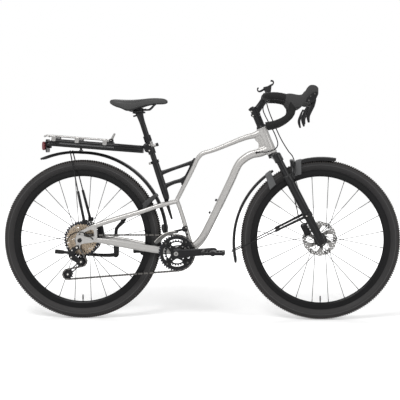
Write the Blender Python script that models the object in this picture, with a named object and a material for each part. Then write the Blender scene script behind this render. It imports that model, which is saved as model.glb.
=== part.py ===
"""Gravel bike with a bent frame, suspension fork, beam rack, fenders and a derailleur drive.

Metres, +X ahead, +Y to the rider's left, +Z up. The origin is on the ground, midway between
the wheels, on the bike's centre plane.
"""
import math

import bmesh
import bpy
from mathutils import Matrix, Vector

for old in list(bpy.data.objects):
    bpy.data.objects.remove(old, do_unlink=True)

# Clearances
CLEAR = 0.0003
RUN = 0.0006

# Wheels
WHEELBASE = 1.085
TYRE_RADIUS = 0.362
TYRE_WIDTH = 0.048
TYRE_DEPTH = 0.046
TREAD_HALF = 0.0125
WHEEL_SEGMENTS = 32
RIM_DEPTH = 0.028
RIM_WIDTH = 0.024
SPOKES_PER_SIDE = 12
SPOKE_RADIUS = 0.0011
HUB_RADIUS = 0.014
FLANGE_RADIUS = 0.026
FLANGE_THICKNESS = 0.0052
FRONT_HUB_WIDTH = 0.100
REAR_HUB_WIDTH = 0.142
AXLE_RADIUS = 0.006
ROTOR_RADIUS = 0.080
ROTOR_THICKNESS = 0.0018
FRONT_ROTOR_Y = 0.040
REAR_ROTOR_Y = 0.053
VALVE_LENGTH = 0.034
ROTOR_BOSS = 0.017
FRONT_FLANGES = (0.022, -0.033)
REAR_FLANGES = (0.033, -0.0165)

# Frame
STAY_ROOM = 0.078
CHAIN_STAY_LENGTH = TYRE_RADIUS + STAY_ROOM
BRACKET_DROP = 0.058
BRACKET_WIDTH = 0.068
BRACKET_RADIUS = 0.0225
SLEEVE_RADIUS = 0.0175
CUP_RADIUS = 0.0205
CUP_END = 0.0395
HEAD_ANGLE = 67.5
HEAD_LENGTH = 0.125
HEAD_BORE = 0.016
HEAD_RADIUS = 0.0235
FORK_ROOM = 0.0845
HEAD_RISE = TYRE_RADIUS + FORK_ROOM
SEAT_ANGLE = 72.0
SEAT_AHEAD = 0.0287
STAY_PLATE = 0.008
STAND_SPLAY = 15.0
STAND_HUB_HALF = 0.0075
STAND_HUB_RADIUS = 0.013
RACK_SEAT = TYRE_RADIUS + 0.150
MAST_TOP = RACK_SEAT - 0.085
MAST_RADIUS = 0.0155
POST_RADIUS = 0.013
POST_RISE = 0.220
POST_TOP = MAST_TOP + POST_RISE
POST_IN_MAST = 0.115
COLLAR_HEIGHT = 0.013
SADDLE_RAIL_RADIUS = 0.0035

# Fork
FORK_ANGLE = 62.5
FORK_OFFSET = 0.0516
LEG_SPACING = 0.132
STANCHION_RADIUS = 0.016
LEG_RADIUS = 0.0195
FORK_TRAVEL = 0.040
CROWN_DROP = 0.0285
CROWN_AT = HEAD_RISE - CROWN_DROP
LEG_TOP = CROWN_AT - FORK_TRAVEL - 0.051
STEERER_RADIUS = 0.0143
COVER_HEIGHT = 0.012
SPACER_HEIGHT = 0.044
STEM_CLAMP_HEIGHT = 0.038
CAP_HEIGHT = 0.006
FRONT_OUTER = 0.0772
ARCH_GAP = 0.014
STEERER_TOP = HEAD_LENGTH + COVER_HEIGHT + SPACER_HEIGHT + STEM_CLAMP_HEIGHT - 0.002

# Handlebar
BAR_RADIUS = 0.0119
BAR_CLAMP_RADIUS = 0.0159
TAPE_RADIUS = 0.0168
STEM_LENGTH = 0.081
STEM_RISE = 54.0
TAPE_START = 0.075
HOOD_Y = 0.2105
BRAKE_SLOT = 0.0105
SHIFT_POCKET = 0.0180
SHIFT_ROOT = 0.010
SHIFT_BOSS_RADIUS = 0.0045
HOSE_RADIUS = 0.0025
HOUSING_RADIUS = 0.0022
CORD_SEGMENTS = 2
CORD_STEP_RATIO = 5.8

# Drive
CRANK_LENGTH = 0.170
CRANK_ANGLE = 4.1
CHAIN_PITCH = 0.0127
CHAIN_LINKS = 118
CHAIN_HALF_HEIGHT = 0.0041
CHAIN_PLATE = 0.0007
CHAIN_GAP = 0.0016
ROLLER_SHARE = 0.2
LARGE_RING_TEETH = 40
SMALL_RING_TEETH = 28
COG_TEETH = (11, 13, 16, 19, 23, 28, 34, 40)
COG_SPACING = 0.0048
COG_THICKNESS = 0.0016
SMALLEST_COG_Y = -0.062
COG_INNER_END = -0.0205
CORE_RADIUS = 0.017
CORE_SIDES = 8
RING_THICKNESS = 0.0018
LARGE_RING_Y = -0.049
SMALL_RING_Y = -0.0425
PULLEY_TEETH = 11
CAGE_LENGTH = 0.086
CAGE_HALF = 0.0034
CAGE_PLATE = 0.0015
CAGE_OUTER = SMALLEST_COG_Y - CAGE_HALF - CAGE_PLATE
CAGE_INNER = SMALLEST_COG_Y + CAGE_HALF + CAGE_PLATE
PULLEY_PIN = 0.0025
CAGE_STUB = 0.0045
CAGE_STUB_END = -0.0785
MECH_PIN = 0.0035
GUIDE_AHEAD = 0.0065
GUIDE_DROP = 0.0965
SPIDER_FACE = LARGE_RING_Y - RING_THICKNESS / 2 - CLEAR
SPINDLE_END = 0.080
FRONT_CAGE_HALF = 0.0062
FRONT_CAGE_PLATE = 0.0012
SPINDLE_RADIUS = 0.012
PEDAL_LENGTH = 0.104
PEDAL_WIDTH = 0.088
PEDAL_HEIGHT = 0.020
PEDAL_CENTRE_Y = 0.140
PEDAL_INNER = 0.0935
PEDAL_PIN_END = 0.176
PEDAL_PIN = 0.006

# Fenders
FENDER_GAP = 0.028
FENDER_WIDTH = 0.058
FENDER_THICKNESS = 0.0022
FENDER_DROOP = 0.012
NOSE_GAP = 0.0095
STAY_WIRE = 0.0022

# Rack
RACK_LENGTH = 0.413
RACK_WIDTH = 0.110
RACK_HEIGHT = 0.034
RACK_TILT = -4.5
RAIL_RADIUS = 0.004
RAIL_RISE = 0.0125
RAIL_BRIDGES = (0.172, 0.299, RACK_LENGTH - 0.008)

X = Vector((1, 0, 0))
Y = Vector((0, 1, 0))
Z = Vector((0, 0, 1))
CENTRE = Vector((0, 0, 0))


def side(x, z, y=0.0):
    """A point given in the side view, y to the left."""
    return Vector((x, y, z))


def heading(degrees):
    """A unit vector in the side view, raised from straight ahead."""
    return side(math.cos(math.radians(degrees)), math.sin(math.radians(degrees)))


def ahead_of(up):
    """The vector square to a sloping line that points ahead."""
    return side(up.z, -up.x)


# Places that the pieces share
REAR_AXLE = side(-WHEELBASE / 2, TYRE_RADIUS)
FRONT_AXLE = side(WHEELBASE / 2, TYRE_RADIUS)
BRACKET = REAR_AXLE + side(math.sqrt(CHAIN_STAY_LENGTH ** 2 - BRACKET_DROP ** 2), -BRACKET_DROP)
HEAD_UP = heading(180 - HEAD_ANGLE)
HEAD_FRONT = ahead_of(HEAD_UP)
LEG_UP = heading(180 - FORK_ANGLE)
LEG_FRONT = ahead_of(LEG_UP)
SEAT_UP = heading(180 - SEAT_ANGLE)
SEAT_FRONT = ahead_of(SEAT_UP)
HEAD_LOW = FRONT_AXLE - HEAD_FRONT * FORK_OFFSET + HEAD_UP * HEAD_RISE
HEAD_HIGH = HEAD_LOW + HEAD_UP * HEAD_LENGTH
SEAT_BASE = BRACKET + side(SEAT_AHEAD, 0)
CRANK_OUT = heading(CRANK_ANGLE)
STEM_AT = HEAD_HIGH + HEAD_UP * (COVER_HEIGHT + SPACER_HEIGHT + STEM_CLAMP_HEIGHT / 2)
BAR_AT = STEM_AT + heading(STEM_RISE) * STEM_LENGTH
GUIDE_AT = REAR_AXLE + side(GUIDE_AHEAD, -GUIDE_DROP)
RACK_AHEAD = heading(RACK_TILT)
RACK_UP = -ahead_of(RACK_AHEAD)
RACK_FRONT = SEAT_BASE + SEAT_UP * (RACK_SEAT + 0.0052) - SEAT_FRONT * 0.0255
RACK_LEVER_AT = RACK_FRONT + side(-0.1505, 0.0245)
TAIL_AT = RACK_FRONT - RACK_AHEAD * RACK_LENGTH + side(-0.0388, -0.0329)
RAIL_CLAMP_AT = SEAT_BASE + SEAT_UP * (POST_TOP + 0.0328) + SEAT_FRONT * 0.0031
LEVER_PIVOT = BAR_AT + side(0.211, -0.005)
SHIFT_PIVOT = LEVER_PIVOT + side(-0.033, -0.045)
FRONT_MECH_AT = BRACKET + side(0.030, 0.106)
STAND_PIVOT = REAR_AXLE + side(0.1375, -0.083, 0.0865)
STAND_AXIS = Vector((0, math.cos(math.radians(STAND_SPLAY)), math.sin(math.radians(STAND_SPLAY))))
HOSE_PORT = HEAD_LOW + side(-0.072, 0.002, -0.0224)


def leg(rise, front=0.0, y=0.0):
    """A point on the fork, measured up the leg from the front axle."""
    return FRONT_AXLE + LEG_UP * rise + LEG_FRONT * front + Y * y


def seat(rise, front=0.0, y=0.0):
    """A point measured up the seat line from the bottom bracket's height."""
    return SEAT_BASE + SEAT_UP * rise + SEAT_FRONT * front + Y * y


def head(rise, front=0.0, y=0.0):
    """A point measured up the steering axis from the head tube's foot."""
    return HEAD_LOW + HEAD_UP * rise + HEAD_FRONT * front + Y * y


# Shared shaping tools
def solid(mesh):
    """Closes a mesh into an object with its faces pointing out."""
    bmesh.ops.recalc_face_normals(mesh, faces=mesh.faces)
    if mesh.calc_volume(signed=True) < 0:
        bmesh.ops.reverse_faces(mesh, faces=mesh.faces)
    data = bpy.data.meshes.new("shape")
    mesh.to_mesh(data)
    mesh.free()
    body = bpy.data.objects.new("shape", data)
    bpy.context.collection.objects.link(body)
    return body


def skin(rings, loop=False):
    """Bridges rings of points, capped at both ends unless they loop."""
    mesh = bmesh.new()
    loops = [[mesh.verts.new(point) for point in ring] for ring in rings]
    pairs = list(zip(loops, loops[1:]))
    if loop:
        pairs.append((loops[-1], loops[0]))
    for first, second in pairs:
        for i in range(len(first)):
            j = (i + 1) % len(first)
            mesh.faces.new((first[i], first[j], second[j], second[i]))
    if not loop:
        mesh.faces.new(list(reversed(loops[0])))
        mesh.faces.new(loops[-1])
    return solid(mesh)


def oval(width, height, sides, power=2.0):
    """Points of a rounded section; a power over 2 squares it."""
    points = []
    for i in range(sides):
        angle = 2 * math.pi * (i + 0.5) / sides
        across, up = math.cos(angle), math.sin(angle)
        points.append((math.copysign(abs(across) ** (2 / power), across) * width / 2,
                       math.copysign(abs(up) ** (2 / power), up) * height / 2))
    return points


def refine(stations, steps):
    """Fills in a smooth run of (centre, width, height) stations."""
    rows = [[*centre, width, height] for centre, width, height in stations]
    filled = []
    for i in range(len(rows) - 1):
        near = (rows[max(i - 1, 0)], rows[i], rows[i + 1], rows[min(i + 2, len(rows) - 1)])
        for k in range(steps):
            t = k / steps
            filled.append([b + (c - a) * t / 2 + (2 * a - 5 * b + 4 * c - d) * t * t / 2
                           + (3 * b - a - 3 * c + d) * t ** 3 / 2 for a, b, c, d in zip(*near)])
    filled.append(rows[-1])
    return [(Vector(row[:3]), row[3], row[4]) for row in filled]


def swept(stations, sides=10, power=2.0, across=Y):
    """Lofts a rounded section through stations; across None lets it turn with the path."""
    rings = []
    turning = across is None
    for i, (centre, width, height) in enumerate(stations):
        before = stations[max(i - 1, 0)][0]
        after = stations[min(i + 1, len(stations) - 1)][0]
        along = (after - before).normalized()
        if turning and across is None:
            across = Z if abs(along.z) < abs(along.x) + abs(along.y) else X
        sideways = (across - along * across.dot(along)).normalized()
        upward = along.cross(sideways)
        if turning:
            across = sideways
        rings.append([centre + sideways * p + upward * q for p, q in oval(width, height, sides, power)])
    return skin(rings)


def rod(points, radius, sides=8, across=None):
    """A round rod through points."""
    return swept([(point, radius * 2, radius * 2) for point in points], sides, 2.0, across)


def turned(profile, base, axis, sides=16, ring=False):
    """Turns (radius, height) pairs about an axis; a ring joins the last pair to the first."""
    reference = X if abs(axis.normalized().y) > 0.9 else Y
    along = axis.normalized()
    across = (reference - along * reference.dot(along)).normalized()
    upward = along.cross(across)
    mesh = bmesh.new()
    loops = []
    for radius, height in profile:
        centre = base + along * height
        count = sides if radius else 1
        angles = [2 * math.pi * (i + 0.5) / sides for i in range(count)]
        loops.append([mesh.verts.new(centre + across * math.cos(a) * radius + upward * math.sin(a) * radius)
                      for a in angles])
    pairs = list(zip(loops, loops[1:]))
    if ring:
        pairs.append((loops[-1], loops[0]))
    for first, second in pairs:
        for i in range(sides):
            j = (i + 1) % sides
            corners = (first[i % len(first)], first[j % len(first)],
                       second[j % len(second)], second[i % len(second)])
            corners = list(dict.fromkeys(corners))
            if len(corners) > 2:
                mesh.faces.new(corners)
    if not ring:
        for loop in (loops[0], loops[-1]):
            if len(loop) > 1:
                mesh.faces.new(loop)
    return solid(mesh)


def disc(radius, y_low, y_high, centre, sides=16):
    """A round pin across the bike."""
    return turned([(0, y_low), (radius, y_low), (radius, y_high), (0, y_high)], side(centre.x, centre.z), Y, sides)


def bar(start, end, radius, sides=12):
    """A plain round bar between two points."""
    length = (end - start).length
    return turned([(0, 0), (radius, 0), (radius, length), (0, length)], start, end - start, sides)


def flat(radius, sides):
    """The corner radius of a polygon whose flats lie at a radius."""
    return radius / math.cos(math.pi / sides)


def side_plane(y, centre=CENTRE):
    """Lays a drawing in the side view at a distance from the centre plane."""
    return Matrix.Translation(side(centre.x, centre.z, y)) @ Matrix(((1, 0, 0, 0), (0, 0, 1, 0), (0, 1, 0, 0), (0, 0, 0, 1)))


def basis(right, up, centre):
    """Lays a drawing with its right and up along two vectors."""
    out = right.cross(up)
    return Matrix.Translation(centre) @ Matrix((right, up, out)).transposed().to_4x4()


def plate(outline, holes, thickness, place):
    """A flat sheet with holes, cut to an outline."""
    mesh = bmesh.new()
    edges = []
    for loop in (outline, *holes):
        corners = [mesh.verts.new((x, y, -thickness / 2)) for x, y in loop]
        edges += [mesh.edges.new((corners[i - 1], corners[i])) for i in range(len(corners))]
    filled = bmesh.ops.triangle_fill(mesh, use_beauty=True, edges=edges)
    faces = [item for item in filled["geom"] if isinstance(item, bmesh.types.BMFace)]
    raised = bmesh.ops.extrude_face_region(mesh, geom=faces)
    lifted = [item for item in raised["geom"] if isinstance(item, bmesh.types.BMVert)]
    bmesh.ops.translate(mesh, verts=lifted, vec=(0, 0, thickness))
    mesh.transform(place)
    return solid(mesh)


def circle(radius, sides, centre=(0, 0), start=0.0):
    """Points of a circle in a drawing."""
    return [(centre[0] + radius * math.cos(start + 2 * math.pi * i / sides),
             centre[1] + radius * math.sin(start + 2 * math.pi * i / sides)) for i in range(sides)]


def arc_slot(inner, outer, middle, spread, steps):
    """A curved slot between two radii, about an angle in degrees."""
    angles = [math.radians(middle + spread * (2 * i / steps - 1)) for i in range(steps + 1)]
    far = [(outer * math.cos(a), outer * math.sin(a)) for a in angles]
    near = [(inner * math.cos(a), inner * math.sin(a)) for a in reversed(angles)]
    return far + near


def boolean(target, tools, operation):
    """Joins or cuts solids and keeps one mesh."""
    for tool in tools:
        step = target.modifiers.new("cut", "BOOLEAN")
        step.operation = operation
        step.object = tool
    bpy.context.view_layer.update()
    result = bpy.data.meshes.new_from_object(target.evaluated_get(bpy.context.evaluated_depsgraph_get()))
    target.modifiers.clear()
    target.data = result
    for tool in tools:
        bpy.data.objects.remove(tool)
    return target


def joined(first, *others):
    """One solid from overlapping solids."""
    return boolean(first, others, "UNION")


def carved(first, *cutters):
    """A solid less its cutters."""
    return boolean(first, cutters, "DIFFERENCE")


# Moving bodies, one empty on each joint
PIVOTS = {}


def pivot(name, place, parent=None):
    """An empty on a joint's axis, carried by its parent's empty."""
    empty = bpy.data.objects.new(name, None)
    bpy.context.collection.objects.link(empty)
    PIVOTS[name] = place.copy()
    empty.parent = bpy.data.objects[parent] if parent else None
    empty.location = place - (PIVOTS[parent] if parent else CENTRE)
    return empty


# Finishes: colour, roughness, metallic
SILVER = ((0.56, 0.54, 0.52), 0.32, 0.6)
BLACK_PAINT = ((0.012, 0.012, 0.013), 0.42, 0.0)
BLACK_ALLOY = ((0.03, 0.03, 0.032), 0.4, 0.6)
DARK_PLASTIC = ((0.02, 0.02, 0.021), 0.55, 0.0)
TYRE_RUBBER = ((0.035, 0.034, 0.033), 0.85, 0.0)
GRIP_TAPE = ((0.03, 0.03, 0.03), 0.75, 0.0)
BRIGHT_STEEL = ((0.6, 0.58, 0.55), 0.3, 1.0)
COG_STEEL = ((0.42, 0.37, 0.31), 0.35, 1.0)
LAMP_RED = ((0.35, 0.01, 0.015), 0.2, 0.0)
SADDLE_COVER = ((0.03, 0.03, 0.032), 0.6, 0.0)


def piece(name, body, finish, carrier="frame", sharp=35.0):
    """Names a solid, gives it its finish and hangs it on the body that carries it."""
    body.name = name
    body.data.name = name
    colour, roughness, metallic = finish
    material = bpy.data.materials.new(name + "_finish")
    material.use_nodes = True
    shader = material.node_tree.nodes["Principled BSDF"]
    shader.inputs["Base Color"].default_value = (*colour, 1)
    shader.inputs["Roughness"].default_value = roughness
    shader.inputs["Metallic"].default_value = metallic
    body.data.materials.clear()
    body.data.materials.append(material)
    body.data.shade_smooth()
    body.data.set_sharp_from_angle(angle=math.radians(sharp))
    body.data.transform(Matrix.Translation(-PIVOTS[carrier]))
    body.parent = bpy.data.objects[carrier]
    return body


# Frame
DROPOUT_Y = REAR_HUB_WIDTH / 2 + CLEAR + STAY_PLATE / 2
JUNCTION = BRACKET + side(-0.006, 0.230)
TOP_BEND = BRACKET + side(0.104, 0.441)
BOSS_OUT = heading(152.8)
BOSS_HEIGHT = 0.003


def front_span(along, rise):
    """A point of the front triangle, as shares of the span from the bracket to the head tube's foot."""
    span = HEAD_LOW - BRACKET
    return BRACKET + side(along * span.x, rise * span.z)


BOTTLE_BOSS = front_span(0.4067, 0.5236)


def down_tube(grow=0.0):
    """The deep tube from the head to the bottom bracket, bent at both ends."""
    route = [(head(0.022, -0.004), 0.040, 0.036), (head(0.022, -0.045), 0.042, 0.040),
             (front_span(0.781, 0.984), 0.043, 0.038), (front_span(0.697, 0.935), 0.043, 0.037),
             (front_span(0.637, 0.870), 0.044, 0.036), (front_span(0.548, 0.685), 0.045, 0.036),
             (front_span(0.352, 0.302), 0.045, 0.036), (front_span(0.265, 0.146), 0.046, 0.037),
             (front_span(0.186, 0.062), 0.051, 0.037), (front_span(0.1046, 0.0222), 0.056, 0.036),
             (BRACKET, 0.060, 0.034)]
    grown = [(centre, width + grow, height + grow) for centre, width, height in route]
    return swept(grown, 8, 2.8)


def top_tube(grow=0.0):
    """The slim tube from the head that bends down to the stay junction."""
    route = [(head(0.096, -0.004), 0.034, 0.040), (head(0.092, -0.040), 0.034, 0.035),
             (front_span(0.695, 1.147), 0.034, 0.027), (front_span(0.411, 1.040), 0.033, 0.021),
             (BRACKET + side(0.124, 0.4525), 0.032, 0.021), (TOP_BEND, 0.031, 0.021),
             (BRACKET + side(0.0865, 0.418), 0.030, 0.021), (BRACKET + side(0.0655, 0.373), 0.029, 0.021),
             (JUNCTION + side(0.007, 0.016), 0.028, 0.020), (JUNCTION + side(-0.004, -0.008), 0.028, 0.018)]
    grown = [(centre, width + grow, height + grow) for centre, width, height in route]
    return swept(grown, 8, 2.4)


def seat_tube(grow=0.0):
    """The short tube from the stay junction to the bottom bracket."""
    route = [(JUNCTION + side(0.002, 0.006), 0.028, 0.018), (JUNCTION + side(0.028, -0.070), 0.030, 0.020),
             (BRACKET + side(0.058, 0.036), 0.032, 0.022)]
    return swept([(place, width + grow, depth + grow) for place, width, depth in route], 8, 2.4)


def seat_stay(hand, grow=0.0):
    """One upper stay, splayed round the mast, the fender and the wheel."""
    route = [(JUNCTION + side(0.004, 0.001, hand * 0.009), 0.016, 0.019),
             (JUNCTION + side(-0.030, -0.007, hand * 0.0265), 0.015, 0.018),
             (JUNCTION + side(-0.060, -0.0145, hand * 0.0405), 0.014, 0.018),
             (JUNCTION + side(-0.095, -0.024, hand * 0.0435), 0.014, 0.018),
             (JUNCTION + side(-0.160, -0.046, hand * 0.050), 0.014, 0.017),
             (JUNCTION + side(-0.262, -0.076, hand * 0.061), 0.013, 0.016),
             (REAR_AXLE + side(0.072, 0.066, hand * 0.0725), 0.010, 0.016),
             (REAR_AXLE + side(0.046, 0.056, hand * DROPOUT_Y), STAY_PLATE - 0.001, 0.014)]
    return swept([(place, width + grow, depth + grow) for place, width, depth in route], 8, 2.4)


def chain_stay(hand, grow=0.0):
    """One lower stay, narrow beside the chainrings and deep at its middle."""
    route = [(BRACKET + side(0.004, 0.001, hand * 0.0242), 0.0145, 0.030),
             (BRACKET + side(-0.027, 0.005, hand * 0.0265), 0.013, 0.031),
             (BRACKET + side(-0.058, 0.0085, hand * 0.034), 0.012, 0.034),
             (BRACKET + side(-0.088, 0.0125, hand * 0.0375), 0.014, 0.034),
             (BRACKET + side(-0.153, 0.0225, hand * 0.045), 0.018, 0.033),
             (REAR_AXLE + side(0.165, -0.013, hand * 0.0605), 0.018, 0.031),
             (REAR_AXLE + side(0.066, 0.0015, hand * 0.0725), 0.011, 0.022),
             (REAR_AXLE + side(0.018, 0.002, hand * DROPOUT_Y), STAY_PLATE - 0.001, 0.022)]
    return swept([(place, width + grow, depth + grow) for place, width, depth in route], 8, 3.0)


def dropout(hand):
    """One axle plate with its window, eyelet and, on the drive side, the derailleur hanger."""
    outline = [(-0.018, -0.006), (-0.019, 0.010), (-0.013, 0.030), (-0.004, 0.040), (0.014, 0.047),
               (0.044, 0.063), (0.066, 0.071), (0.076, 0.060), (0.080, 0.014), (0.060, -0.010),
               (0.022, -0.014), (0.004, -0.019)]
    if hand < 0:
        outline += [(0.001, -0.036), (-0.012, -0.041), (-0.020, -0.030), (-0.016, -0.018)]
    else:
        outline += [(-0.012, -0.016)]
    window = [(0.018, 0.020), (0.022, 0.036), (0.054, 0.050), (0.064, 0.044), (0.067, 0.018), (0.034, 0.014)]
    holes = [circle(AXLE_RADIUS + RUN, 10), window, circle(0.0026, 6, (-0.001, 0.028))]
    return plate(outline, holes, STAY_PLATE, side_plane(hand * DROPOUT_Y, REAR_AXLE))


def main_frame():
    """The welded frame, one solid."""
    head_tube = turned([(0, 0), (HEAD_RADIUS + 0.0005, 0), (HEAD_RADIUS, 0.014), (HEAD_RADIUS - 0.0015, 0.060),
                        (HEAD_RADIUS - 0.0005, HEAD_LENGTH - 0.010), (HEAD_RADIUS, HEAD_LENGTH), (0, HEAD_LENGTH)],
                       HEAD_LOW, HEAD_UP, 12)
    gusset = plate([(0, 0.010), (0, 0.112), (-0.050, 0.086), (-0.040, 0.066), (-0.046, 0.048), (-0.070, 0.026)],
                   [], 0.024, basis(HEAD_FRONT, HEAD_UP, HEAD_LOW))
    shell = disc(BRACKET_RADIUS, -BRACKET_WIDTH / 2, BRACKET_WIDTH / 2, BRACKET, 12)
    stays = [make(hand) for hand in (-1, 1) for make in (seat_stay, chain_stay, dropout)]
    bosses = [bar(place - BOSS_OUT * 0.012, place + BOSS_OUT * BOSS_HEIGHT, 0.006, 8)
              for place in (BOTTLE_BOSS, BOTTLE_BOSS - ahead_of(BOSS_OUT) * 0.064)]
    welded = joined(down_tube(), top_tube(), head_tube, gusset, seat_tube(), shell, *stays, *bosses)
    return carved(welded,
                  disc(flat(SLEEVE_RADIUS + CLEAR, 12), -BRACKET_WIDTH, BRACKET_WIDTH, BRACKET, 12),
                  bar(head(-0.010), head(HEAD_LENGTH + 0.010), flat(HEAD_BORE, 12), 12))


def seat_mast():
    """The black mast with its collar and two braces, which seats on the silver tube."""
    tube = swept(refine([(seat(MAST_TOP), MAST_RADIUS * 2, MAST_RADIUS * 2),
                         (seat(MAST_TOP - 0.100), MAST_RADIUS * 2, MAST_RADIUS * 2 + 0.001),
                         (seat(MAST_TOP - 0.165, -0.001), 0.029, 0.028),
                         (JUNCTION + side(-0.047, 0.004), 0.024, 0.018),
                         (JUNCTION + side(-0.034, -0.040), 0.018, 0.014),
                         (JUNCTION + side(-0.021, -0.082), 0.012, 0.010)], 1), 10, 2.3)
    high = swept([(seat(MAST_TOP - 0.045), 0.022, 0.026), (seat(MAST_TOP - 0.038, 0.034), 0.020, 0.018),
                  (TOP_BEND + side(-0.075, -0.045), 0.018, 0.018),
                  (TOP_BEND + side(-0.025, -0.026), 0.018, 0.022)], 8, 3.0)
    low = swept([(seat(MAST_TOP - 0.105), 0.022, 0.028), (seat(MAST_TOP - 0.094, 0.032), 0.020, 0.017),
                 (TOP_BEND + side(-0.102, -0.122), 0.018, 0.018),
                 (TOP_BEND + side(-0.066, -0.112), 0.018, 0.032)], 8, 3.0)
    strip = swept([(TOP_BEND + side(-0.030, -0.026), 0.018, 0.014), (TOP_BEND + side(-0.044, -0.066), 0.018, 0.013),
                   (TOP_BEND + side(-0.070, -0.118), 0.018, 0.016)], 8, 3.0)
    collar = turned([(0, 0), (MAST_RADIUS + 0.003, 0), (MAST_RADIUS + 0.003, COLLAR_HEIGHT), (0, COLLAR_HEIGHT)],
                    seat(MAST_TOP - 0.002), SEAT_UP, 14)
    ear = bar(seat(MAST_TOP + 0.0045, -0.014), seat(MAST_TOP + 0.0045, -0.030), 0.005, 8)
    stays = [seat_stay(hand, 2 * CLEAR) for hand in (-1, 1)]
    bore = bar(seat(MAST_TOP - POST_IN_MAST - 0.030), seat(MAST_TOP + 0.030), flat(POST_RADIUS + CLEAR, 12), 12)
    return carved(joined(tube, collar, ear, high, low, strip), top_tube(2 * CLEAR), *stays, bore)


def bearing_cups():
    """The two bearing cups, tied by the sleeve between them."""
    outside = BRACKET_WIDTH / 2 + CLEAR
    return turned([(SPINDLE_RADIUS + RUN, -CUP_END), (CUP_RADIUS, -CUP_END), (CUP_RADIUS, -outside),
                   (SLEEVE_RADIUS, -outside), (SLEEVE_RADIUS, outside), (CUP_RADIUS, outside),
                   (CUP_RADIUS, CUP_END), (SPINDLE_RADIUS + RUN, CUP_END)], BRACKET, Y, 12, ring=True)


# Seat
def seat_post():
    """The round post with its head under the saddle rails."""
    post = bar(seat(MAST_TOP - POST_IN_MAST), seat(POST_TOP), POST_RADIUS, 12)
    head_block = swept([(seat(POST_TOP - 0.022), 0.026, 0.026), (seat(POST_TOP - 0.006), 0.034, 0.030),
                        (RAIL_CLAMP_AT - Z * 0.0040, 0.036, 0.038)], 8, 3.0)
    return joined(post, head_block)


def saddle_rails(grow=0.0):
    """Both rails, one bent wire."""
    half = [(-0.0873, 0.0325, 0.035), (-0.0763, 0.0145, 0.032), (-0.0603, 0.003, 0.027), (-0.0373, 0, 0.0222),
            (0.0367, 0, 0.0205), (0.0527, 0.0045, 0.018), (0.0687, 0.0205, 0.012), (0.0817, 0.032, 0.008)]
    right = [RAIL_CLAMP_AT + side(x, z, -y) for x, z, y in half]
    right[0] += (right[0] - right[1]).normalized() * 2 * grow
    left = [Vector((p.x, -p.y, p.z)) for p in reversed(right)]
    return rod([*right, RAIL_CLAMP_AT + side(0.0867, 0.034), *left], SADDLE_RAIL_RADIUS + grow, 6, Z)


def saddle_clamp():
    """The block that grips both rails, with its lever bolt at the front."""
    block = swept([(RAIL_CLAMP_AT - X * 0.023, 0.060, 0.010), (RAIL_CLAMP_AT - X * 0.020, 0.062, 0.0135),
                   (RAIL_CLAMP_AT + X * 0.016, 0.062, 0.0135), (RAIL_CLAMP_AT + X * 0.020, 0.060, 0.010)], 8, 4.0)
    lever = bar(RAIL_CLAMP_AT + side(0.016, 0.001), RAIL_CLAMP_AT + side(0.034, 0.005), 0.0042, 8)
    return carved(joined(block, lever), saddle_rails(CLEAR))


def saddle():
    """The padded saddle with a crown on top, drawn-in sides and a hollow underside."""
    stations = [(-0.1298, 0.0385, 0.0325, 0.030, 0.002), (-0.1243, 0.045, 0.0275, 0.052, 0.004),
                (-0.1113, 0.048, 0.0195, 0.066, 0.009), (-0.0933, 0.048, 0.0115, 0.074, 0.015),
                (-0.0713, 0.047, 0.0045, 0.0755, 0.021), (-0.0473, 0.0465, -0.006, 0.0715, 0.029),
                (-0.0233, 0.047, -0.003, 0.061, 0.027), (0.0007, 0.0485, 0.0065, 0.047, 0.020),
                (0.0247, 0.051, 0.0155, 0.034, 0.013), (0.0487, 0.0535, 0.0215, 0.0265, 0.009),
                (0.0767, 0.0545, 0.0255, 0.0220, 0.007), (0.1087, 0.0527, 0.0265, 0.0192, 0.005),
                (0.1247, 0.048, 0.0295, 0.0145, 0.003),
                (0.1312, 0.0415, 0.0335, 0.008, 0.001)]
    rings = []
    for x, top, edge, half, hollow in stations:
        drop = top - edge
        section = [(0.0, top), (0.45, top - 0.015 * drop), (0.78, top - 0.09 * drop), (0.96, top - 0.28 * drop),
                   (1.0, top - 0.50 * drop), (0.975, top - 0.80 * drop), (0.91, edge), (0.83, edge + 0.15 * hollow),
                   (0.72, edge + 0.75 * hollow), (0.40, edge + hollow)]
        right = [RAIL_CLAMP_AT + side(x, z, -half * across) for across, z in section]
        left = [RAIL_CLAMP_AT + side(x, z, half * across) for across, z in reversed(section[1:])]
        rings.append(right + left)
    return carved(skin(rings), saddle_rails(2 * CLEAR))


# Rack
def rack(along, up=0.0, y=0.0):
    """A point on the rack, measured back from the top of its front end."""
    return RACK_FRONT - RACK_AHEAD * along + RACK_UP * up + Y * y


def rack_beam():
    """The box beam with a groove down each side and a post to the fender."""
    half, low, lip = RACK_WIDTH / 2, RACK_HEIGHT, 0.006
    section = [(half - lip, 0), (half, -lip), (half, -0.011), (half - 0.008, -0.013), (half - 0.008, -0.022),
               (half, -0.024), (half - 0.006, -low), (-half + 0.006, -low), (-half, -0.024),
               (-half + 0.008, -0.022), (-half + 0.008, -0.013), (-half, -0.011), (-half, -lip), (-half + lip, 0)]
    rings = []
    for along, narrow, slant in ((0.0, 0.42, 0.0), (0.020, 0.72, 0.0), (0.070, 1.0, 0.0),
                                 (RACK_LENGTH - 0.012, 1.0, 0.018), (RACK_LENGTH, 0.92, 0.024)):
        rings.append([rack(along + slant * (-up / RACK_HEIGHT), up, y * narrow) for y, up in section])
    foot = REAR_AXLE + heading(91.2) * (fender_radius(91.2) + FENDER_THICKNESS + 0.0006)
    over_foot = (RACK_FRONT.x - foot.x) / RACK_AHEAD.x
    post = bar(foot, rack(over_foot, 0.008 - RACK_HEIGHT), 0.0055, 8)
    return joined(skin(rings), post, lever_base(), lamp_bracket())


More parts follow.
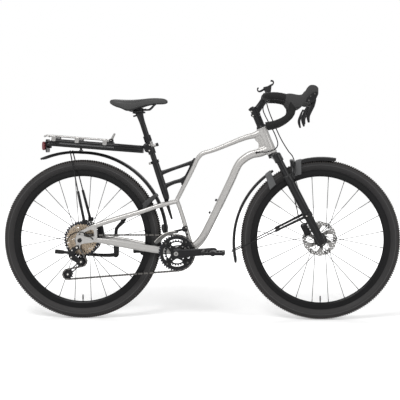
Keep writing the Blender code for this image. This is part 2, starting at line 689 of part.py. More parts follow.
def rack_clamp():
    """The clamp that holds the rack's nose to the seat post."""
    sleeve = bar(seat(RACK_SEAT), seat(RACK_SEAT + 0.045), 0.0175, 12)
    low_ring = bar(seat(RACK_SEAT - 0.042), seat(RACK_SEAT - 0.012), 0.0175, 12)
    block = plate([(-0.002, 0.004), (-0.002, -0.036), (0.012, -0.045), (0.038, -0.034), (0.040, 0.014), (0.020, 0.030)],
                  [], 0.034, basis(RACK_AHEAD, RACK_UP, RACK_FRONT + RACK_AHEAD * (0.0021 + CLEAR)))
    knob = bar(seat(RACK_SEAT - 0.012, 0.010), seat(RACK_SEAT - 0.009, 0.040), 0.008, 8)
    return carved(joined(sleeve, low_ring, block, knob),
                  bar(seat(RACK_SEAT - 0.072), seat(RACK_SEAT + 0.078), flat(POST_RADIUS + CLEAR, 12), 12))


def rack_rails():
    """The two luggage rails and the three bridges under them."""
    body = []
    for hand in (-1, 1):
        body.append(rod([rack(0.165, 0.006, hand * 0.045), rack(0.172, RAIL_RISE, hand * 0.045),
                         rack(RACK_LENGTH + 0.027, RAIL_RISE, hand * 0.045), rack(RACK_LENGTH + 0.037, 0.005, hand * 0.045)],
                        RAIL_RADIUS, 6, Y))
    for along in RAIL_BRIDGES:
        body.append(swept([(rack(along, 0.0055, -0.050), 0.012, 0.0105), (rack(along, 0.0055, 0.050), 0.012, 0.0105)],
                          4, 4.0, X))
    return joined(*body)


def rack_lever():
    """The quick release lever that stands on the rack."""
    base = disc(0.007, -0.006, 0.006, RACK_LEVER_AT, 10)
    blade = swept([(RACK_LEVER_AT, 0.010, 0.009), (RACK_LEVER_AT + side(0.009, 0.018), 0.012, 0.006),
                   (RACK_LEVER_AT + side(0.016, 0.031), 0.013, 0.005)], 8, 3.0)
    return joined(base, blade)


def lever_base():
    """The fork on the rack that carries the lever."""
    cheeks = [swept([(RACK_LEVER_AT + side(0, -0.0085, hand * 0.0085), 0.004, 0.020),
                     (RACK_LEVER_AT + side(0, 0.0065, hand * 0.0085), 0.004, 0.014)], 8, 4.0)
              for hand in (-1, 1)]
    foot = plate([(-0.014, -0.012), (0.014, -0.012), (0.014, 0.012), (-0.014, 0.012)], [], 0.0060,
                 basis(RACK_AHEAD, Y, RACK_LEVER_AT - Z * 0.0112))
    return joined(foot, *cheeks)


def tail_lamp():
    """The red lamp on its bracket at the back of the rack."""
    return swept([(TAIL_AT + side(-0.002, 0, -0.042), 0.010, 0.034), (TAIL_AT + side(-0.0035, 0, -0.034), 0.016, 0.040),
                  (TAIL_AT + side(-0.0035, 0, 0.034), 0.016, 0.040), (TAIL_AT + side(-0.002, 0, 0.042), 0.010, 0.034)],
                 8, 3.0, X)


def lamp_bracket():
    """The upright plate between the rack and the lamp."""
    outline = [(-0.046, -0.030), (0.046, -0.030), (0.050, -0.022), (0.050, 0.026), (0.044, 0.034),
               (-0.044, 0.034), (-0.050, 0.026), (-0.050, -0.022)]
    sheet = plate(outline, [], 0.004, basis(Y, Z, TAIL_AT + side(0.0066 + CLEAR, 0)))
    boss = bar(TAIL_AT + side(0.006, -0.002), TAIL_AT + side(0.022, -0.002), 0.009, 8)
    return joined(sheet, boss)


# Fenders
def fender_radius(azimuth):
    """The rear fender's inner radius, which opens toward the tail."""
    return TYRE_RADIUS + FENDER_GAP + 0.009 * max(0.0, azimuth) / 90 + 0.014 * max(0.0, azimuth - 90) / 28


def fender(centre, arc, width, droop):
    """A rolled fender section carried along (azimuth, inner radius) pairs."""
    half, skin_depth = width / 2, FENDER_THICKNESS
    section = [(half, -droop), (half * 0.93, -droop * 0.15), (half * 0.58, skin_depth),
               (-half * 0.58, skin_depth), (-half * 0.93, -droop * 0.15), (-half, -droop),
               (-half + skin_depth, -droop), (-half * 0.93 + skin_depth, -droop * 0.15 - skin_depth * 0.6),
               (-half * 0.56, 0), (half * 0.56, 0), (half * 0.93 - skin_depth, -droop * 0.15 - skin_depth * 0.6),
               (half - skin_depth, -droop)]
    rings = [[centre + heading(azimuth) * (radius + up) + Y * y for y, up in section] for azimuth, radius in arc]
    return skin(rings)


def arc_of(start, end, steps, radius):
    """Evenly spread (azimuth, radius) pairs for a fender."""
    return [(start + (end - start) * i / steps, radius(start + (end - start) * i / steps)) for i in range(steps + 1)]


def rear_fender():
    """The long rear fender with its struts."""
    sheet = fender(REAR_AXLE, arc_of(4.4, 117.8, 14, fender_radius), FENDER_WIDTH, FENDER_DROOP)
    return joined(sheet, rear_fender_stay(-1), rear_fender_stay(1))


def rear_fender_stay(hand):
    """One pair of rear struts in a single bent rod, from the fender's edge to the seat stay."""
    top = REAR_AXLE + heading(97.5) * (fender_radius(97.5) - 0.0085) + Y * hand * (FENDER_WIDTH / 2 + 0.0010)
    foot = REAR_AXLE + side(0.020, 0.0775, hand * 0.072)
    upper = rod([top + Z * 0.010, top, top.lerp(foot, 0.5) + Y * hand * 0.002, foot], 0.0028, 6, Y)
    sleeve = swept([(top.lerp(foot, 0.55) + Y * hand * 0.002, 0.012, 0.012), (foot + side(-0.001, 0.010), 0.013, 0.013)], 8)
    lug = swept([(foot + side(0.002, 0.014), 0.012, 0.026), (foot + side(0.003, -0.004), 0.010, 0.022)], 8, 3.0)
    return joined(upper, sleeve, lug)


def nose_radius(azimuth):
    """The front fender's nose stands close over the tyre."""
    return TYRE_RADIUS + NOSE_GAP + 0.004 * (108.5 - azimuth) / 30


def tail_radius(azimuth):
    """The front fender's tail opens toward its lower end."""
    return TYRE_RADIUS + 0.0205 + 0.019 * (azimuth - 124.4) / 71


def end_cheeks(azimuth, radius, lean):
    """The cheeks that hang beside the tyre at a fender's end, tied over its top."""
    reach = FENDER_WIDTH / 2
    rings = []
    for angle in (azimuth, azimuth + lean):
        rings.append([FRONT_AXLE + heading(angle + (radius - r) * 60) * r + Y * y for y, r in (
            (-reach - 0.0025, radius - 0.062), (-reach - 0.0025, radius - 0.002), (-reach + 0.006, radius + 0.0045),
            (reach - 0.006, radius + 0.0045), (reach + 0.0025, radius - 0.002), (reach + 0.0025, radius - 0.062),
            (reach - 0.0008, radius - 0.062), (reach - 0.0008, radius - 0.0045), (reach - 0.009, radius + 0.0010),
            (-reach + 0.009, radius + 0.0010), (-reach + 0.0008, radius - 0.0045), (-reach + 0.0008, radius - 0.062))])
    return skin(rings)


def front_stays():
    """The wire from both leg clamps round the tail of the front fender."""
    reach = 0.034
    hook = 187.5
    back = FRONT_AXLE + heading(hook) * (tail_radius(hook) + FENDER_THICKNESS + STAY_WIRE + CLEAR)
    beside = FRONT_AXLE + heading(hook - 0.6) * (tail_radius(hook) - 0.010)
    clamp = leg(0.130, -0.006)
    half = [clamp + Y * 0.0855, leg(0.126, -0.045, 0.0845), beside.lerp(clamp, 0.5) + Y * 0.066,
            beside + side(0.050, 0.006, 0.045), beside + Y * (reach + 0.002), back + side(0.002, 0, reach - 0.003),
            back + Y * (reach - 0.014)]
    other = [Vector((p.x, -p.y, p.z)) for p in reversed(half)]
    return rod([*half, *other], STAY_WIRE, 6, Y)


def leg_band(hand):
    """The band round a fork leg that holds a stay's end."""
    low, high = leg(0.121, 0, hand * LEG_SPACING / 2), leg(0.139, 0, hand * LEG_SPACING / 2)
    ring = swept([(low, 0.041, 0.0445), (high, 0.042, 0.0452)], 10, 2.2)
    lug = bar(leg(0.130, -0.006, hand * 0.080), leg(0.130, -0.006, hand * 0.0875), 0.005, 8)
    return carved(joined(ring, lug), fork_leg(hand, 2 * CLEAR))


# Fork
def fork_leg(hand, grow=0.0):
    """One lower leg."""
    half = LEG_SPACING / 2
    route = [(leg(LEG_TOP, 0, hand * half), 0.042, 0.042), (leg(LEG_TOP - 0.022, 0, hand * half), 0.042, 0.042),
             (leg(0.190, 0, hand * half), 0.038, 0.040),
             (leg(0.095, 0, hand * (half - 0.001)), 0.034, 0.038), (leg(0.025, 0, hand * (half - 0.002)), 0.026, 0.036),
             (leg(-0.010, 0, hand * (half - 0.002)), 0.026, 0.032),
             (leg(-0.017, 0, hand * (half - 0.002)), 0.022, 0.020)]
    return swept([(place, width + grow, depth + grow) for place, width, depth in route], 10, 2.2)


def fork_lowers():
    """Both lower legs and the arch between them, bored for the stanchions and the axle."""
    over = TYRE_RADIUS + ARCH_GAP
    arch = [(leg(over - 0.080, 0.006, -LEG_SPACING / 2), 0.020, 0.018), (leg(over - 0.043, 0.034, -0.062), 0.017, 0.014),
            (leg(over - 0.014, 0.046, -0.044), 0.018, 0.014), (leg(over, 0.050, -0.020), 0.019, 0.015)]
    arch += [(Vector((c.x, -c.y, c.z)), w, d) for c, w, d in reversed(arch)]
    bridge = swept(arch, 8, 3.0, X)
    body = joined(fork_leg(-1), fork_leg(1), bridge)
    bores = [bar(leg(LEG_TOP - 0.127, 0, hand * LEG_SPACING / 2), leg(LEG_TOP + 0.010, 0, hand * LEG_SPACING / 2),
                 STANCHION_RADIUS + CLEAR, 10) for hand in (-1, 1)]
    return carved(body, *bores, disc(flat(AXLE_RADIUS + CLEAR, 10), -0.1, 0.1, FRONT_AXLE, 10))


def fork_crown():
    """The steerer, the crown and the two stanchions."""
    steerer = turned([(0, -0.020), (0.0225, -0.020), (0.0225, -0.0008), (STEERER_RADIUS, -0.0008),
                      (STEERER_RADIUS, STEERER_TOP), (0, STEERER_TOP)], HEAD_LOW, HEAD_UP, 12)
    half = [(leg(CROWN_AT + 0.0165, -0.012), 0.032, 0.030), (leg(CROWN_AT + 0.014, -0.008, 0.030), 0.032, 0.029),
            (leg(CROWN_AT + 0.005, -0.001, 0.054), 0.036, 0.031), (leg(CROWN_AT, 0, LEG_SPACING / 2), 0.040, 0.033),
            (leg(CROWN_AT, 0, 0.083), 0.032, 0.026)]
    route = [(Vector((c.x, -c.y, c.z)), w, d) for c, w, d in reversed(half[1:])] + half
    crown = swept(route, 8, 2.8, LEG_FRONT)
    tubes = [bar(leg(LEG_TOP - 0.082, 0, hand * LEG_SPACING / 2), leg(CROWN_AT + 0.020, 0, hand * LEG_SPACING / 2),
                 STANCHION_RADIUS, 10) for hand in (-1, 1)]
    return joined(crown, steerer, *tubes)


# Front end above the head tube
def headset_spacers():
    """The bearing cover and the stack of spacers on it."""
    inner, spacer, top = flat(STEERER_RADIUS + CLEAR, 12), 0.0180, COVER_HEIGHT + SPACER_HEIGHT - CLEAR
    profile = [(inner, 0), (HEAD_RADIUS, 0), (HEAD_RADIUS, 0.003), (spacer + 0.001, COVER_HEIGHT), (spacer, COVER_HEIGHT),
               (spacer, top), (inner, top)]
    return turned(profile, head(HEAD_LENGTH + CLEAR), HEAD_UP, 12, ring=True)


def stem():
    """The raked stem with its steerer clamp, its cap and its bar clamp."""
    half = STEM_CLAMP_HEIGHT / 2
    clamp = turned([(0, CLEAR - half), (0.0195, CLEAR - half), (0.0195, half), (0.0185, half + 0.001),
                    (0.0165, half + CAP_HEIGHT), (0, half + CAP_HEIGHT)], STEM_AT, HEAD_UP, 12)
    arm = swept([(STEM_AT + heading(STEM_RISE) * 0.005, 0.032, 0.035), (STEM_AT.lerp(BAR_AT, 0.5), 0.031, 0.032),
                 (BAR_AT - heading(STEM_RISE) * 0.005, 0.036, 0.034)], 8, 2.6)
    grip = disc(0.0215, -0.021, 0.021, BAR_AT, 12)
    return carved(joined(clamp, arm, grip),
                  bar(STEM_AT - HEAD_UP * 0.0401, head(STEERER_TOP + CLEAR), flat(STEERER_RADIUS + CLEAR, 12), 12),
                  disc(flat(BAR_CLAMP_RADIUS + CLEAR, 12), -0.040, 0.040, BAR_AT, 12))


def handlebar():
    """The bare middle of the bar, thicker where the stem grips it."""
    half = TAPE_START - CLEAR
    return turned([(0, -half), (BAR_RADIUS, -half), (BAR_RADIUS, -0.040), (BAR_CLAMP_RADIUS, -0.026),
                   (BAR_CLAMP_RADIUS, 0.026), (BAR_RADIUS, 0.040), (BAR_RADIUS, half), (0, half)], BAR_AT, Y, 12)


def bar_tape(hand, grow=0.0):
    """One taped drop, from the flat top round to the end of the drop."""
    drop = [(0, 0, 0.158), (0.003, 0, 0.177), (0.020, 0.0005, 0.197), (0.052, -0.001, 0.206),
            (0.085, -0.008, 0.2095), (0.106, -0.026, 0.211), (0.114, -0.052, 0.212), (0.109, -0.076, 0.213),
            (0.093, -0.096, 0.214), (0.066, -0.113, 0.215), (0.034, -0.124, 0.216), (0.000, -0.1305, 0.216)]
    across = 2 * (TAPE_RADIUS + grow)
    bend = refine([(BAR_AT + side(x, z, hand * y), across, across) for x, z, y in drop], 2)
    return swept([(BAR_AT + Y * hand * TAPE_START, across, across), *bend], 8, 2.0, None)


def brake_hood(hand):
    """The rubber hood on the bend of the bar, open below for both levers."""
    centre_y = hand * HOOD_Y
    stations = [(0.100, -0.050, 0.010, 0.024), (0.120, -0.056, 0.009, 0.031), (0.146, -0.056, 0.004, 0.035),
                (0.164, -0.046, 0.012, 0.033), (0.180, -0.034, 0.036, 0.031), (0.192, -0.030, 0.046, 0.029),
                (0.206, -0.026, 0.047, 0.028), (0.218, -0.014, 0.043, 0.026), (0.227, 0.004, 0.034, 0.018)]
    rings = []
    for along, low, high, width in stations:
        middle = BAR_AT + side(along, (low + high) / 2, centre_y - BAR_AT.y)
        rings.append([middle + side(0, up, across) for across, up in oval(width, high - low, 10, 2.6)])
    hood = skin(rings)
    slot = plate([(0.040, -0.060), (-0.048, -0.060), (-0.048, -0.022), (-0.024, -0.018), (-0.0135, 0.0095),
                  (0.012, 0.012), (0.040, 0.012)], [], BRAKE_SLOT, side_plane(centre_y, LEVER_PIVOT))
    pocket = plate([(-0.030, -0.066), (-0.064, -0.066), (-0.060, -0.033), (-0.038, -0.033)], [], SHIFT_POCKET,
                   side_plane(centre_y, LEVER_PIVOT))
    return carved(hood, slot, pocket, bar_tape(hand, CLEAR))


def brake_lever(hand):
    """The brake blade, hung in the hood's slot."""
    blade = [((0.000, 0.000), 0.0085, 0.014), ((-0.003, -0.016), 0.0085, 0.013), ((-0.015, -0.038), 0.010, 0.011),
             ((-0.025, -0.058), 0.013, 0.010), ((-0.032, -0.084), 0.014, 0.009), ((-0.0275, -0.110), 0.012, 0.0075)]
    root = disc(0.008, hand * HOOD_Y - 0.00435, hand * HOOD_Y + 0.00435, LEVER_PIVOT, 8)
    place = SHIFT_PIVOT + Y * hand * HOOD_Y
    boss = bar(place + X * (SHIFT_ROOT / 2 + CLEAR), place + X * 0.016, SHIFT_BOSS_RADIUS, 8)
    return joined(swept([(LEVER_PIVOT + side(x, z, hand * HOOD_Y), width, depth) for (x, z), width, depth in blade], 8, 2.6),
                  root, boss)


def shift_lever(hand):
    """The shift paddle behind the brake blade."""
    place = SHIFT_PIVOT + Y * hand * HOOD_Y
    route = [(side(0.000, 0.001), 0.008, 0.0075), (side(-0.006, -0.010, -hand * 0.001), 0.009, 0.008),
             (side(-0.012, -0.032, -hand * 0.004), 0.013, 0.006), (side(-0.021, -0.054, -hand * 0.006), 0.016, 0.006),
             (side(-0.013, -0.082, -hand * 0.005), 0.012, 0.005)]
    root = bar(place - X * SHIFT_ROOT / 2, place + X * SHIFT_ROOT / 2, SHIFT_BOSS_RADIUS + 0.0005, 8)
    return joined(swept([(place + offset, width, depth) for offset, width, depth in route], 8, 2.6), root)


def phone_holder():
    """The cradle over the bar: a tray, four hooks and two arms down to the bar."""
    right, up = heading(26.5), heading(116.5)
    place = BAR_AT + side(0.003, 0.0455)
    tray = plate([(-0.029, -0.034), (0.029, -0.034), (0.029, 0.034), (-0.029, 0.034)], [], 0.005,
                 basis(right, Y, place))
    body = []
    for along, across, turn in ((-0.031, -0.024, 1), (-0.031, 0.024, 1), (0.032, -0.024, -1), (0.032, 0.024, -1)):
        start = place + right * along + Y * across
        body.append(swept([(start - right * along * 0.2, 0.014, 0.005), (start, 0.014, 0.006),
                           (start + up * 0.020 + right * turn * 0.002, 0.012, 0.004)],
                          4, 4.0))
    for hand in (-1, 1):
        body.append(disc(0.0165, hand * 0.049 - 0.004, hand * 0.049 + 0.004, BAR_AT, 8))
        body.append(swept([(BAR_AT + side(0.002, 0.014, hand * 0.049), 0.008, 0.016),
                           (BAR_AT + side(0.010, 0.032, hand * 0.045), 0.008, 0.018),
                           (place + Y * hand * 0.030 - up * 0.001, 0.010, 0.020)], 4, 4.0))
    return carved(joined(tray, *body), disc(flat(BAR_RADIUS + CLEAR, 12), -0.1, 0.1, BAR_AT, 12))


# Wheels
def tyre(axle):
    """A tyre with flats round it, one of them on the ground."""
    half = TYRE_WIDTH / 2
    inner = TYRE_RADIUS - TYRE_DEPTH + CLEAR
    profile = [(inner, -0.0115), (TYRE_RADIUS - 0.0215, -half), (TYRE_RADIUS, -TREAD_HALF),
               (TYRE_RADIUS, TREAD_HALF), (TYRE_RADIUS - 0.0215, half), (inner, 0.0115)]
    flats = [(flat(radius, WHEEL_SEGMENTS), y) for radius, y in profile]
    return turned(flats, axle, Y, WHEEL_SEGMENTS, ring=True)


def rim(axle):
    """A rim with its valve at the bottom."""
    outer = TYRE_RADIUS - TYRE_DEPTH
    inner = outer - RIM_DEPTH
    half = RIM_WIDTH / 2
    profile = [(outer, -half), (inner, -0.0075), (inner, 0.0075), (outer, half)]
    hoop = turned([(flat(radius, WHEEL_SEGMENTS), y) for radius, y in profile], axle, Y, WHEEL_SEGMENTS, ring=True)
    valve = bar(axle - Z * (inner - VALVE_LENGTH), axle - Z * (inner + 0.004), 0.0032, 6)
    return joined(hoop, valve)


def laced_hub(axle, profile, flanges):
    """A hub with its two sides of crossed spokes."""
    rim_inside = TYRE_RADIUS - TYRE_DEPTH - RIM_DEPTH
    hub = turned(profile, axle, Y, 10, ring=True)
    spokes = []
    for number, flange_y in enumerate(flanges):
        for i in range(SPOKES_PER_SIDE):
            at_rim = 360 * (i + 0.25 + 0.5 * number) / SPOKES_PER_SIDE
            lean = 58 if i % 2 else -58
            tilt = 0.0013 if i % 2 else -0.0013
            start = axle + heading(at_rim + lean) * (FLANGE_RADIUS - 0.001) + Y * (flange_y + tilt)
            end = axle + heading(at_rim) * (rim_inside - 0.0006) + Y * math.copysign(0.0025, flange_y)
            spokes.append(bar(start, end, SPOKE_RADIUS, 3))
    return joined(hub, *spokes)


def front_hub():
    """The front hub and its spokes."""
    end, bore = FRONT_HUB_WIDTH / 2, flat(AXLE_RADIUS + CLEAR, 10)
    left, right = FRONT_FLANGES
    wide = FLANGE_THICKNESS / 2
    profile = [(bore, -end), (0.0095, -end), (0.0105, right - 0.008), (FLANGE_RADIUS + 0.003, right - wide),
               (FLANGE_RADIUS + 0.003, right + wide), (HUB_RADIUS, right + 0.010), (HUB_RADIUS, left - 0.010),
               (FLANGE_RADIUS + 0.003, left - wide), (FLANGE_RADIUS + 0.003, left + wide), (ROTOR_BOSS + 0.002, left + 0.008),
               (ROTOR_BOSS + 0.002, FRONT_ROTOR_Y - ROTOR_THICKNESS / 2 - CLEAR),
               (ROTOR_BOSS, FRONT_ROTOR_Y - ROTOR_THICKNESS / 2 - CLEAR), (ROTOR_BOSS, FRONT_ROTOR_Y + 0.003),
               (0.0095, end), (bore, end)]
    return laced_hub(FRONT_AXLE, profile, FRONT_FLANGES)


def rear_hub():
    """The rear hub and its spokes, with room for the cassette on the right."""
    end, bore = REAR_HUB_WIDTH / 2 - CLEAR, flat(AXLE_RADIUS + CLEAR, 10)
    left, right = REAR_FLANGES
    wide = FLANGE_THICKNESS / 2
    profile = [(bore, COG_INNER_END + CLEAR), (0.016, COG_INNER_END + CLEAR), (0.019, right - wide - 0.0005),
               (FLANGE_RADIUS + 0.003, right - wide), (FLANGE_RADIUS + 0.003, right + wide), (HUB_RADIUS + 0.002, right + 0.010),
               (HUB_RADIUS, left - 0.010), (FLANGE_RADIUS + 0.003, left - wide),
               (FLANGE_RADIUS + 0.003, left + wide), (ROTOR_BOSS + 0.002, left + 0.008),
               (ROTOR_BOSS + 0.002, REAR_ROTOR_Y - ROTOR_THICKNESS / 2 - CLEAR),
               (ROTOR_BOSS, REAR_ROTOR_Y - ROTOR_THICKNESS / 2 - CLEAR), (ROTOR_BOSS, REAR_ROTOR_Y + 0.003),
               (0.0105, end), (bore, end)]
    return laced_hub(REAR_AXLE, profile, REAR_FLANGES)


def rotor(axle, y):
    """A brake rotor with six arms and two rows of holes."""
    holes = [circle(flat(ROTOR_BOSS + CLEAR, 12), 12, (0, 0), math.pi / 12)]
    holes += [arc_slot(0.028, 0.0615, 60 * i, 21, 1) for i in range(6)]
    holes += [circle(0.0030, 4, tuple((heading(36 * i) * 0.0710).xz)) for i in range(10)]
    return plate(circle(ROTOR_RADIUS, 28), holes, ROTOR_THICKNESS, side_plane(y, axle))


def through_axle(axle, low, high, head_side):
    """A wheel axle with a round head on one side."""
    ends = [(0, low), (AXLE_RADIUS, low), (AXLE_RADIUS, high), (0, high)]
    if head_side < 0:
        ends[0:2] = [(0, low - 0.006), (0.007, low - 0.006), (0.0095, low - 0.004), (0.0095, low), (AXLE_RADIUS, low)]
    else:
        ends[2:4] = [(AXLE_RADIUS, high), (0.0095, high), (0.0095, high + 0.004), (0.007, high + 0.006), (0, high + 0.006)]
    return turned(ends, axle, Y, 10)


# Brakes
def front_caliper():
    """The front brake caliper behind the left leg, straddling the rotor."""
    middle = leg(0.066, -0.038, FRONT_ROTOR_Y + 0.003)
    body = swept([(middle - LEG_UP * 0.030, 0.026, 0.020), (middle - LEG_UP * 0.022, 0.034, 0.032),
                  (middle + LEG_UP * 0.022, 0.034, 0.032), (middle + LEG_UP * 0.030, 0.026, 0.022)], 8, 3.0)
    posts = [bar(middle + LEG_UP * rise + side(0, 0, 0.008), leg(0.066 + rise, -0.0150, 0.0620), 0.006, 8)
             for rise in (-0.020, 0.020)]
    gap = disc(ROTOR_RADIUS + 0.002, FRONT_ROTOR_Y - 0.0016, FRONT_ROTOR_Y + 0.0016, FRONT_AXLE, 36)
    return carved(joined(body, *posts), gap, fork_leg(1, 4 * CLEAR))


def rear_caliper():
    """The rear brake caliper inside the left stays, straddling the rotor."""
    middle = REAR_AXLE + side(0.0735, 0.031, REAR_ROTOR_Y - 0.001)
    up = heading(100)
    body = swept([(middle - up * 0.026, 0.024, 0.020), (middle - up * 0.019, 0.028, 0.028),
                  (middle + up * 0.017, 0.028, 0.028), (middle + up * 0.026, 0.022, 0.020)], 8, 3.0)
    gap = disc(ROTOR_RADIUS + 0.002, REAR_ROTOR_Y - 0.0016, REAR_ROTOR_Y + 0.0016, REAR_AXLE, 36)
    return carved(body, gap, chain_stay(1, 2 * CLEAR), seat_stay(1, 2 * CLEAR))


# Drive
def pitch_radius(teeth):
    """The radius at which a sprocket carries the chain's pins."""
    return CHAIN_PITCH / 2 / math.sin(math.pi / teeth)


def chain_wheels(cage_angle):
    """The four wheels the chain passes: centre, teeth, sense, distance from the centre plane."""
    tension = GUIDE_AT + heading(cage_angle) * CAGE_LENGTH
    return [(BRACKET, LARGE_RING_TEETH, 1, LARGE_RING_Y), (REAR_AXLE, COG_TEETH[0], 1, SMALLEST_COG_Y),
            (GUIDE_AT, PULLEY_TEETH, -1, SMALLEST_COG_Y), (tension, PULLEY_TEETH, 1, SMALLEST_COG_Y)]


def chain_runs(cage_angle):
    """The chain's path as arcs and straights, each with its length in links."""
    wheels = chain_wheels(cage_angle)
    tangents = []
    for (near, teeth, sense, y), (far, next_teeth, next_sense, next_y) in zip(wheels, wheels[1:] + wheels[:1]):
        offset = next_sense * pitch_radius(next_teeth) - sense * pitch_radius(teeth)
        span = far - near
        slope = math.atan2(span.z, span.x) - math.asin(offset / span.length)
        tangents.append((slope, math.sqrt(span.length ** 2 - offset ** 2) / CHAIN_PITCH))
    runs = []
    for i, (centre, teeth, sense, y) in enumerate(wheels):
        start, leave = tangents[i - 1][0], tangents[i][0]
        turn = (leave - start) * sense % (2 * math.pi)
        runs.append(("arc", turn * teeth / (2 * math.pi), start - sense * math.pi / 2, wheels[i]))
        runs.append(("straight", tangents[i][1], leave, wheels[i], wheels[(i + 1) % len(wheels)]))
    return runs


def cage_angle_for(links):
    """The cage angle at which the chain closes with a whole number of links."""
    low, high = 190.0, 270.0
    for _ in range(40):
        middle = (low + high) / 2
        if sum(run[1] for run in chain_runs(middle)) > links:
            low = middle
        else:
            high = middle
    return (low + high) / 2


def chain_place(runs, along):
    """The point of the chain's middle line so many links along, and its heading in radians."""
    along %= CHAIN_LINKS
    for run in runs:
        if along <= run[1] or run is runs[-1]:
            break
        along -= run[1]
    if run[0] == "arc":
        centre, teeth, sense, y = run[3]
        angle = run[2] + sense * along * 2 * math.pi / teeth
        radius = pitch_radius(teeth)
        return (centre + side(math.cos(angle) * radius, math.sin(angle) * radius, y), angle + sense * math.pi / 2)
    centre, teeth, sense, y = run[3]
    leave = run[2] - sense * math.pi / 2
    start = centre + side(math.cos(leave), math.sin(leave)) * pitch_radius(teeth)
    share = along / run[1]
    drift = y + (run[4][3] - y) * share
    return (start + side(math.cos(run[2]), math.sin(run[2]), 0) * along * CHAIN_PITCH + Y * drift, run[2])


def chain():
    """The whole chain as one closed ladder: two rows of plates with a roller at every pin."""
    runs = chain_runs(CAGE_ANGLE)
    mesh = bmesh.new()

    def knot(along, rise, y):
        place, angle = chain_place(runs, along)
        return mesh.verts.new(place + side(-math.sin(angle), math.cos(angle)) * rise * CHAIN_HALF_HEIGHT + Y * y)

    rows = []
    for link in range(CHAIN_LINKS):
        inside = CHAIN_GAP + (CHAIN_PLATE if link % 2 else 0)
        corners = [(ROLLER_SHARE, -1), (ROLLER_SHARE, 1), (1 - ROLLER_SHARE, 1), (1 - ROLLER_SHARE, -1)]
        rows.append([([knot(link + part, rise, hand * inside) for part, rise in corners],
                      knot(link + 0.5, 0, hand * (inside + CHAIN_PLATE))) for hand in (-1, 1)])
    for link, row in enumerate(rows):
        following = rows[(link + 1) % CHAIN_LINKS]
        for (near, ridge), (far, next_ridge) in zip(row, following):
            mesh.faces.new(near)
            for low, high in ((0, 3), (1, 2)):
                mesh.faces.new((near[low], near[high], ridge))
                mesh.faces.new((near[high], far[low], ridge))
                mesh.faces.new((ridge, far[low], next_ridge))
        (right, _), (left, _) = row
        (next_right, _), (next_left, _) = following
        mesh.faces.new((right[2], right[3], left[3], left[2]))
        mesh.faces.new((next_right[1], next_right[0], next_left[0], next_left[1]))
        mesh.faces.new((right[2], next_right[1], next_left[1], left[2]))
        mesh.faces.new((right[3], next_right[0], next_left[0], left[3]))
    return solid(mesh)


def wheel_phase(number):
    """The angle of one tooth of a wheel, midway between two of the chain's pins."""
    runs = chain_runs(CAGE_ANGLE)
    passed = sum(run[1] for run in runs[:number * 2])
    kind, turn, start, (centre, teeth, sense, y) = runs[number * 2]
    return start + sense * (math.ceil(passed) + 0.5 - passed) * 2 * math.pi / teeth


def teeth_outline(teeth, phase):
    """The outline of a toothed wheel that leaves room for the chain's rollers."""
    radius = pitch_radius(teeth)
    root = radius - CHAIN_HALF_HEIGHT - 0.0005
    tip = radius + 0.0028
    step = math.pi / teeth
    base = root * math.sin(step) - ROLLER_SHARE * CHAIN_PITCH * math.cos(step) - 0.0004
    outline = []
    for i in range(teeth):
        for level, half in ((root, -base), (tip, 0), (root, base)):
            angle = phase + 2 * step * i + half / level
            outline.append((level * math.cos(angle), level * math.sin(angle)))
    return outline


def zigzag(teeth):
    """A plain pointed outline for a sprocket that the chain isn't on."""
    radius = pitch_radius(teeth)
    return [tuple((heading(180 * i / teeth) * (radius + (0.0028 if i % 2 else -0.0042))).xz) for i in range(2 * teeth)]


def cassette():
    """All the sprockets on one core, smallest outside."""
    mesh = bmesh.new()

    def ring_at(points, y):
        return [mesh.verts.new(REAR_AXLE + side(x, z, y)) for x, z in points]

    def bridge(first, second):
        for i in range(len(first)):
            j = (i + 1) % len(first)
            mesh.faces.new((first[i], first[j], second[j], second[i]))

    def fill(outer, inner):
        edges = [mesh.edges.get((loop[i - 1], loop[i])) or mesh.edges.new((loop[i - 1], loop[i]))
                 for loop in (outer, inner) for i in range(len(loop))]
        bmesh.ops.triangle_fill(mesh, use_beauty=True, edges=edges)

    bore = circle(flat(AXLE_RADIUS + CLEAR, CORE_SIDES), CORE_SIDES)
    core = circle(CORE_RADIUS, CORE_SIDES)
    cap = circle(0.0105, CORE_SIDES)
    outer_end = CLEAR - REAR_HUB_WIDTH / 2
    first_bore = ring_at(bore, outer_end)
    last = ring_at(cap, outer_end)
    bridge(first_bore, last)
    for points, y in ((cap, -0.0675), (core, -0.0672)):
        following = ring_at(points, y)
        bridge(last, following)
        last = following
    for number, teeth in enumerate(COG_TEETH):
        y = SMALLEST_COG_Y + COG_SPACING * number
        outline = teeth_outline(teeth, wheel_phase(1)) if number == 0 else zigzag(teeth)
        front, back = [ring_at(core, y + part * COG_THICKNESS / 2) for part in (-1, 1)]
        front_edge, back_edge = [ring_at(outline, y + part * COG_THICKNESS / 2) for part in (-1, 1)]
        bridge(last, front)
        fill(front_edge, front)
        bridge(front_edge, back_edge)
        fill(back_edge, back)
        last = back
    end = ring_at(core, COG_INNER_END)
    bridge(last, end)
    last_bore = ring_at(bore, COG_INNER_END)
    bridge(end, last_bore)
    bridge(last_bore, first_bore)
    return solid(mesh)


def chainring(teeth, phase, y, inner, tabs):
    """A chainring with four bolt tabs inside it."""
    hole = []
    for i in range(4):
        middle = 45 + 90 * i
        for radius, angle in ((inner, middle - 32), (inner, middle - 14), (tabs, middle - 9), (tabs, middle + 9),
                              (inner, middle + 14)):
            hole.append(tuple((heading(angle + CRANK_ANGLE) * radius).xz))
    outline = zigzag(teeth) if phase is None else teeth_outline(teeth, phase)
    return plate(outline, [hole], RING_THICKNESS, side_plane(y, BRACKET))


